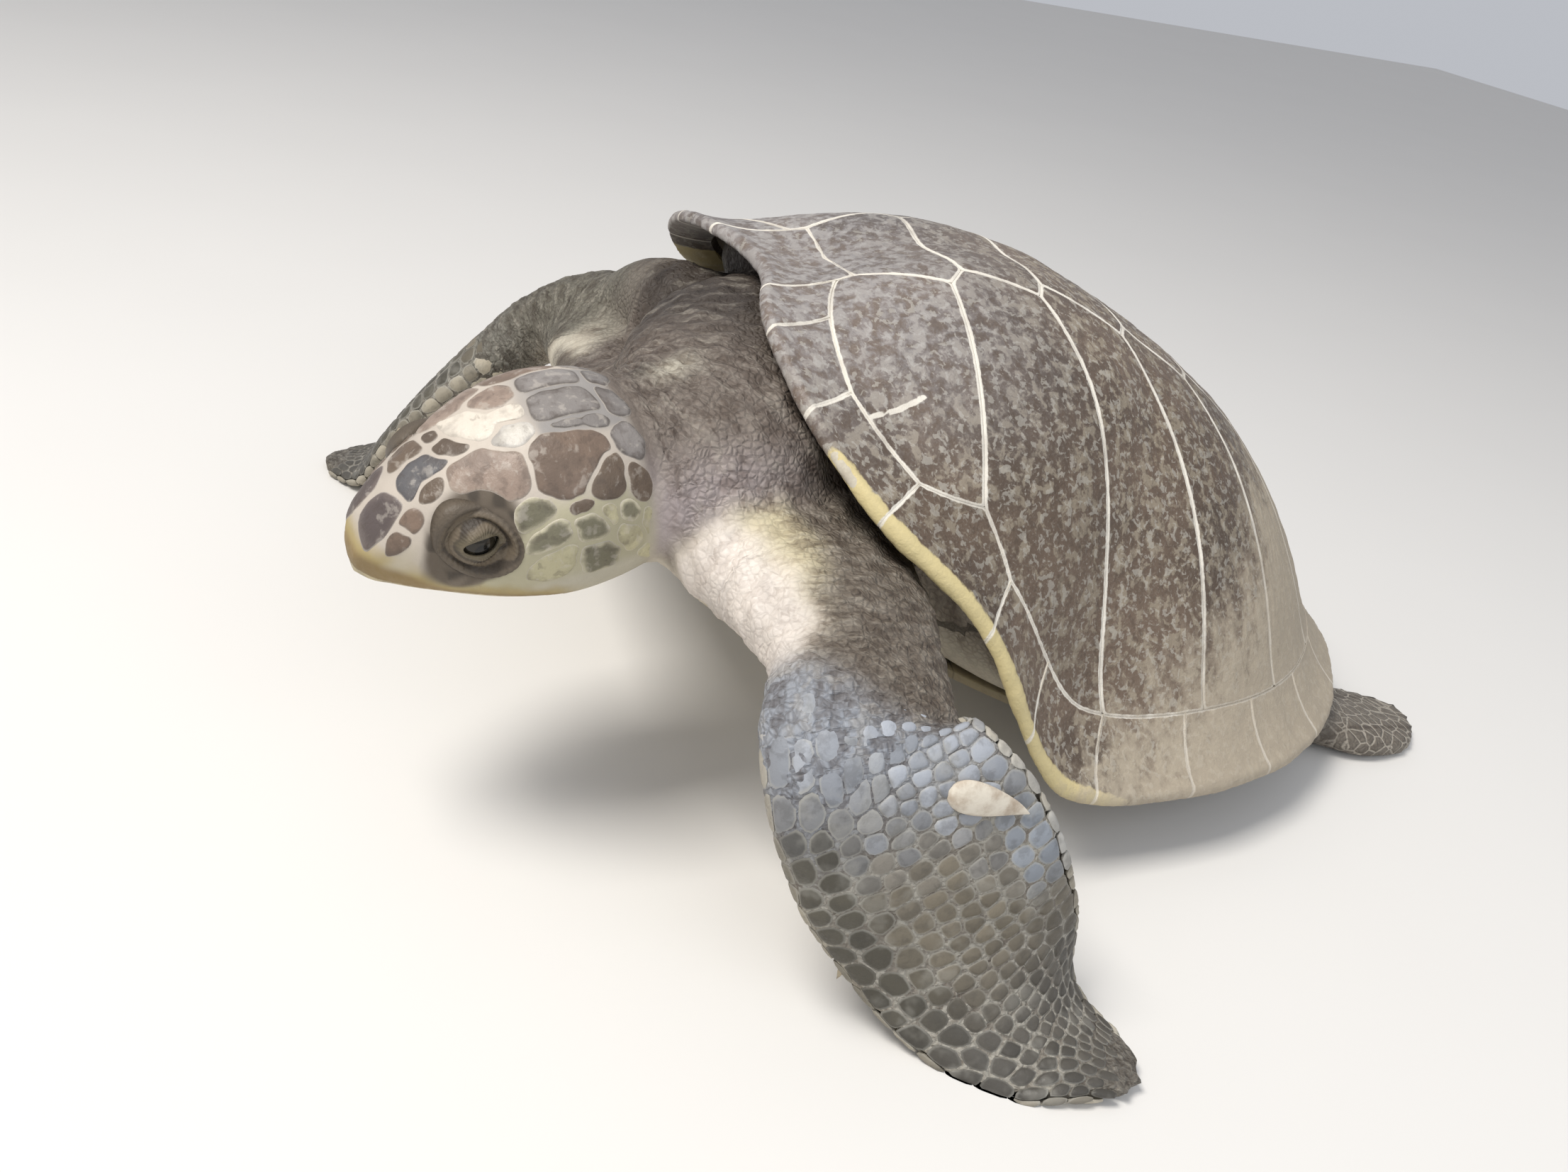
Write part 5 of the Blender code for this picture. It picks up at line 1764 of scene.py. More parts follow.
@dataclass(frozen=True)
class Eyes:
    """Eyeballs with a wrinkled pair of lids round an almond opening."""

    head: HeadForm
    share: float = 0.668
    out: float = 0.0425
    up: float = 0.0210
    radius: float = 0.0135
    lid_reach: float = 0.0225
    opening: tuple[float, float] = (0.0108, 0.0052)
    opening_shift: tuple[float, float] = (-0.0005, 0.0034)
    opening_tilt: float = -0.05
    thickness: float = 0.0022
    # Swelling of the lids over the ball and how far it reaches, and where the ball's form
    # gives way to the cheek's.
    bulge: float = 0.00147
    bulge_reach: float = 0.016
    blend: tuple[float, float] = (0.0105, 0.0190)
    # How far the lids go on past their outer fold, how deep they dip there, and the height
    # of their folds.
    overlap: float = 0.0015
    dip: float = 0.0035
    fold_height: float = 0.0007
    # Width of the lip, and the gap between the lids and the ball.
    lip: float = 0.0006
    film: float = 0.0002
    lid_rows: int = 64
    lid_columns: int = 220
    back_step: int = 8

    def ball(self, sign: float) -> Surface:
        """An eyeball: circles about the sideways axis, with the iris's pole outward.

        Args:
            sign: 1 for the left eye, -1 for the right.

        Returns:
            The ball, with the angle off its axis at each point.
        """
        tilt = np.linspace(0, math.pi, 41)[1:-1, None]
        turn = circle(72)
        ahead = self.radius * np.sin(tilt) * np.cos(turn)
        high = self.radius * np.sin(tilt) * np.sin(turn)
        out = self.radius * np.cos(tilt) + 0 * turn
        rings = self.head.point(self.share + ahead / self.head.length,
                                sign * (self.out + out), self.up + high)
        front, back = (self.head.point(self.share, sign * (self.out + r), self.up)
                       for r in (self.radius, -self.radius))
        return tube(rings, (front, back), {"off_axis": tilt + 0 * turn})

    def cap(self, extra: float, reach: Array) -> Array:
        """Height of a ball that is larger than the eye by a length, at distances from its axis."""
        return self.out + np.sqrt(np.maximum((self.radius + extra) ** 2 - reach ** 2, 0))

    def lid(self, sign: float) -> Surface:
        """Both lids as one closed ring: from the outer fold in to the opening, and back beneath.

        A place is a share s from the opening's almond to the outer circle and an angle about
        the eye. Its height is the cheek's, plus a swelling over the ball and rows of folds.

        Args:
            sign: 1 for the left eye, -1 for the right.

        Returns:
            The lids of one eye.
        """
        turn = circle(self.lid_columns)
        s = np.linspace(1, 0, self.lid_rows)[:, None]
        half_long, half_high = self.opening
        tilted = turn - self.opening_tilt
        almond = 1 / np.hypot(np.cos(tilted) / half_long, np.sin(tilted) / half_high)
        reach = almond * (1 - s) + (self.lid_reach + self.overlap) * s
        along = reach * np.cos(turn) + self.opening_shift[0] * (1 - s)
        high = self.up + reach * np.sin(turn) + self.opening_shift[1] * (1 - s)
        reach = np.hypot(along, high - self.up)
        share = self.share + along / self.head.length
        swell = self.head.side(share, high) + self.bulge * np.exp(-(reach / self.bulge_reach) ** 2)
        blend = ease(*self.blend, reach)
        out = self.cap(self.thickness, reach) * (1 - blend) + np.maximum(swell, 0) * blend
        wander = 0.9 * np.sin(turn + 2.2) + 0.35 * np.sin(2 * turn + 1) + 0.25 * np.sin(5 * turn)
        folds = np.sin(2 * math.pi * (s ** 1.1 * 2.6 + 0.34 * wander))
        radial = np.sin(34 * turn + 6 * s) * 0.3
        fading = ease(0.02, 0.15, s) * (1 - 0.5 * ease(0.8, 1, s))
        out = out + self.fold_height * (folds + radial) * fading
        out = out - self.dip * ease(0.86, 1.0, s)
        back = np.maximum(out[::-1] - self.thickness, self.cap(self.film, reach[::-1]))
        last = self.lid_rows - 1
        fewer = np.arange(self.back_step, self.lid_rows, self.back_step)
        rings = np.concatenate([out, out[-1:] - self.lip, back[:1], back[fewer]])
        pick = np.concatenate([np.arange(self.lid_rows), [last, last], last - fewer])
        rings = self.head.point(share[pick], sign * rings, high[pick])
        quads = grid_faces(*rings.shape[:2], wrap_rows=True)
        values = {"fold": (folds * 0.5 + 0.5)[pick].ravel(), "reach": (s + 0 * turn)[pick].ravel()}
        return Surface(rings.reshape(-1, 3), quads, values=values).outward()

    def build(self, eye: bpy.types.Material, lid: bpy.types.Material) -> None:
        """Make both eyes and both pairs of lids."""
        for side, sign in SIDES:
            keep(self.ball(sign).to_object(f"eyeball_{side}"), eye, "eye", f"eye_{side}")
            keep(self.lid(sign).to_object(f"eyelids_{side}"), lid, "skin")


@dataclass(frozen=True)
class Jaw:
    """The lower beak: the underside of the head ahead of the mouth's corner."""

    head: HeadForm
    corner: tuple[float, float] = (0.40, -0.026)
    tip: float = -0.013
    # How far the jaw lies inside the head's form, below the mouth's line, and how far its
    # hidden roof rises.
    inset: float = 0.0010
    gap: float = 0.0006
    roof_rise: float = 0.002
    tip_shares: tuple[float, ...] = (0.965, 0.98, 0.99, 0.997)

    def line(self, share: Array) -> Array:
        """Height of the mouth along the head: straight, with a slight wave at the beak."""
        u = (share - self.corner[0]) / (1 - self.corner[0])
        return self.corner[1] + (self.tip - self.corner[1]) * u + 0.0016 * np.sin(2 * math.pi * u)

    def form(self) -> Surface:
        """The jaw as a closed tube: each ring is a section's lower arc and a line across.

        Returns:
            The jaw, its faces outward.
        """
        share = np.concatenate([np.linspace(self.corner[0] - 0.03, 0.95, 44), self.tip_shares])
        width, _, bottom = self.head.sizes(share)
        width, bottom = width - self.inset, bottom + self.inset * 0.5
        top = self.line(share) - self.gap
        high = np.clip(np.abs(top) / -bottom, 0, 0.99)
        start = np.arcsin(high ** (1 / self.head.height_power))[:, None]
        turn = -(start + (math.pi - 2 * start) * np.linspace(0, 1, 44))
        left = width[:, None] * power(np.cos(turn), self.head.across_power)
        up = -bottom[:, None] * power(np.sin(turn), self.head.height_power)
        roof = -left[:, -1:] * np.linspace(-1, 1, 16)[1:-1]
        left = np.concatenate([left, roof], 1)
        up = np.concatenate([up, np.broadcast_to(top[:, None] + self.roof_rise, roof.shape)], 1)
        return tube(self.head.point(np.broadcast_to(share[:, None], left.shape), left, up))


def clip(polygon: Array, normal: Array, limit: float) -> Array:
    """The part of a convex polygon on the near side of a line.

    Args:
        polygon: Its corners in order.
        normal: Direction across the line.
        limit: Largest product of the normal and a place that is kept.

    Returns:
        The corners that are left, with the two where the line cuts.
    """
    kept = []
    side = polygon @ normal - limit
    for k in range(len(polygon)):
        a, b, fa, fb = polygon[k - 1], polygon[k], side[k - 1], side[k]
        if (fa <= 0) != (fb <= 0):
            kept.append(a + (b - a) * fa / (fa - fb))
        if fb <= 0:
            kept.append(b)
    return np.array(kept)


class Tone(Enum):
    """Colours of the head's shields, each with the colour it takes at its border."""

    ROSY = (0.265, 0.200, 0.160), (0.30, 0.24, 0.195)
    BROWN = (0.190, 0.136, 0.102), (0.175, 0.13, 0.10)
    UMBER = (0.118, 0.086, 0.062), (0.13, 0.098, 0.072)
    SLATE = (0.100, 0.096, 0.098), (0.085, 0.08, 0.082)
    PLUM = (0.090, 0.072, 0.068), (0.13, 0.105, 0.095)
    GREY = (0.215, 0.195, 0.182), (0.12, 0.105, 0.095)
    SAND = (0.560, 0.505, 0.430), (0.52, 0.47, 0.40)
    PEARL = (0.500, 0.465, 0.410), (0.46, 0.43, 0.39)
    OLIVE = (0.185, 0.170, 0.115), (0.46, 0.42, 0.30)
    CREAM = (0.500, 0.455, 0.290), (0.44, 0.40, 0.26)


@dataclass(frozen=True)
class Shield:
    """One shield: its colours, and its outline in millimetres from the nape and the crown."""

    tone: Tone
    outline: tuple[tuple[float, float], ...]
    paired: bool = False


SHIELDS = (
    Shield(Tone.SLATE, ((150, 2), (146, -2), (141, -4), (133, -2), (129, 1), (123, 8), (128, 10),
                        (134, 11), (140, 10), (144, 12), (148, 16), (151, 12), (152, 6))),
    Shield(Tone.UMBER, ((151, -8), (147, -18), (139, -26), (136, -24), (132, -13), (131, -7),
                        (134, -6), (142, -7), (147, -6), (150, -6))),
    Shield(Tone.UMBER, ((128, -3), (120, -5), (116, 0), (109, 6), (114, 10), (120, 7), (127, 2))),
    Shield(Tone.UMBER, ((122, -17), (120, -14), (121, -8), (126, -7), (129, -9), (129, -15),
                        (127, -19))),
    Shield(Tone.UMBER, ((143, -28), (138, -30), (132, -27), (130, -32), (136, -38), (143, -35))),
    Shield(Tone.UMBER, ((143, 15), (139, 13), (132, 13), (130, 17), (131, 21), (134, 23),
                        (140, 21), (144, 21))),
    Shield(Tone.SAND, ((119, -21), (103, -14), (91, -2), (75, 0), (78, 6), (92, 2), (99, 9),
                       (108, 4), (116, -3), (119, -11))),
    Shield(Tone.PEARL, ((98, 11), (90, 6), (80, 10), (77, 16), (83, 21), (90, 22), (99, 15))),
    Shield(Tone.ROSY, ((99, -18), (93, -8), (85, -5), (77, -9), (76, -17), (81, -24), (90, -26),
                       (98, -24))),
    Shield(Tone.GREY, ((71, 1), (61, -3), (44, -3), (33, 1), (30, 9), (35, 14), (48, 15), (65, 14),
                       (71, 10))),
    Shield(Tone.GREY, ((69, -10), (62, -8), (50, -8), (38, -8), (31, -12), (31, -21), (42, -24),
                       (57, -25), (66, -20))),
    Shield(Tone.GREY, ((66, 18), (48, 18), (36, 17), (30, 22), (32, 27), (45, 22), (58, 21))),
    Shield(Tone.GREY, ((26, -2), (17, 0), (15, 12), (20, 17), (26, 15), (28, 6))),
    Shield(Tone.GREY, ((26, -7), (17, -5), (14, -16), (19, -24), (26, -20), (28, -12))),
    Shield(Tone.ROSY, ((127, 18), (125, 13), (119, 12), (111, 11), (104, 15), (97, 19), (91, 24),
                       (88, 29), (88, 36), (88, 43), (90, 48), (94, 51), (100, 48), (106, 42),
                       (113, 35), (121, 29), (127, 24)), True),
    Shield(Tone.BROWN, ((83, 30), (78, 26), (71, 24), (54, 28), (40, 33), (37, 40), (45, 47),
                        (51, 53), (57, 59), (62, 65), (69, 65), (76, 61), (82, 56), (84, 48),
                        (83, 38)), True),
    Shield(Tone.UMBER, ((41, 47), (34, 47), (33, 54), (34, 62), (36, 69), (43, 73), (51, 71),
                        (55, 68), (54, 62), (48, 55)), True),
    Shield(Tone.UMBER, ((26, 52), (20, 57), (18, 66), (22, 76), (27, 75), (28, 68),
                        (29, 60)), True),
    Shield(Tone.GREY, ((29, 26), (20, 25), (16, 36), (19, 48), (26, 47), (31, 42),
                       (33, 34)), True),
    Shield(Tone.UMBER, ((69, 71), (62, 71), (56, 73), (60, 77), (68, 77)), True),
    Shield(Tone.OLIVE, ((99, 58), (90, 57), (82, 62), (80, 69), (88, 73), (96, 72),
                        (99, 64)), True),
    Shield(Tone.OLIVE, ((92, 78), (82, 77), (73, 80), (71, 88), (80, 92), (91, 89),
                        (95, 83)), True),
    Shield(Tone.OLIVE, ((69, 81), (60, 80), (52, 85), (47, 93), (54, 98), (64, 94),
                        (68, 88)), True),
    Shield(Tone.OLIVE, ((66, 101), (52, 101), (41, 107), (45, 115), (60, 116), (67, 108)), True),
    Shield(Tone.OLIVE, ((38, 78), (31, 78), (25, 83), (31, 90), (38, 87)), True),
    Shield(Tone.CREAM, ((90, 96), (75, 95), (69, 99), (72, 110), (86, 109), (95, 102)), True),
    Shield(Tone.CREAM, ((50, 78), (43, 79), (42, 88), (45, 91), (50, 83)), True),
    Shield(Tone.CREAM, ((40, 93), (28, 94), (24, 102), (34, 108), (41, 103)), True),
    Shield(Tone.CREAM, ((21, 82), (13, 85), (11, 96), (19, 100), (24, 92)), True),
    Shield(Tone.CREAM, ((19, 105), (10, 104), (6, 114), (16, 119), (26, 112)), True),
    Shield(Tone.PLUM, ((173, 3), (163, 2), (155, 8), (154, 15), (160, 19), (167, 20),
                       (173, 14)), True),
    Shield(Tone.BROWN, ((153, 21), (148, 24), (148, 33), (152, 35), (155, 29), (158, 22)), True),
    Shield(Tone.BROWN, ((165, 25), (160, 26), (155, 34), (156, 39), (161, 36), (165, 31)), True),
)


@dataclass
class Shields:
    """The horny shields of the head, each a low crowned plate."""

    head: HeadForm
    seam: float = 0.0019
    growth: float = 0.0048
    rise: float = 0.0008
    root: float = 0.0025
    rounding: int = 4
    spacing: float = 0.0011
    # How steeply a shield's edge rises, its unevenness, and its steps in from the edge.
    slope: float = 0.0009
    uneven: float = 0.00025
    wander: float = 0.0004
    steps: tuple[float, ...] = (0.0, 0.0004, 0.0009, 0.0016, 0.0026)
    sunk: float = 0.0002
    # The lids' patch keeps this share of its size clear of shields.
    patch_share: float = 0.86
    # The crown's line lies a little to the right, less so towards the cheeks.
    crown_shift: float = 0.008
    crown_reach: float = 0.070

    def outlines(self) -> list[tuple[Array, Tone]]:
        """Every outline in metres, the paired ones with their twins on the right.

        Returns:
            Each outline with its colours.
        """
        made = []
        for shield in SHIELDS:
            loop = np.array(shield.outline, float) / 1000
            made.append((loop, shield.tone))
            if shield.paired:
                shift = self.crown_shift * np.maximum(1 - loop[:, 1] / self.crown_reach, 0)
                made.append((np.stack([loop[:, 0], -loop[:, 1] - shift], 1)[::-1], shield.tone))
        return made

    def spread(self, loops: list[Array]) -> list[Array]:
        """Grow outlines towards each other until only a narrow seam is left between them.

        Args:
            loops: Outlines in the head's plane.

        Returns:
            The same outlines, each point moved outward by half the room it has.
        """
        t = circle(120)
        ahead, out, long, wide = Skin.eye_patch
        lids = np.stack([ahead + self.patch_share * long * np.cos(t),
                         out + self.patch_share * wide * np.sin(t)], 1)
        lids = np.concatenate([lids, lids * (1, -1)])
        grown = []
        for k, loop in enumerate(loops):
            x, y = loop.T
            along = np.roll(loop, -1, 0) - np.roll(loop, 1, 0)
            turning = np.sum(x * np.roll(y, -1) - y * np.roll(x, -1))
            outward = unit(np.stack([along[:, 1], -along[:, 0]], 1)) * math.copysign(1.0, turning)
            others = np.concatenate(loops[:k] + loops[k + 1:])
            to_others, to_lids = (np.linalg.norm(loop[:, None] - line, axis=-1).min(1)
                                  for line in (others, lids))
            room = np.clip(np.minimum((to_others - self.seam) / 2, to_lids), 0, self.growth)
            for _ in range(self.rounding):
                room = (np.roll(room, 1) + room * 2 + np.roll(room, -1)) / 4
            grown.append(loop + outward * room[:, None])
        return grown

    def plate(self, loop: Array, tone: Tone, seed: int) -> Surface:
        """One shield: its outline with rings up to a low crown.

        Args:
            loop: Outline in the head's plane.
            tone: Its colours.
            seed: Varies its shade and its unevenness.

        Returns:
            A closed plate rooted in the skin.
        """
        middle = loop.mean(0)
        flat = np.pad(loop, ((0, 0), (0, 1)))
        loop = loop + self.wander * np.stack([ripple(flat, 0.010, seed + k) for k in (0, 500)], 1)
        away = np.linalg.norm(loop - middle, axis=1, keepdims=True)
        rings = [loop + (middle - loop) * np.minimum(step / away, 0.5) for step in self.steps]
        rings += [middle + (rings[-1] - middle) * share for share in (0.8, 0.6, 0.4, 0.2)]
        plan = np.array(rings)
        skin = self.head.on_skin(plan[..., 0], plan[..., 1])
        normal = grid_normals(skin)
        outward = skin - self.head.point(plan[..., 0] / self.head.length, 0.0, 0.0)
        normal = normal * np.sign(np.sum(normal * outward, -1, keepdims=True))
        edge = np.linalg.norm(plan - plan[:1], axis=-1)
        height = self.rise * (1 - np.exp(-edge / self.slope)) - self.sunk
        swell = ripple(skin.reshape(-1, 3), 0.012, seed).reshape(height.shape)
        height = height + self.uneven * swell * ease(0, 0.003, edge)
        top = skin + normal * height[..., None]
        below = skin[[0, 5]] - normal[[0, 5]] * self.root
        rings = np.concatenate([below[::-1], top])
        edge = np.concatenate([edge[:2] * 0, edge])
        cloud = ripple(rings.reshape(-1, 3), 0.008, seed + 7).reshape(edge.shape)
        heart = ease(0.0008, 0.0036, edge + 0.0008 * cloud)
        inner, outer = (np.array(v) for v in tone.value)
        shade = np.random.default_rng(seed).uniform(0.88, 1.12)
        colour = (outer + (inner - outer) * heart[..., None]) * shade
        return tube(rings, values={"tone": colour, "edge": edge})

    def build(self, finish: bpy.types.Material) -> None:
        """Make all the shields as one piece.

        Args:
            finish: The shields' material.
        """
        outlines = self.outlines()
        loops = [resample(outline, spacing=self.spacing) for outline, _ in outlines]
        for _ in range(self.rounding):
            loops = [(np.roll(loop, 1, 0) + loop * 2 + np.roll(loop, -1, 0)) / 4 for loop in loops]
        plates = [self.plate(loop, tone, 100 + k)
                  for k, (loop, (_, tone)) in enumerate(zip(self.spread(loops), outlines))]
        keep(gather(plates).to_object("head_shields", 60), finish, "skin")


# ---------------------------------------------------------------- plastron and claws

@dataclass
class Plastron:
    """The belly shell: one closed plate, flattened where it rests on the floor."""

    place: Place
    half_width: float = 0.180
    half_length: float = 0.236
    centre: float = 0.008
    thickness: float = 0.010
    gap: float = 0.002
    belly: float = -0.082
    belly_curve: float = 1.25
    belly_bend: float = 0.08
    square: float = 0.05
    profile: tuple[tuple[float, float], ...] = (
        (0.4, 0.0), (0.75, 0.0), (0.97, 0.0), (1.0, 0.35), (0.93, 0.8), (0.7, 1.0), (0.35, 1.0))
    seams: tuple[float, ...] = (-0.75, -0.42, -0.08, 0.30, 0.62)
    seam_bow: float = 0.8
    seam_rise: float = 0.0007
    seam_width: float = 0.0022

    def form(self) -> Surface:
        """Rings of the outline at shares of its size, from the upper face round to the lower.

        Returns:
            The plate, with the distance to the nearest seam at each point.
        """
        t = circle(240)
        swell = 1 + self.square * np.sin(2 * t) ** 2
        knots = np.array(self.profile)
        at = np.linspace(0, len(knots) - 1, 61)
        share, depth = (np.interp(at, np.arange(len(knots)), column)[:, None]
                        for column in knots.T)
        across = self.half_width * np.sin(t) * swell * share
        along = self.centre - self.half_length * np.cos(t) * swell * share
        height = self.belly + self.belly_curve * np.maximum(along - self.belly_bend, 0) ** 2
        height = height - self.gap - self.thickness * depth
        seam = np.abs(across)
        for place in self.seams:
            bowed = along - self.centre - place * self.half_length + across ** 2 * self.seam_bow
            seam = np.minimum(seam, np.abs(bowed))
        ridge = self.seam_rise * np.exp(-(seam / self.seam_width) ** 2)
        height = height + ridge * ease(0.5, 0.9, depth)
        rings = self.place.world(np.stack([across, along, height], -1))
        rings[..., 2] = np.maximum(rings[..., 2], 0.0)
        return tube(rings, values={"edge": seam})


@dataclass
class Claws:
    """A short claw on each front flipper's leading edge."""

    skin: Skin
    share: float = 0.6955
    # Share further on that gives the flipper's direction, and the root's share of its width.
    stride: float = 0.05
    rooted: float = 0.8
    profile: tuple[tuple[float, float, float], ...] = (
        (-0.004, 0.0, 0.0048), (0.0, 0.0, 0.0048), (0.005, 0.001, 0.0046), (0.010, 0.002, 0.0040),
        (0.014, 0.0045, 0.0030), (0.0175, 0.0075, 0.0016))
    tip: tuple[float, float] = (0.020, 0.010)

    def claw(self, side: str) -> Surface:
        """A cone of circles that curves from the leading edge towards the flipper's tip.

        Args:
            side: "left" or "right".

        Returns:
            One claw, rooted in the flipper.
        """
        limb = self.skin.front_limb(side)
        centre, chord, _, wide, _ = (v[0] for v in limb.frame_at(np.array([self.share])))
        ahead = limb.frame_at(np.array([self.share + self.stride]))[0][0]
        along = unit(ahead - centre)
        along = unit(along - chord * np.dot(along, chord))
        root = centre + chord * wide * self.rooted
        turn = circle(28)[:, None]
        at = np.linspace(0, len(self.profile) - 1, 22)
        knots = np.array(self.profile)
        reach, sweep, radius = smooth_curve(at, np.arange(len(knots)), knots).T
        middle = root + reach[:, None] * chord + sweep[:, None] * along
        ring = np.cos(turn) * along + np.sin(turn) * np.cross(chord, along)
        rings = middle[:, None] + radius[:, None, None] * ring
        end = root + self.tip[0] * chord + self.tip[1] * along
        return tube(rings, (rings[0].mean(0), end))

    def build(self, finish: bpy.types.Material) -> None:
        """Make both claws."""
        for side, _ in SIDES:
            keep(self.claw(side).to_object(f"flipper_claw_{side}"), finish, "claw", f"claw_{side}")


@dataclass
class FlipperScales:
    """Flat scales in rows along a front flipper, largest at its leading edge."""

    skin: Skin
    side: str
    start: float = 0.468
    end: float = 0.985
    corners: int = 12
    seam: float = 0.0004
    rise: float = 0.0008
    root: float = 0.0016
    jitter: float = 0.22
    sink: float = 0.0013
    fade: float = 0.060
    bare_tip: float = 0.013
    # Half width and half depth of a middling section, and the half girth that the rows'
    # distances are stated for.
    section: tuple[float, float] = (0.066, 0.021)
    half_girth: float = 0.1235
    # Furthest that a scale reaches from its centre, and the share of it that is its crown.
    longest: float = 0.016
    crown: float = 0.62
    # Height of a scale's middle, and steps in share and turn that give the skin's normal.
    peak: float = 0.00088
    steps: tuple[float, float] = (0.002, 0.02)
    # Distance of each row from the leading edge round the flipper, and its scales' length;
    # then the length of those along the trailing edge.
    rows: tuple[tuple[float, float], ...] = (
        (0.000, 0.0150), (0.0125, 0.0150), (0.0255, 0.0145), (0.0380, 0.0135), (0.0495, 0.0120),
        (0.0600, 0.0110), (0.0700, 0.0105), (0.0800, 0.0105), (0.0900, 0.0110),
        (0.1005, 0.0115), (0.1115, 0.0125))
    trailing: float = 0.013

    def around(self) -> tuple[Array, Array]:
        """Turns and lengths round a middling section, to turn a length round it into a turn.

        Returns:
            Turns, and the length at each.
        """
        turn = np.linspace(0, 2 * math.pi, 721)
        lead = 1 + self.skin.front_limb(self.side).lead * np.cos(turn)
        wide, deep = self.section
        outline = np.stack([wide * np.cos(turn), deep * np.sin(turn) * lead], -1)
        return turn, run_lengths(outline)

    def centres(self, length: float, girth: float) -> Array:
        """Jittered places along and round the flipper, each row shifted by half a scale.

        Args:
            length: Length of the scaly part of the flipper.
            girth: Length once round it.

        Returns:
            Scales by place along and round the flipper.
        """
        draw = np.random.default_rng(7 if self.side == "left" else 8)
        half = girth / 2
        offsets = [self.rows[0]]
        offsets += [(sign * away * half / self.half_girth, size)
                    for away, size in self.rows[1:] for sign in (1, -1)]
        offsets.append((half, self.trailing))
        made = []
        for k, (offset, size) in enumerate(offsets):
            along = np.arange(-size + size * (k % 2) / 2, length + size, size)
            shift = draw.uniform(-1, 1, (len(along), 2)) * self.jitter * size
            made.append(np.stack([along + shift[:, 0], offset + shift[:, 1] + 0 * along], -1))
        return np.concatenate(made)

    def outlines(self, length: float, girth: float) -> Array:
        """Cells about the centres, cut by the lines half way to each neighbour.

        Args:
            length: Length of the scaly part of the flipper.
            girth: Length once round it.

        Returns:
            Scales by corners by place along and round the flipper.
        """
        centres = self.centres(length, girth)
        wrapped = np.concatenate([centres, centres + [0, girth], centres - [0, girth]])
        box = np.array([[-1, -1], [1, -1], [1, 1], [-1, 1]]) * self.longest
        loops = []
        for centre in centres:
            if not 0.0 <= centre[0] <= length - self.bare_tip:
                continue
            way = wrapped - centre
            near = np.linalg.norm(way, axis=1)
            order = np.argsort(near)
            order = order[(near[order] > 1e-9) & (near[order] < 2 * self.longest)]
            cell = box
            for step in way[order]:
                cell = clip(cell, step, step @ step / 2)
            loops.append(resample(cell + centre, self.corners))
        return np.array(loops)

    def tones(self, share: Array, across: Array, top: Array) -> Array:
        """Colour of each scale by its place: slate at the elbow, dark in front, brown below.

        Args:
            share: Share of the limb's length, for each scale.
            across: From 1 at the leading edge to -1 at the trailing.
            top: 1 on the upper face, 0 on the lower.

        Returns:
            A colour for each.
        """
        draw = np.random.default_rng(31)
        count = len(share)
        colour = np.tile(np.array(Hue.SCALE.value), (count, 1))
        lay = functools.partial(lay_colour, colour)
        if self.side == "left":
            stray = draw.uniform(-0.03, 0.03, count)
            lay(Hue.SCALE_ELBOW, 1 - ease(0.52, 0.66, share + 0.05 * across + stray))
            band = ease(0.60, 0.64, share) * (1 - ease(0.69, 0.74, share))
            lay(Hue.SCALE_BAND, band * ease(0.45, 0.7, -across))
        lay(Hue.SCALE_FRONT, ease(0.50, 0.56, share) * ease(0.30, 0.66, across) * 0.95)
        lay(Hue.SCALE_END, ease(0.72, 0.84, share) * 0.85)
        lay(Hue.SCALE_UNDER, 1 - top)
        return colour * draw.uniform(0.78, 1.22, (count, 1))

    def form(self) -> Surface:
        """All the scales of one flipper, each a low crown of a few faces over a sunken root.

        Returns:
            One surface of many closed scales.
        """
        limb = self.skin.front_limb(self.side)
        shares = np.linspace(self.start, self.end, 200)
        path = limb.frame_at(shares)[0]
        length = np.linalg.norm(np.diff(path, axis=0), axis=1).sum()
        turn, arc = self.around()
        loops = self.outlines(length, arc[-1])
        loops = (np.roll(loops, 1, 1) + loops * 4 + np.roll(loops, -1, 1)) / 6
        middle = loops.mean(1, keepdims=True)
        away = np.linalg.norm(loops - middle, axis=-1, keepdims=True)
        edge = loops + (middle - loops) / away * np.minimum(self.seam, away * 0.3)
        plan = np.stack([edge, edge, middle + (edge - middle) * self.crown,
                         np.broadcast_to(middle, edge.shape)], 1)
        heights = np.array([-self.root, 0.0, self.rise, self.peak])[None, :, None]
        share = np.clip(self.start + plan[..., 0] / length * (self.end - self.start), 0, 1)
        angle = np.interp(plan[..., 1] % arc[-1], arc, turn)
        flat = share.ravel(), angle.ravel()
        skin = limb.section(*flat)
        on, round_it = self.steps
        ahead = limb.section(flat[0] + on, flat[1]) - limb.section(flat[0] - on, flat[1])
        aside = (limb.section(flat[0], flat[1] + round_it)
                 - limb.section(flat[0], flat[1] - round_it))
        normal = unit(np.cross(ahead, aside))
        centre = limb.frame_at(flat[0])[0]
        normal *= np.sign(np.median(np.sum(normal * (skin - centre), -1)))
        sunk = self.sink * (1 - ease(self.start, self.start + self.fade, share))
        lift = np.broadcast_to(heights, share.shape) - sunk
        points = (skin + normal * lift.reshape(-1, 1)).reshape(*share.shape, 3)
        count, _, corners, _ = points.shape
        solid = np.concatenate([points[:, :3].reshape(count, -1, 3), points[:, 3, :1],
                                points[:, 0].mean(1, keepdims=True)], 1)
        quads = grid_faces(3, corners)
        tris = np.concatenate([fan_faces(2 * corners, corners, 3 * corners, False),
                               fan_faces(0, corners, 3 * corners + 1, True)])
        base = (np.arange(count) * (3 * corners + 2))[:, None, None]
        solid[..., 2] = np.maximum(solid[..., 2], self.skin.floor_clearance)
        at_share, at_angle = share[:, 3, 0], angle[:, 3, 0]
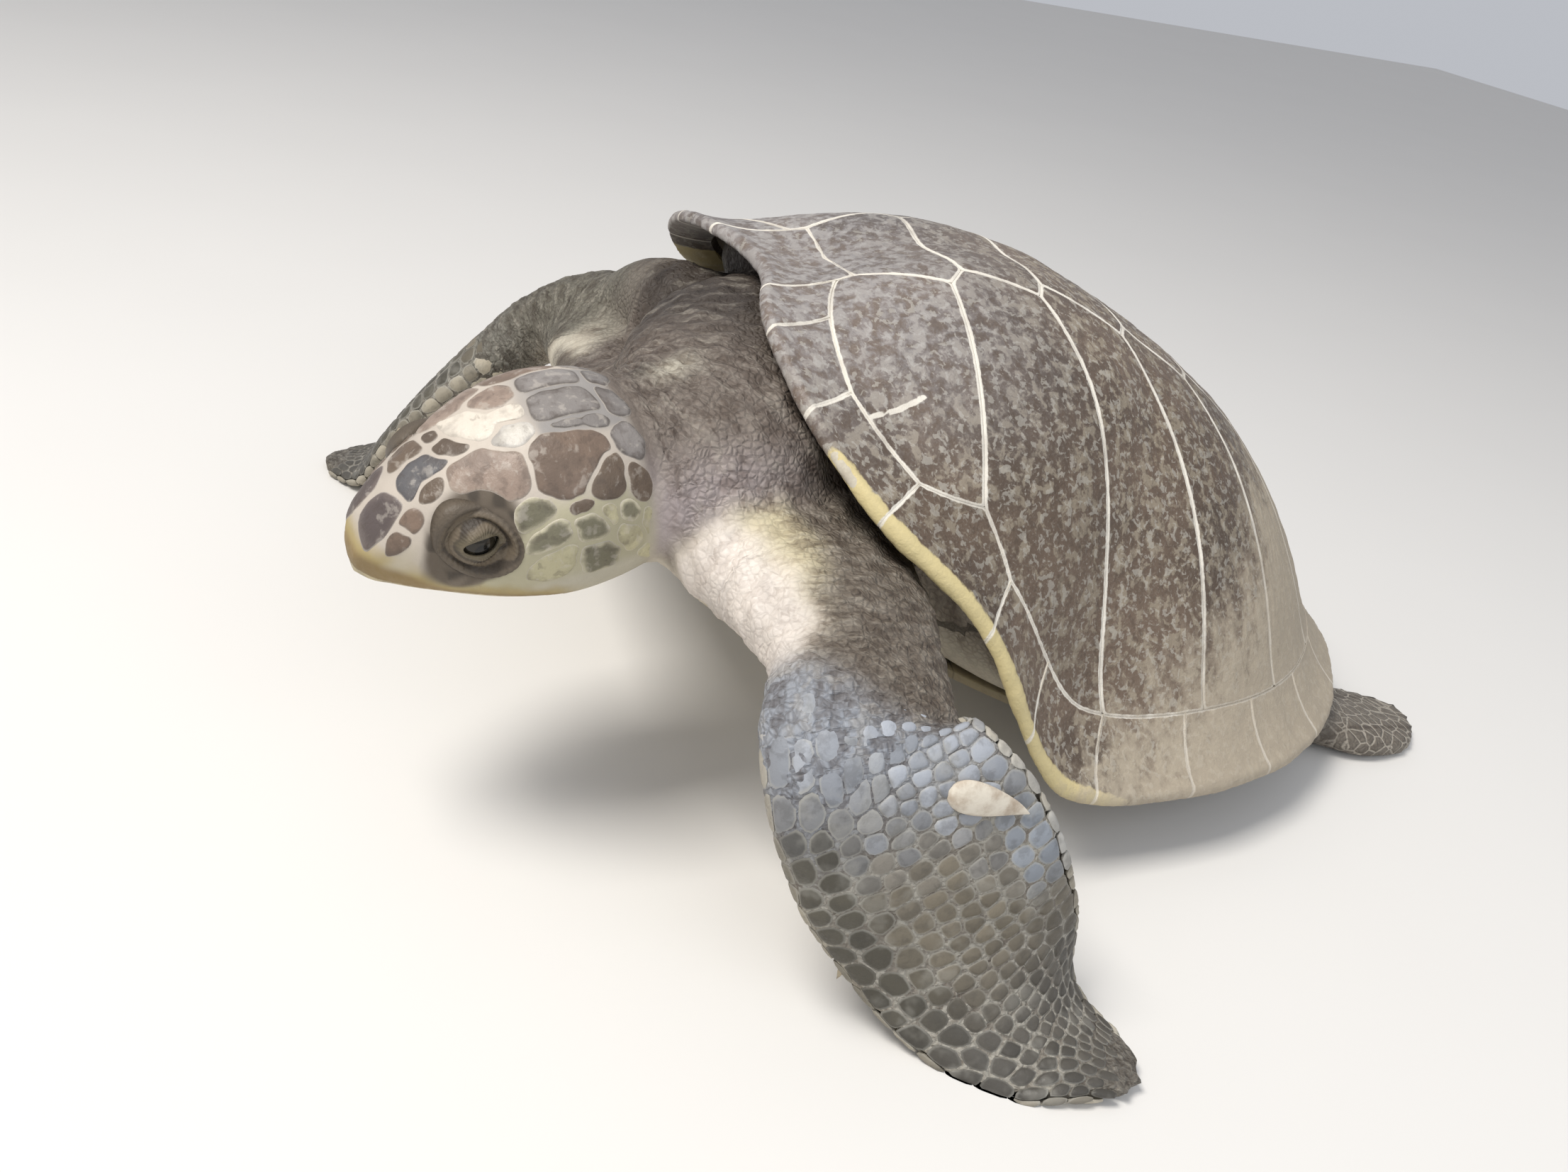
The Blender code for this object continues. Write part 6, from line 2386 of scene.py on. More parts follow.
        top = ease(-0.25, 0.25, np.sin(at_angle) * self.skin.under(self.side))
        tone = self.tones(at_share, np.cos(at_angle), top)
        tone = np.repeat(tone[:, None], 3 * corners + 2, 1).reshape(-1, 3)
        crown = np.concatenate([np.zeros(2 * corners), np.ones(corners), [1.0, 0.0]])
        values = {"tone": tone, "crown": np.tile(crown, count)}
        form = Surface(solid.reshape(-1, 3), (quads + base).reshape(-1, 4),
                       (tris + base).reshape(-1, 3), values)
        return form.outward()


@dataclass(frozen=True)
class LeafScale:
    """The raised, pointed pale scale near the trailing edge of the left flipper."""

    skin: Skin
    root: tuple[float, float] = (0.565, -0.44)
    tip: tuple[float, float] = (0.632, -0.83)
    half_width: float = 0.0115
    half_height: float = 0.0045
    lift: float = 0.0030

    def form(self) -> Surface:
        """Ovals carried along a line over the flipper, full at the root and pointed at the tip.

        Returns:
            The scale, its faces outward.
        """
        limb = self.skin.front_limb("left")
        u = np.linspace(0, 1, 40)
        share = self.root[0] + (self.tip[0] - self.root[0]) * u
        across = self.root[1] + (self.tip[1] - self.root[1]) * u
        turn = np.arccos(across) * self.skin.under("left")
        line = limb.section(share, turn)
        centre, _, face, _, _ = limb.frame_at(share)
        up = unit(face * np.sign(np.sum(face * (line - centre), -1, keepdims=True)))
        along = unit(np.gradient(line, axis=0))
        side = unit(np.cross(along, up))
        up = np.cross(side, along)
        size = np.sin(math.pi * np.clip(u, 0.0, 1.0) ** 0.62) ** 0.75
        size = np.maximum(size * (1 - 0.25 * u), 0.03)[:, None, None]
        angle = circle(36)[:, None]
        oval = (self.half_width * np.cos(angle) * side[:, None]
                + self.half_height * np.sin(angle) * up[:, None])
        lift = self.lift * (0.3 + 1.1 * u)
        return tube((line + up * lift[:, None])[:, None] + size * oval)


# ---------------------------------------------------------------- finishes

# Kinds of socket of the shared groups.
FLOAT = "NodeSocketFloat"
VECTOR = "NodeSocketVector"


class Board:
    """Adds and joins the nodes of one tree."""

    def __init__(self, tree: bpy.types.NodeTree) -> None:
        """Start on a tree."""
        self.tree = tree

    def add(self, kind: str, inputs: dict | None = None, **settings: object) -> bpy.types.Node:
        """Make a node.

        Args:
            kind: Blender's name of the node type.
            inputs: Values or sockets for its inputs, by name or number.
            settings: Its own properties.

        Returns:
            The node.
        """
        node = self.tree.nodes.new(kind)
        for key, value in settings.items():
            setattr(node, key, value)
        for key, value in (inputs or {}).items():
            if isinstance(value, bpy.types.NodeSocket):
                self.tree.links.new(value, node.inputs[key])
            else:
                node.inputs[key].default_value = value
        return node

    def where(self) -> bpy.types.NodeSocket:
        """Object coordinates."""
        return self.add("ShaderNodeTexCoord").outputs["Object"]

    def value(self, name: str) -> bpy.types.NodeSocket:
        """A number stored at each point of the mesh."""
        return self.add("ShaderNodeAttribute", attribute_name=name).outputs["Fac"]

    def colour(self, name: str) -> bpy.types.NodeSocket:
        """A colour stored at each point of the mesh."""
        return self.add("ShaderNodeAttribute", attribute_name=name).outputs["Color"]

    def noise(self, scale: float, detail: float = 4.0, rough: float = 0.55,
              vector: bpy.types.NodeSocket | None = None,
              warp: tuple[float, float] | None = None) -> bpy.types.NodeSocket:
        """Noise from 0 to 1, through the group that every material shares.

        Args:
            scale: Its scale per metre.
            detail: Its octaves.
            rough: How strong the finer octaves are.
            vector: Where it is taken, if not in object space.
            warp: Scale and length of a push that bends it.

        Returns:
            The value's socket.
        """
        inputs = {"Vector": vector or self.where(), "Scale": scale,
                  "Detail": detail, "Roughness": rough}
        if warp:
            inputs |= {"Warp Scale": warp[0], "Warp": warp[1]}
        return self.add("ShaderNodeGroup", inputs,
                        node_tree=noise_group(bool(warp))).outputs["Value"]

    def cells(self, scale: float, vector: bpy.types.NodeSocket) -> bpy.types.NodeSocket:
        """Distance to the edges of Voronoi cells at a scale per metre."""
        return self.add("ShaderNodeTexVoronoi", {"Vector": vector, "Scale": scale},
                        feature="DISTANCE_TO_EDGE").outputs["Distance"]

    def maths(self, operation: str, a: object, b: object) -> bpy.types.NodeSocket:
        """One arithmetic step."""
        return self.add("ShaderNodeMath", {0: a, 1: b}, operation=operation).outputs[0]

    def plus(self, a: object, b: object) -> bpy.types.NodeSocket:
        """Sum of two values."""
        return self.maths("ADD", a, b)

    def minus(self, a: object, b: object) -> bpy.types.NodeSocket:
        """Difference of two values."""
        return self.maths("SUBTRACT", a, b)

    def times(self, a: object, b: object) -> bpy.types.NodeSocket:
        """Product of two values."""
        return self.maths("MULTIPLY", a, b)

    def between(self, value: bpy.types.NodeSocket, low: float, high: float,
                start: float = 0.0, end: float = 1.0) -> bpy.types.NodeSocket:
        """Map low..high to start..end with a smooth step."""
        inputs = {"Value": value, "From Min": low, "From Max": high,
                  "To Min": start, "To Max": end}
        return self.add("ShaderNodeMapRange", inputs,
                        interpolation_type="SMOOTHSTEP").outputs["Result"]

    def mix(self, share: object, a: object, b: object, blend: str = "MIX") -> bpy.types.NodeSocket:
        """Mix two colours."""
        full = [v if isinstance(v, bpy.types.NodeSocket) else (*v, 1.0) for v in (a, b)]
        return self.add("ShaderNodeMix", {0: share, 6: full[0], 7: full[1]},
                        data_type="RGBA", blend_type=blend).outputs[2]

    def blend(self, share: object, a: object, b: object) -> bpy.types.NodeSocket:
        """Mix two values."""
        return self.add("ShaderNodeMix", {0: share, 2: a, 3: b}).outputs[0]

    def warped(self, vector: bpy.types.NodeSocket, scale: object,
               amount: object) -> bpy.types.NodeSocket:
        """A vector pushed about by noise, through the group that every material shares."""
        return self.add("ShaderNodeGroup", {"Vector": vector, "Scale": scale, "Amount": amount},
                        node_tree=warp_group()).outputs["Vector"]


def new_group(name: str, inputs: dict[str, str],
              output: tuple[str, str]) -> tuple[bpy.types.NodeTree, Board, bpy.types.NodeOutputs]:
    """An empty shader group.

    Args:
        name: Its name.
        inputs: Its inputs, each a name and a kind of socket.
        output: Name and kind of its output.

    Returns:
        The group's tree, a board on it, and the sockets that its inputs arrive at.
    """
    tree = bpy.data.node_groups.new(name, "ShaderNodeTree")
    for label, kind in inputs.items():
        tree.interface.new_socket(label, in_out="INPUT", socket_type=kind)
    tree.interface.new_socket(output[0], in_out="OUTPUT", socket_type=output[1])
    board = Board(tree)
    return tree, board, board.add("NodeGroupInput").outputs


@functools.cache
def warp_group() -> bpy.types.NodeTree:
    """The shared group that pushes a vector: the vector plus an amount of noise about zero.

    Returns:
        The group's tree.
    """
    tree, b, given = new_group("warp", {"Vector": VECTOR, "Scale": FLOAT, "Amount": FLOAT},
                               ("Vector", VECTOR))
    push = b.add("ShaderNodeTexNoise",
                 {"Vector": given["Vector"], "Scale": given["Scale"], "Detail": 3.0})
    centred = b.add("ShaderNodeVectorMath", {0: push.outputs["Color"], 1: (0.5, 0.5, 0.5)},
                    operation="SUBTRACT").outputs[0]
    sized = b.add("ShaderNodeVectorMath", {0: centred, "Scale": given["Amount"]},
                  operation="SCALE").outputs[0]
    moved = b.add("ShaderNodeVectorMath", {0: given["Vector"], 1: sized}, operation="ADD")
    b.add("NodeGroupOutput", {"Vector": moved.outputs[0]})
    return tree


@functools.cache
def noise_group(warped: bool) -> bpy.types.NodeTree:
    """The shared group of noise: plain grain, or mottle bent by a second noise.

    Args:
        warped: Whether it is bent.

    Returns:
        The group's tree.
    """
    inputs = {"Vector": VECTOR, "Scale": FLOAT, "Detail": FLOAT, "Roughness": FLOAT}
    if warped:
        inputs |= {"Warp Scale": FLOAT, "Warp": FLOAT}
    tree, b, given = new_group("mottle" if warped else "grain", inputs, ("Value", FLOAT))
    vector = given["Vector"]
    if warped:
        vector = b.warped(vector, given["Warp Scale"], given["Warp"])
    steady = {name: given[name] for name in ("Scale", "Detail", "Roughness")}
    made = b.add("ShaderNodeTexNoise", {"Vector": vector} | steady)
    b.add("NodeGroupOutput", {"Value": made.outputs["Fac"]})
    return tree


def new_material(name: str, roughness: float) -> tuple[bpy.types.Material, Board, bpy.types.Node]:
    """A material, a board on its tree, and its Principled shader.

    Args:
        name: The material's name.
        roughness: Its roughness, unless something is joined to it.

    Returns:
        The material, the board and the shader.
    """
    made = bpy.data.materials.new(name)
    made.use_nodes = True
    shader = made.node_tree.nodes["Principled BSDF"]
    shader.inputs["Roughness"].default_value = roughness
    shader.inputs["Specular IOR Level"].default_value = 0.3
    return made, Board(made.node_tree), shader


def join(board: Board, shader: bpy.types.Node, colour: object = None, rough: object = None,
         height: bpy.types.NodeSocket | None = None, depth: float = 0.001) -> None:
    """Feed a shader its colour, its roughness and a bump.

    Args:
        board: The material's board.
        shader: Its Principled shader.
        colour: Socket of its colour.
        rough: Socket of its roughness.
        height: Socket of the bump's height.
        depth: The bump's depth in metres.
    """
    links = board.tree.links
    if colour is not None:
        links.new(colour, shader.inputs["Base Color"])
    if rough is not None:
        links.new(rough, shader.inputs["Roughness"])
    if height is not None:
        made = board.add("ShaderNodeBump", {"Height": height, "Strength": 1.0, "Distance": depth})
        links.new(made.outputs["Normal"], shader.inputs["Normal"])


@dataclass(frozen=True)
class ScuteFinish:
    """Warm grey-brown horn, flecked olive, with pale seams and dried sand towards the tail."""

    brown: Colour = (0.138, 0.098, 0.070)
    dark: Colour = (0.075, 0.053, 0.038)
    fleck: Colour = (0.300, 0.255, 0.190)
    glint: Colour = (0.40, 0.375, 0.325)
    seam: Colour = (0.70, 0.655, 0.575)
    rim: Colour = (0.60, 0.50, 0.26)
    sand: Colour = (0.42, 0.36, 0.275)
    # Painted sheen laid over the shell's top front.
    sheen: Colour = (0.335, 0.325, 0.335)
    seam_width: float = 0.0019
    rim_width: float = 0.0065

    def build(self) -> bpy.types.Material:
        """Warped noise mixes brown, dark and flecks; sheen, rim, dried sand and seams go over.

        Returns:
            The finished material.
        """
        made, b, shader = new_material("scute_horn", 0.5)
        broad = b.noise(8.0, 4.0, 0.6, warp=(6.0, 0.06))
        mottle = b.noise(100.0, 3.0, 0.55, warp=(90.0, 0.014))
        curl = b.noise(170.0, 2.0, 0.5, warp=(120.0, 0.012))
        fine = b.noise(460.0, 3.0, 0.6)
        colour = b.mix(b.between(broad, 0.35, 0.68), self.brown, self.dark)
        colour = b.mix(b.between(mottle, 0.49, 0.60, 0.0, 0.62), colour, self.fleck)
        colour = b.mix(b.between(curl, 0.55, 0.62, 0.0, 0.50), colour, self.glint)
        colour = b.mix(b.between(curl, 0.42, 0.34, 0.0, 0.45), colour, self.dark)
        tint = b.between(b.value("tint"), 0.0, 1.0, 0.88, 1.12)
        grey = b.add("ShaderNodeCombineColor", {0: tint, 1: tint, 2: tint}).outputs[0]
        colour = b.mix(1.0, colour, grey, "MULTIPLY")
        colour = b.mix(b.between(fine, 0.5, 0.78, 0.0, 0.22), colour, self.glint)
        # Painted sheen: the top front of the shell, high up and towards the head, is lightened to
        # a pale bluish grey, broken up by the mottle.
        split = b.add("ShaderNodeSeparateXYZ", {0: b.where()})
        high = b.between(split.outputs["Z"], 0.255, 0.355)
        front = b.between(split.outputs["Y"], 0.08, -0.14)
        breakup = b.between(mottle, 0.35, 0.6, 0.15, 0.60)
        sheen = b.times(b.times(high, front), breakup)
        colour = b.mix(sheen, colour, self.sheen)
        edge, rim = b.value("edge"), b.value("rim")
        wobble = b.times(b.minus(b.noise(150.0, 3.0), 0.5), 0.0022)
        seam = b.between(b.plus(edge, wobble),
                         self.seam_width - 0.0003, self.seam_width + 0.0005, 1.0, 0.0)
        lip = b.between(b.plus(rim, b.times(wobble, 3.0)),
                        self.rim_width - 0.0012, self.rim_width + 0.0014, 1.0, 0.0)
        colour = b.mix(b.times(lip, 0.95), colour, self.rim)
        sand = self.dried_sand(b)
        colour = b.mix(sand, colour, self.sand)
        breakup = b.between(b.noise(26.0, 3.0), 0.30, 0.60, 0.62, 1.0)
        faded = b.minus(1.0, b.times(sand, 0.75))
        colour = b.mix(b.times(b.times(seam, breakup), faded), colour, self.seam)
        rough = b.between(mottle, 0.3, 0.7, 0.38, 0.56)
        rough = b.plus(rough, b.times(sand, 0.35))
        height = b.plus(b.times(mottle, 0.5), b.times(curl, 0.5))
        height = b.plus(height, b.times(fine, 0.3))
        height = b.plus(height, b.times(sand, 0.5))
        join(b, shader, colour, rough, height, 0.0011)
        return made

    def dried_sand(self, b: Board) -> bpy.types.NodeSocket:
        """Share of dried sand: none over the shoulders, streaked, and a film towards the tail.

        Args:
            b: The material's board.

        Returns:
            The share's socket.
        """
        split = b.add("ShaderNodeSeparateXYZ", {0: b.where()})
        streaks = b.add("ShaderNodeMapping", {"Vector": b.warped(b.where(), 12.0, 0.03),
                                              "Scale": (1.0, 1.0, 0.16)}).outputs[0]
        run = b.noise(75.0, 5.0, 0.62, streaks)
        patch = b.noise(9.0, 4.0, 0.6, warp=(14.0, 0.04))
        grain = b.noise(160.0, 4.0, 0.65)
        level = b.minus(split.outputs["Y"], b.times(split.outputs["Z"], 1.25))
        back = b.between(level, -0.22, 0.12)
        amount = b.plus(b.times(back, 0.50), b.times(patch, 0.50))
        amount = b.plus(amount, b.times(run, 0.60))
        amount = b.plus(amount, b.times(grain, 0.16))
        film = b.between(amount, 0.73, 1.02)
        return b.times(film, b.between(level, -0.24, -0.10, 0.0, 0.78))


@dataclass(frozen=True)
class SkinFinish:
    """Leathery hide: its stored colour, wrinkles on neck and limbs with painted shade and
    highlights, a mesh of small scales.
    """

    # Pale colour: a painted highlight on the ridges of the folds, and the lines between the rear
    # flippers' scales.
    ridge_highlight_and_scale_line: Colour = (0.40, 0.36, 0.30)
    shadow: Colour = (0.045, 0.036, 0.030)
    # Multiplied into the hollows of the folds as painted shade.
    crease_shade: Colour = (0.50, 0.45, 0.42)
    # Scales of the wrinkles per metre, on the neck and on the front limbs.
    broad_scales: tuple[float, float] = (150.0, 170.0)
    thin_scales: tuple[float, float] = (330.0, 360.0)
    drawn_out: float = 0.33

    def wrinkles(self, b: Board, flow: str, scale: float) -> bpy.types.NodeSocket:
        """Noise drawn out across a limb, in lengths stored along and across it.

        Args:
            b: The material's board.
            flow: Name of the stored lengths.
            scale: The noise's scale per metre.

        Returns:
            The value's socket.
        """
        stored = b.add("ShaderNodeAttribute", attribute_name=flow).outputs["Vector"]
        scales = (1.0, self.drawn_out, self.drawn_out)
        vector = b.add("ShaderNodeMapping", {"Vector": stored, "Scale": scales}).outputs[0]
        return b.noise(scale, 3.0, 0.55, vector)

    def build(self) -> bpy.types.Material:
        """The stored colour, darkened by broad noise; then painted shade in folds and creases,
        painted highlights on ridges, and cells.

        Returns:
            The finished material.
        """
        made, b, shader = new_material("hide", 0.6)
        tone = b.colour("tone")
        scaly, facial, limb = b.value("scaly"), b.value("facial"), b.value("limb")
        broad = b.noise(14.0, 4.0, 0.6, warp=(9.0, 0.03))
        fine = b.noise(260.0, 4.0, 0.6)
        broad_folds, thin_folds = (
            b.blend(limb, self.wrinkles(b, "neck_flow", neck), self.wrinkles(b, "limb_flow", arm))
            for neck, arm in (self.broad_scales, self.thin_scales))
        loose = b.minus(1.0, facial)
        light = b.add("ShaderNodeRGBToBW", {"Color": tone}).outputs[0]
        loose = b.times(loose, b.between(light, 0.30, 0.52, 1.0, 0.38))
        colour = b.mix(b.between(broad, 0.35, 0.7, 0.0, 0.40), tone, b.mix(0.5, tone, self.shadow))
        small = b.cells(190.0, b.warped(b.where(), 60.0, 0.006))
        # Painted shade: the creases along the edges of small cells, darkened towards the shadow
        # colour further on.
        crease_shade = b.between(small, 0.0, 0.16, 1.0, 0.0)
        # Painted shade: the hollows of the broad folds are darkened by multiplying in the crease
        # colour.
        fold = b.times(b.between(broad_folds, 0.51, 0.40), loose)
        colour = b.mix(b.times(fold, 0.66), colour, self.crease_shade, "MULTIPLY")
        # Painted highlight on the ridges of the broad folds.
        ridge = b.times(b.between(broad_folds, 0.53, 0.66, 0.0, 0.28), loose)
        colour = b.mix(ridge, colour, self.ridge_highlight_and_scale_line)
        # Painted shade: the hollows of the thin folds are darkened the same way.
        line = b.times(b.between(thin_folds, 0.48, 0.38, 0.0, 0.55), loose)
        colour = b.mix(line, colour, self.crease_shade, "MULTIPLY")
        # Painted shade in the creases between small cells.
        colour = b.mix(b.times(b.times(crease_shade, loose), 0.32), colour, self.shadow)
        big = b.cells(78.0, b.warped(b.where(), 30.0, 0.006))
        scale_line = b.times(b.between(big, 0.02, 0.09, 0.75, 0.0), scaly)
        colour = b.mix(scale_line, colour, self.ridge_highlight_and_scale_line)
        rough = b.between(fine, 0.3, 0.7, 0.5, 0.68)
        height = b.times(b.plus(broad_folds, b.times(thin_folds, 0.4)), b.times(loose, 3.4))
        height = b.plus(height, b.times(b.between(small, 0.0, 0.3), b.times(loose, 0.7)))
        height = b.plus(height, b.times(b.between(big, 0.0, 0.16), scaly))
        height = b.plus(height, b.times(fine, 0.25))
        join(b, shader, colour, rough, height, 0.0010)
        return made


@dataclass(frozen=True)
class ShieldFinish:
    """Horny head shields in their own colours, clouded and rubbed."""

    pale: Colour = (0.52, 0.47, 0.41)
    dark: Colour = (0.070, 0.052, 0.042)
    sheen: Colour = (0.42, 0.44, 0.47)

    def build(self) -> bpy.types.Material:
        """The shield's own colour, clouded by warped noise, and paler along its border.

        Returns:
            The finished material.
        """
        made, b, shader = new_material("head_horn", 0.42)
        tone = b.colour("tone")
        cloud = b.noise(48.0, 4.0, 0.6, warp=(30.0, 0.016))
        curl = b.noise(120.0, 3.0, 0.55, warp=(70.0, 0.010))
        fine = b.noise(500.0, 3.0, 0.6)
        colour = b.mix(b.between(cloud, 0.46, 0.64, 0.0, 0.55), tone, b.mix(0.6, tone, self.dark))
        colour = b.mix(b.between(curl, 0.54, 0.66, 0.0, 0.30), colour, self.pale)
        colour = b.mix(b.between(curl, 0.44, 0.34, 0.0, 0.30), colour, self.dark)
        rim = b.between(b.value("edge"), 0.0002, 0.0010, 0.55, 0.0)
        colour = b.mix(rim, colour, self.pale)
        rough = b.between(cloud, 0.3, 0.7, 0.34, 0.52)
        height = b.plus(b.plus(cloud, curl), b.times(fine, 0.4))
        join(b, shader, colour, rough, height, 0.0007)
        return made


@dataclass(frozen=True)
class ScaleFinish:
    """Leathery flipper scales in their own colours, pale along their borders."""

    border: Colour = (0.40, 0.385, 0.34)
    dark: Colour = (0.05, 0.046, 0.04)

    def build(self) -> bpy.types.Material:
        """The scale's own colour, clouded by warped noise, and paler along its border.

        Returns:
            The finished material.
        """
        made, b, shader = new_material("flipper_scale", 0.5)
        tone = b.colour("tone")
        cloud = b.noise(95.0, 4.0, 0.6, warp=(60.0, 0.01))
        fine = b.noise(480.0, 3.0, 0.6)
        colour = b.mix(b.between(cloud, 0.46, 0.64, 0.0, 0.55), tone, b.mix(0.55, tone, self.dark))
        colour = b.mix(b.between(b.noise(40.0, 3.0), 0.52, 0.68, 0.0, 0.22), colour, self.border)
        rim = b.between(b.value("crown"), 0.15, 0.60, 0.40, 0.0)
        breakup = b.between(b.noise(22.0, 2.0), 0.35, 0.6, 0.25, 1.0)
        colour = b.mix(b.times(rim, breakup), colour, self.border)
        rough = b.between(fine, 0.3, 0.7, 0.42, 0.6)
        join(b, shader, colour, rough, b.plus(cloud, b.times(fine, 0.4)), 0.0006)
        return made


@dataclass(frozen=True)
class EyeFinish:
    """A dark wet eye: a round black pupil in an olive-black iris."""

    iris: Colour = (0.022, 0.018, 0.012)
    pupil: Colour = (0.004, 0.004, 0.004)
    white: Colour = (0.10, 0.085, 0.065)

    def build(self) -> bpy.types.Material:
        """Pupil, iris and white by the angle off the axis, under a thin wet coat.

        Returns:
            The finished material.
        """
        made, b, shader = new_material("wet_eye", 0.06)
        off = b.value("off_axis")
        colour = b.mix(b.between(off, 0.30, 0.36), self.pupil, self.iris)
        colour = b.mix(b.between(off, 0.78, 0.86), colour, self.white)
        join(b, shader, colour)
        shader.inputs["Coat Weight"].default_value = 0.3
        shader.inputs["Coat Roughness"].default_value = 0.12
        return made


@dataclass(frozen=True)
class LidFinish:
    """Dusky brown-grey lids, with painted shade in the hollows of their folds."""

    ridge: Colour = (0.140, 0.110, 0.076)
    # Painted shade in the hollows of the lids' folds.
    hollow: Colour = (0.050, 0.039, 0.029)
    outer: Colour = (0.112, 0.089, 0.066)
    inner: Colour = (0.130, 0.108, 0.068)

    def build(self) -> bpy.types.Material:
        """Hollow to ridge by the stored fold, the hollows darkened as painted shade, tinted
        towards the opening and the outer edge.

        Returns:
            The finished material.
        """
        made, b, shader = new_material("eyelid", 0.5)
        cloud = b.noise(70.0, 4.0, 0.6, warp=(40.0, 0.012))
        fold = b.plus(b.value("fold"), b.times(b.minus(cloud, 0.5), 0.9))
        fold = b.between(fold, 0.00, 0.60)
        # Painted shade: the hollows of the lids' folds are darkened, broken up by noise.
        colour = b.mix(fold, self.hollow, self.ridge)
        colour = b.mix(b.between(b.value("reach"), 0.32, 0.10, 0.0, 0.7), colour, self.inner)
        colour = b.mix(b.between(b.value("reach"), 0.50, 0.90, 0.0, 0.92), colour, self.outer)
        fine = b.noise(380.0, 4.0, 0.6)
        colour = b.mix(b.between(fine, 0.5, 0.75, 0.0, 0.35), colour, self.hollow)
        join(b, shader, colour, None, b.plus(fine, cloud), 0.0006)
        return made


@dataclass(frozen=True)
class HornFinish:
    """Streaked horn, for the lower beak, the claws and the seams' bed."""

    name: str
    light: Colour
    dark: Colour
    scale: float = 90.0
    roughness: float = 0.42

    def build(self) -> bpy.types.Material:
        """Light to dark by warped noise, with a fine bump.

        Returns:
            The finished material.
        """
        made, b, shader = new_material(self.name, self.roughness)
        streak = b.noise(self.scale, 5.0, 0.6, warp=(20.0, 0.01))
        fine = b.noise(450.0, 3.0, 0.6)
        colour = b.mix(b.between(streak, 0.38, 0.68), self.light, self.dark)
        rough = b.between(fine, 0.3, 0.7, self.roughness - 0.05, self.roughness + 0.12)
        join(b, shader, colour, rough, b.plus(streak, b.times(fine, 0.5)), 0.0004)
        return made


@dataclass(frozen=True)
class PlastronFinish:
    """Cream belly shell with dusky seams and scuffs."""

    cream: Colour = (0.60, 0.54, 0.40)
    grey: Colour = (0.40, 0.36, 0.29)
    seam: Colour = (0.26, 0.23, 0.18)

    def build(self) -> bpy.types.Material:
        """Cream to grey by warped noise, with seams by the distance to the nearest one.

        Returns:
            The finished material.
        """
        made, b, shader = new_material("belly_shell", 0.5)
        cloud = b.noise(16.0, 5.0, 0.6, warp=(10.0, 0.04))
        fine = b.noise(300.0, 4.0, 0.6)
        colour = b.mix(b.between(cloud, 0.4, 0.7, 0.0, 0.8), self.cream, self.grey)
        colour = b.mix(b.between(b.value("edge"), 0.0006, 0.0022, 0.8, 0.0), colour, self.seam)
        join(b, shader, colour, b.between(fine, 0.3, 0.7, 0.45, 0.6), fine, 0.0005)
        return made


# ---------------------------------------------------------------- studio

@dataclass(frozen=True)
class Lamp:
    """A square area light at a place, turned to face another."""

    name: str
    at: tuple[float, float, float]
    towards: tuple[float, float, float]
    size: float
    watts: float
    colour: Colour

    def build(self) -> None:
        """Hang it."""
        data = bpy.data.lights.new(self.name, "AREA")
        data.size, data.energy, data.color = self.size, self.watts, self.colour
        lamp = bpy.data.objects.new(self.name, data)
        back = unit(np.array(self.at) - np.array(self.towards))
        side = unit(np.cross([0, 0, 1.0], back))
        turn = np.stack([side, np.cross(back, side), back], 1)
        lamp.matrix_world = Matrix.Translation(self.at) @ Matrix(turn.tolist()).to_4x4()
        bpy.context.scene.collection.objects.link(lamp)


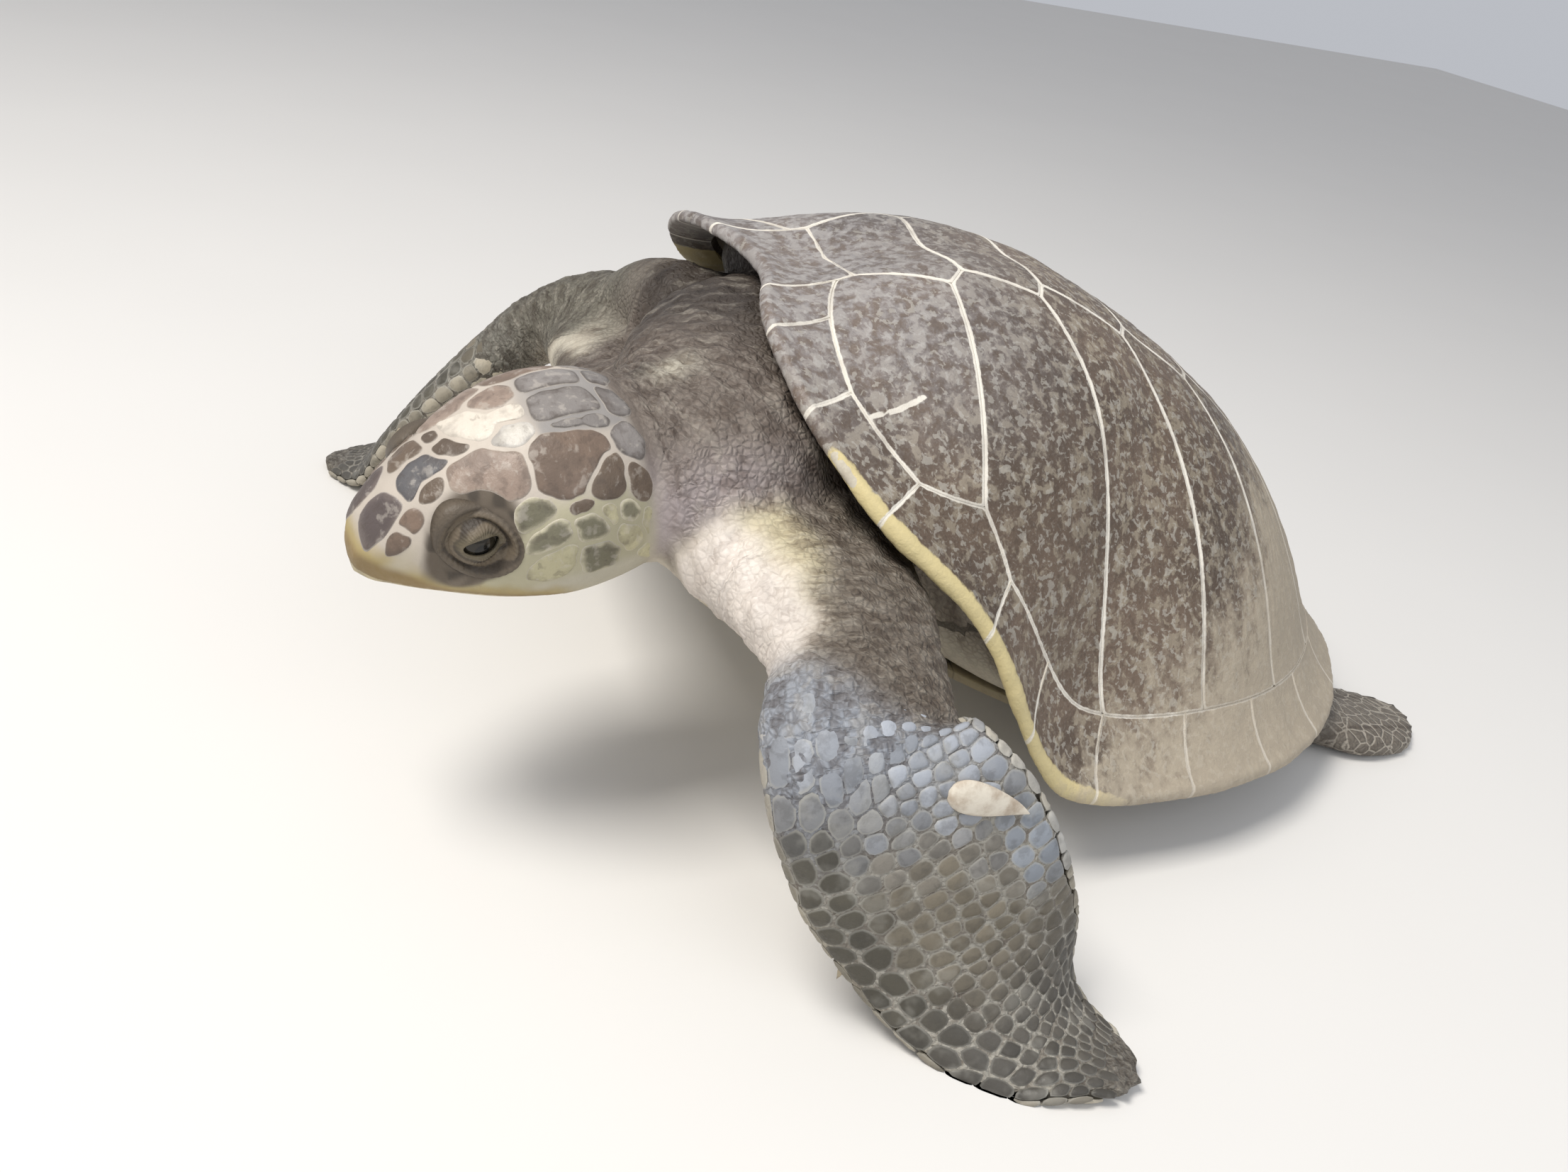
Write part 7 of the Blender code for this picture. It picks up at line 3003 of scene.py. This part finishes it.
@dataclass(frozen=True)
class Studio:
    """Pale floor, soft lights and the camera."""

    place: Place
    # The camera's lens in millimetres, its place, and its turns about X, Y and Z in degrees.
    lens: float = 30.11
    eye: tuple[float, float, float] = (0.89502, -0.53201, 0.62343)
    turns: tuple[float, float, float] = (59.4710, -10.1275, 72.4953)
    lamps: tuple[Lamp, ...] = (
        Lamp("key", (0.3, -1.6, 2.9), (0.1, -0.1, 0.15), 1.1, 95.0, (1.0, 0.97, 0.92)),
        Lamp("fill", (2.2, 0.5, 1.5), (0.1, 0.0, 0.15), 2.2, 20.0, (0.90, 0.95, 1.0)))
    floor_colour: Colour = (0.72, 0.70, 0.67)
    floor_reach: float = 6.0
    world_colour: Colour = (0.90, 0.93, 1.0)
    world_strength: float = 0.55

    def floor(self) -> None:
        """A wide square floor with a faint grain."""
        points = np.array([[-1, -1, 0], [1, -1, 0], [1, 1, 0], [-1, 1, 0]]) * self.floor_reach
        made = Surface(points, np.array([[0, 1, 2, 3]])).to_object("studio_floor")
        material, b, shader = new_material("studio_floor", 0.8)
        darker = tuple(c * 0.97 for c in self.floor_colour)
        join(b, shader, b.mix(b.noise(3.0, 2.0), self.floor_colour, darker))
        made.data.materials.append(material)

    def camera(self) -> None:
        """The camera, from its place and its turns."""
        data = bpy.data.cameras.new("view")
        data.lens, data.sensor_width, data.sensor_fit = self.lens, 36.0, "HORIZONTAL"
        data.clip_start = 0.01
        made = bpy.data.objects.new("view", data)
        made.rotation_euler = [math.radians(turn) for turn in self.turns]
        made.location = np.array(self.eye) + self.place.shift
        bpy.context.scene.collection.objects.link(made)
        bpy.context.scene.camera = made

    def build(self) -> None:
        """Set the stage."""
        self.floor()
        for lamp in self.lamps:
            lamp.build()
        world = bpy.data.worlds.new("soft_sky")
        world.use_nodes = True
        background = world.node_tree.nodes["Background"]
        background.inputs["Color"].default_value = (*self.world_colour, 1.0)
        background.inputs["Strength"].default_value = self.world_strength
        bpy.context.scene.world = world
        bpy.context.scene.view_settings.view_transform = "Standard"
        self.camera()


# ---------------------------------------------------------------- assembly

# Share of the head's length, distance from its middle, and height of the solid eyes.
SOLID_EYE = (0.655, 0.0430, 0.0200)


def place_over_solids() -> Place:
    """The pose, shifted so that the left solid eye lies where the head's form has it.

    Returns:
        The place of the body frame.
    """
    low, high = (np.array(v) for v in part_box("eye_left"))
    shift = (low + high) / 2 - HeadForm(Place()).point(*SOLID_EYE)
    LOG.info("body shift %s", shift)
    return Place(shift=tuple(shift))


FLESH = ("trunk", "head", "neck", "upper_arm_left", "upper_arm_right", "front_flipper_left",
         "front_flipper_right", "rear_flipper_left", "rear_flipper_right", "tail")


def main() -> None:
    """Build the turtle and its stage."""
    logging.basicConfig(level=logging.INFO, format="%(name)s %(message)s")
    place = place_over_solids()
    head = HeadForm(place)
    shell = Shell(place)
    bed = HornFinish("seam_bed", (0.56, 0.51, 0.41), (0.42, 0.37, 0.29), roughness=0.6)
    shell.build(ScuteFinish().build(), bed.build())
    skin = Skin(place, shell.dome, head)
    skin.build(SkinFinish().build(), FLESH)
    Eyes(head).build(EyeFinish().build(), LidFinish().build())
    Shields(head).build(ShieldFinish().build())
    jaw = HornFinish("lower_beak", (0.50, 0.42, 0.25), (0.30, 0.24, 0.14))
    keep(Jaw(head).form().to_object("beak_lower", 60), jaw.build(), "horn", "lower_jaw")
    belly = Plastron(place).form().to_object("belly_shell", 60)
    keep(belly, PlastronFinish().build(), "belly", "plastron")
    finish = ScaleFinish().build()
    for side, _ in SIDES:
        scales = FlipperScales(skin, side).form().to_object(f"flipper_scales_{side}", 70)
        keep(scales, finish, "skin")
    leaf = HornFinish("pale_scale", (0.66, 0.60, 0.50), (0.40, 0.32, 0.24), 70.0)
    keep(LeafScale(skin).form().to_object("raised_scale"), leaf.build(), "horn")
    Claws(skin).build(HornFinish("claw_horn", (0.38, 0.32, 0.22), (0.16, 0.13, 0.10)).build())
    Studio(place).build()


if __name__ == "__main__":
    main()
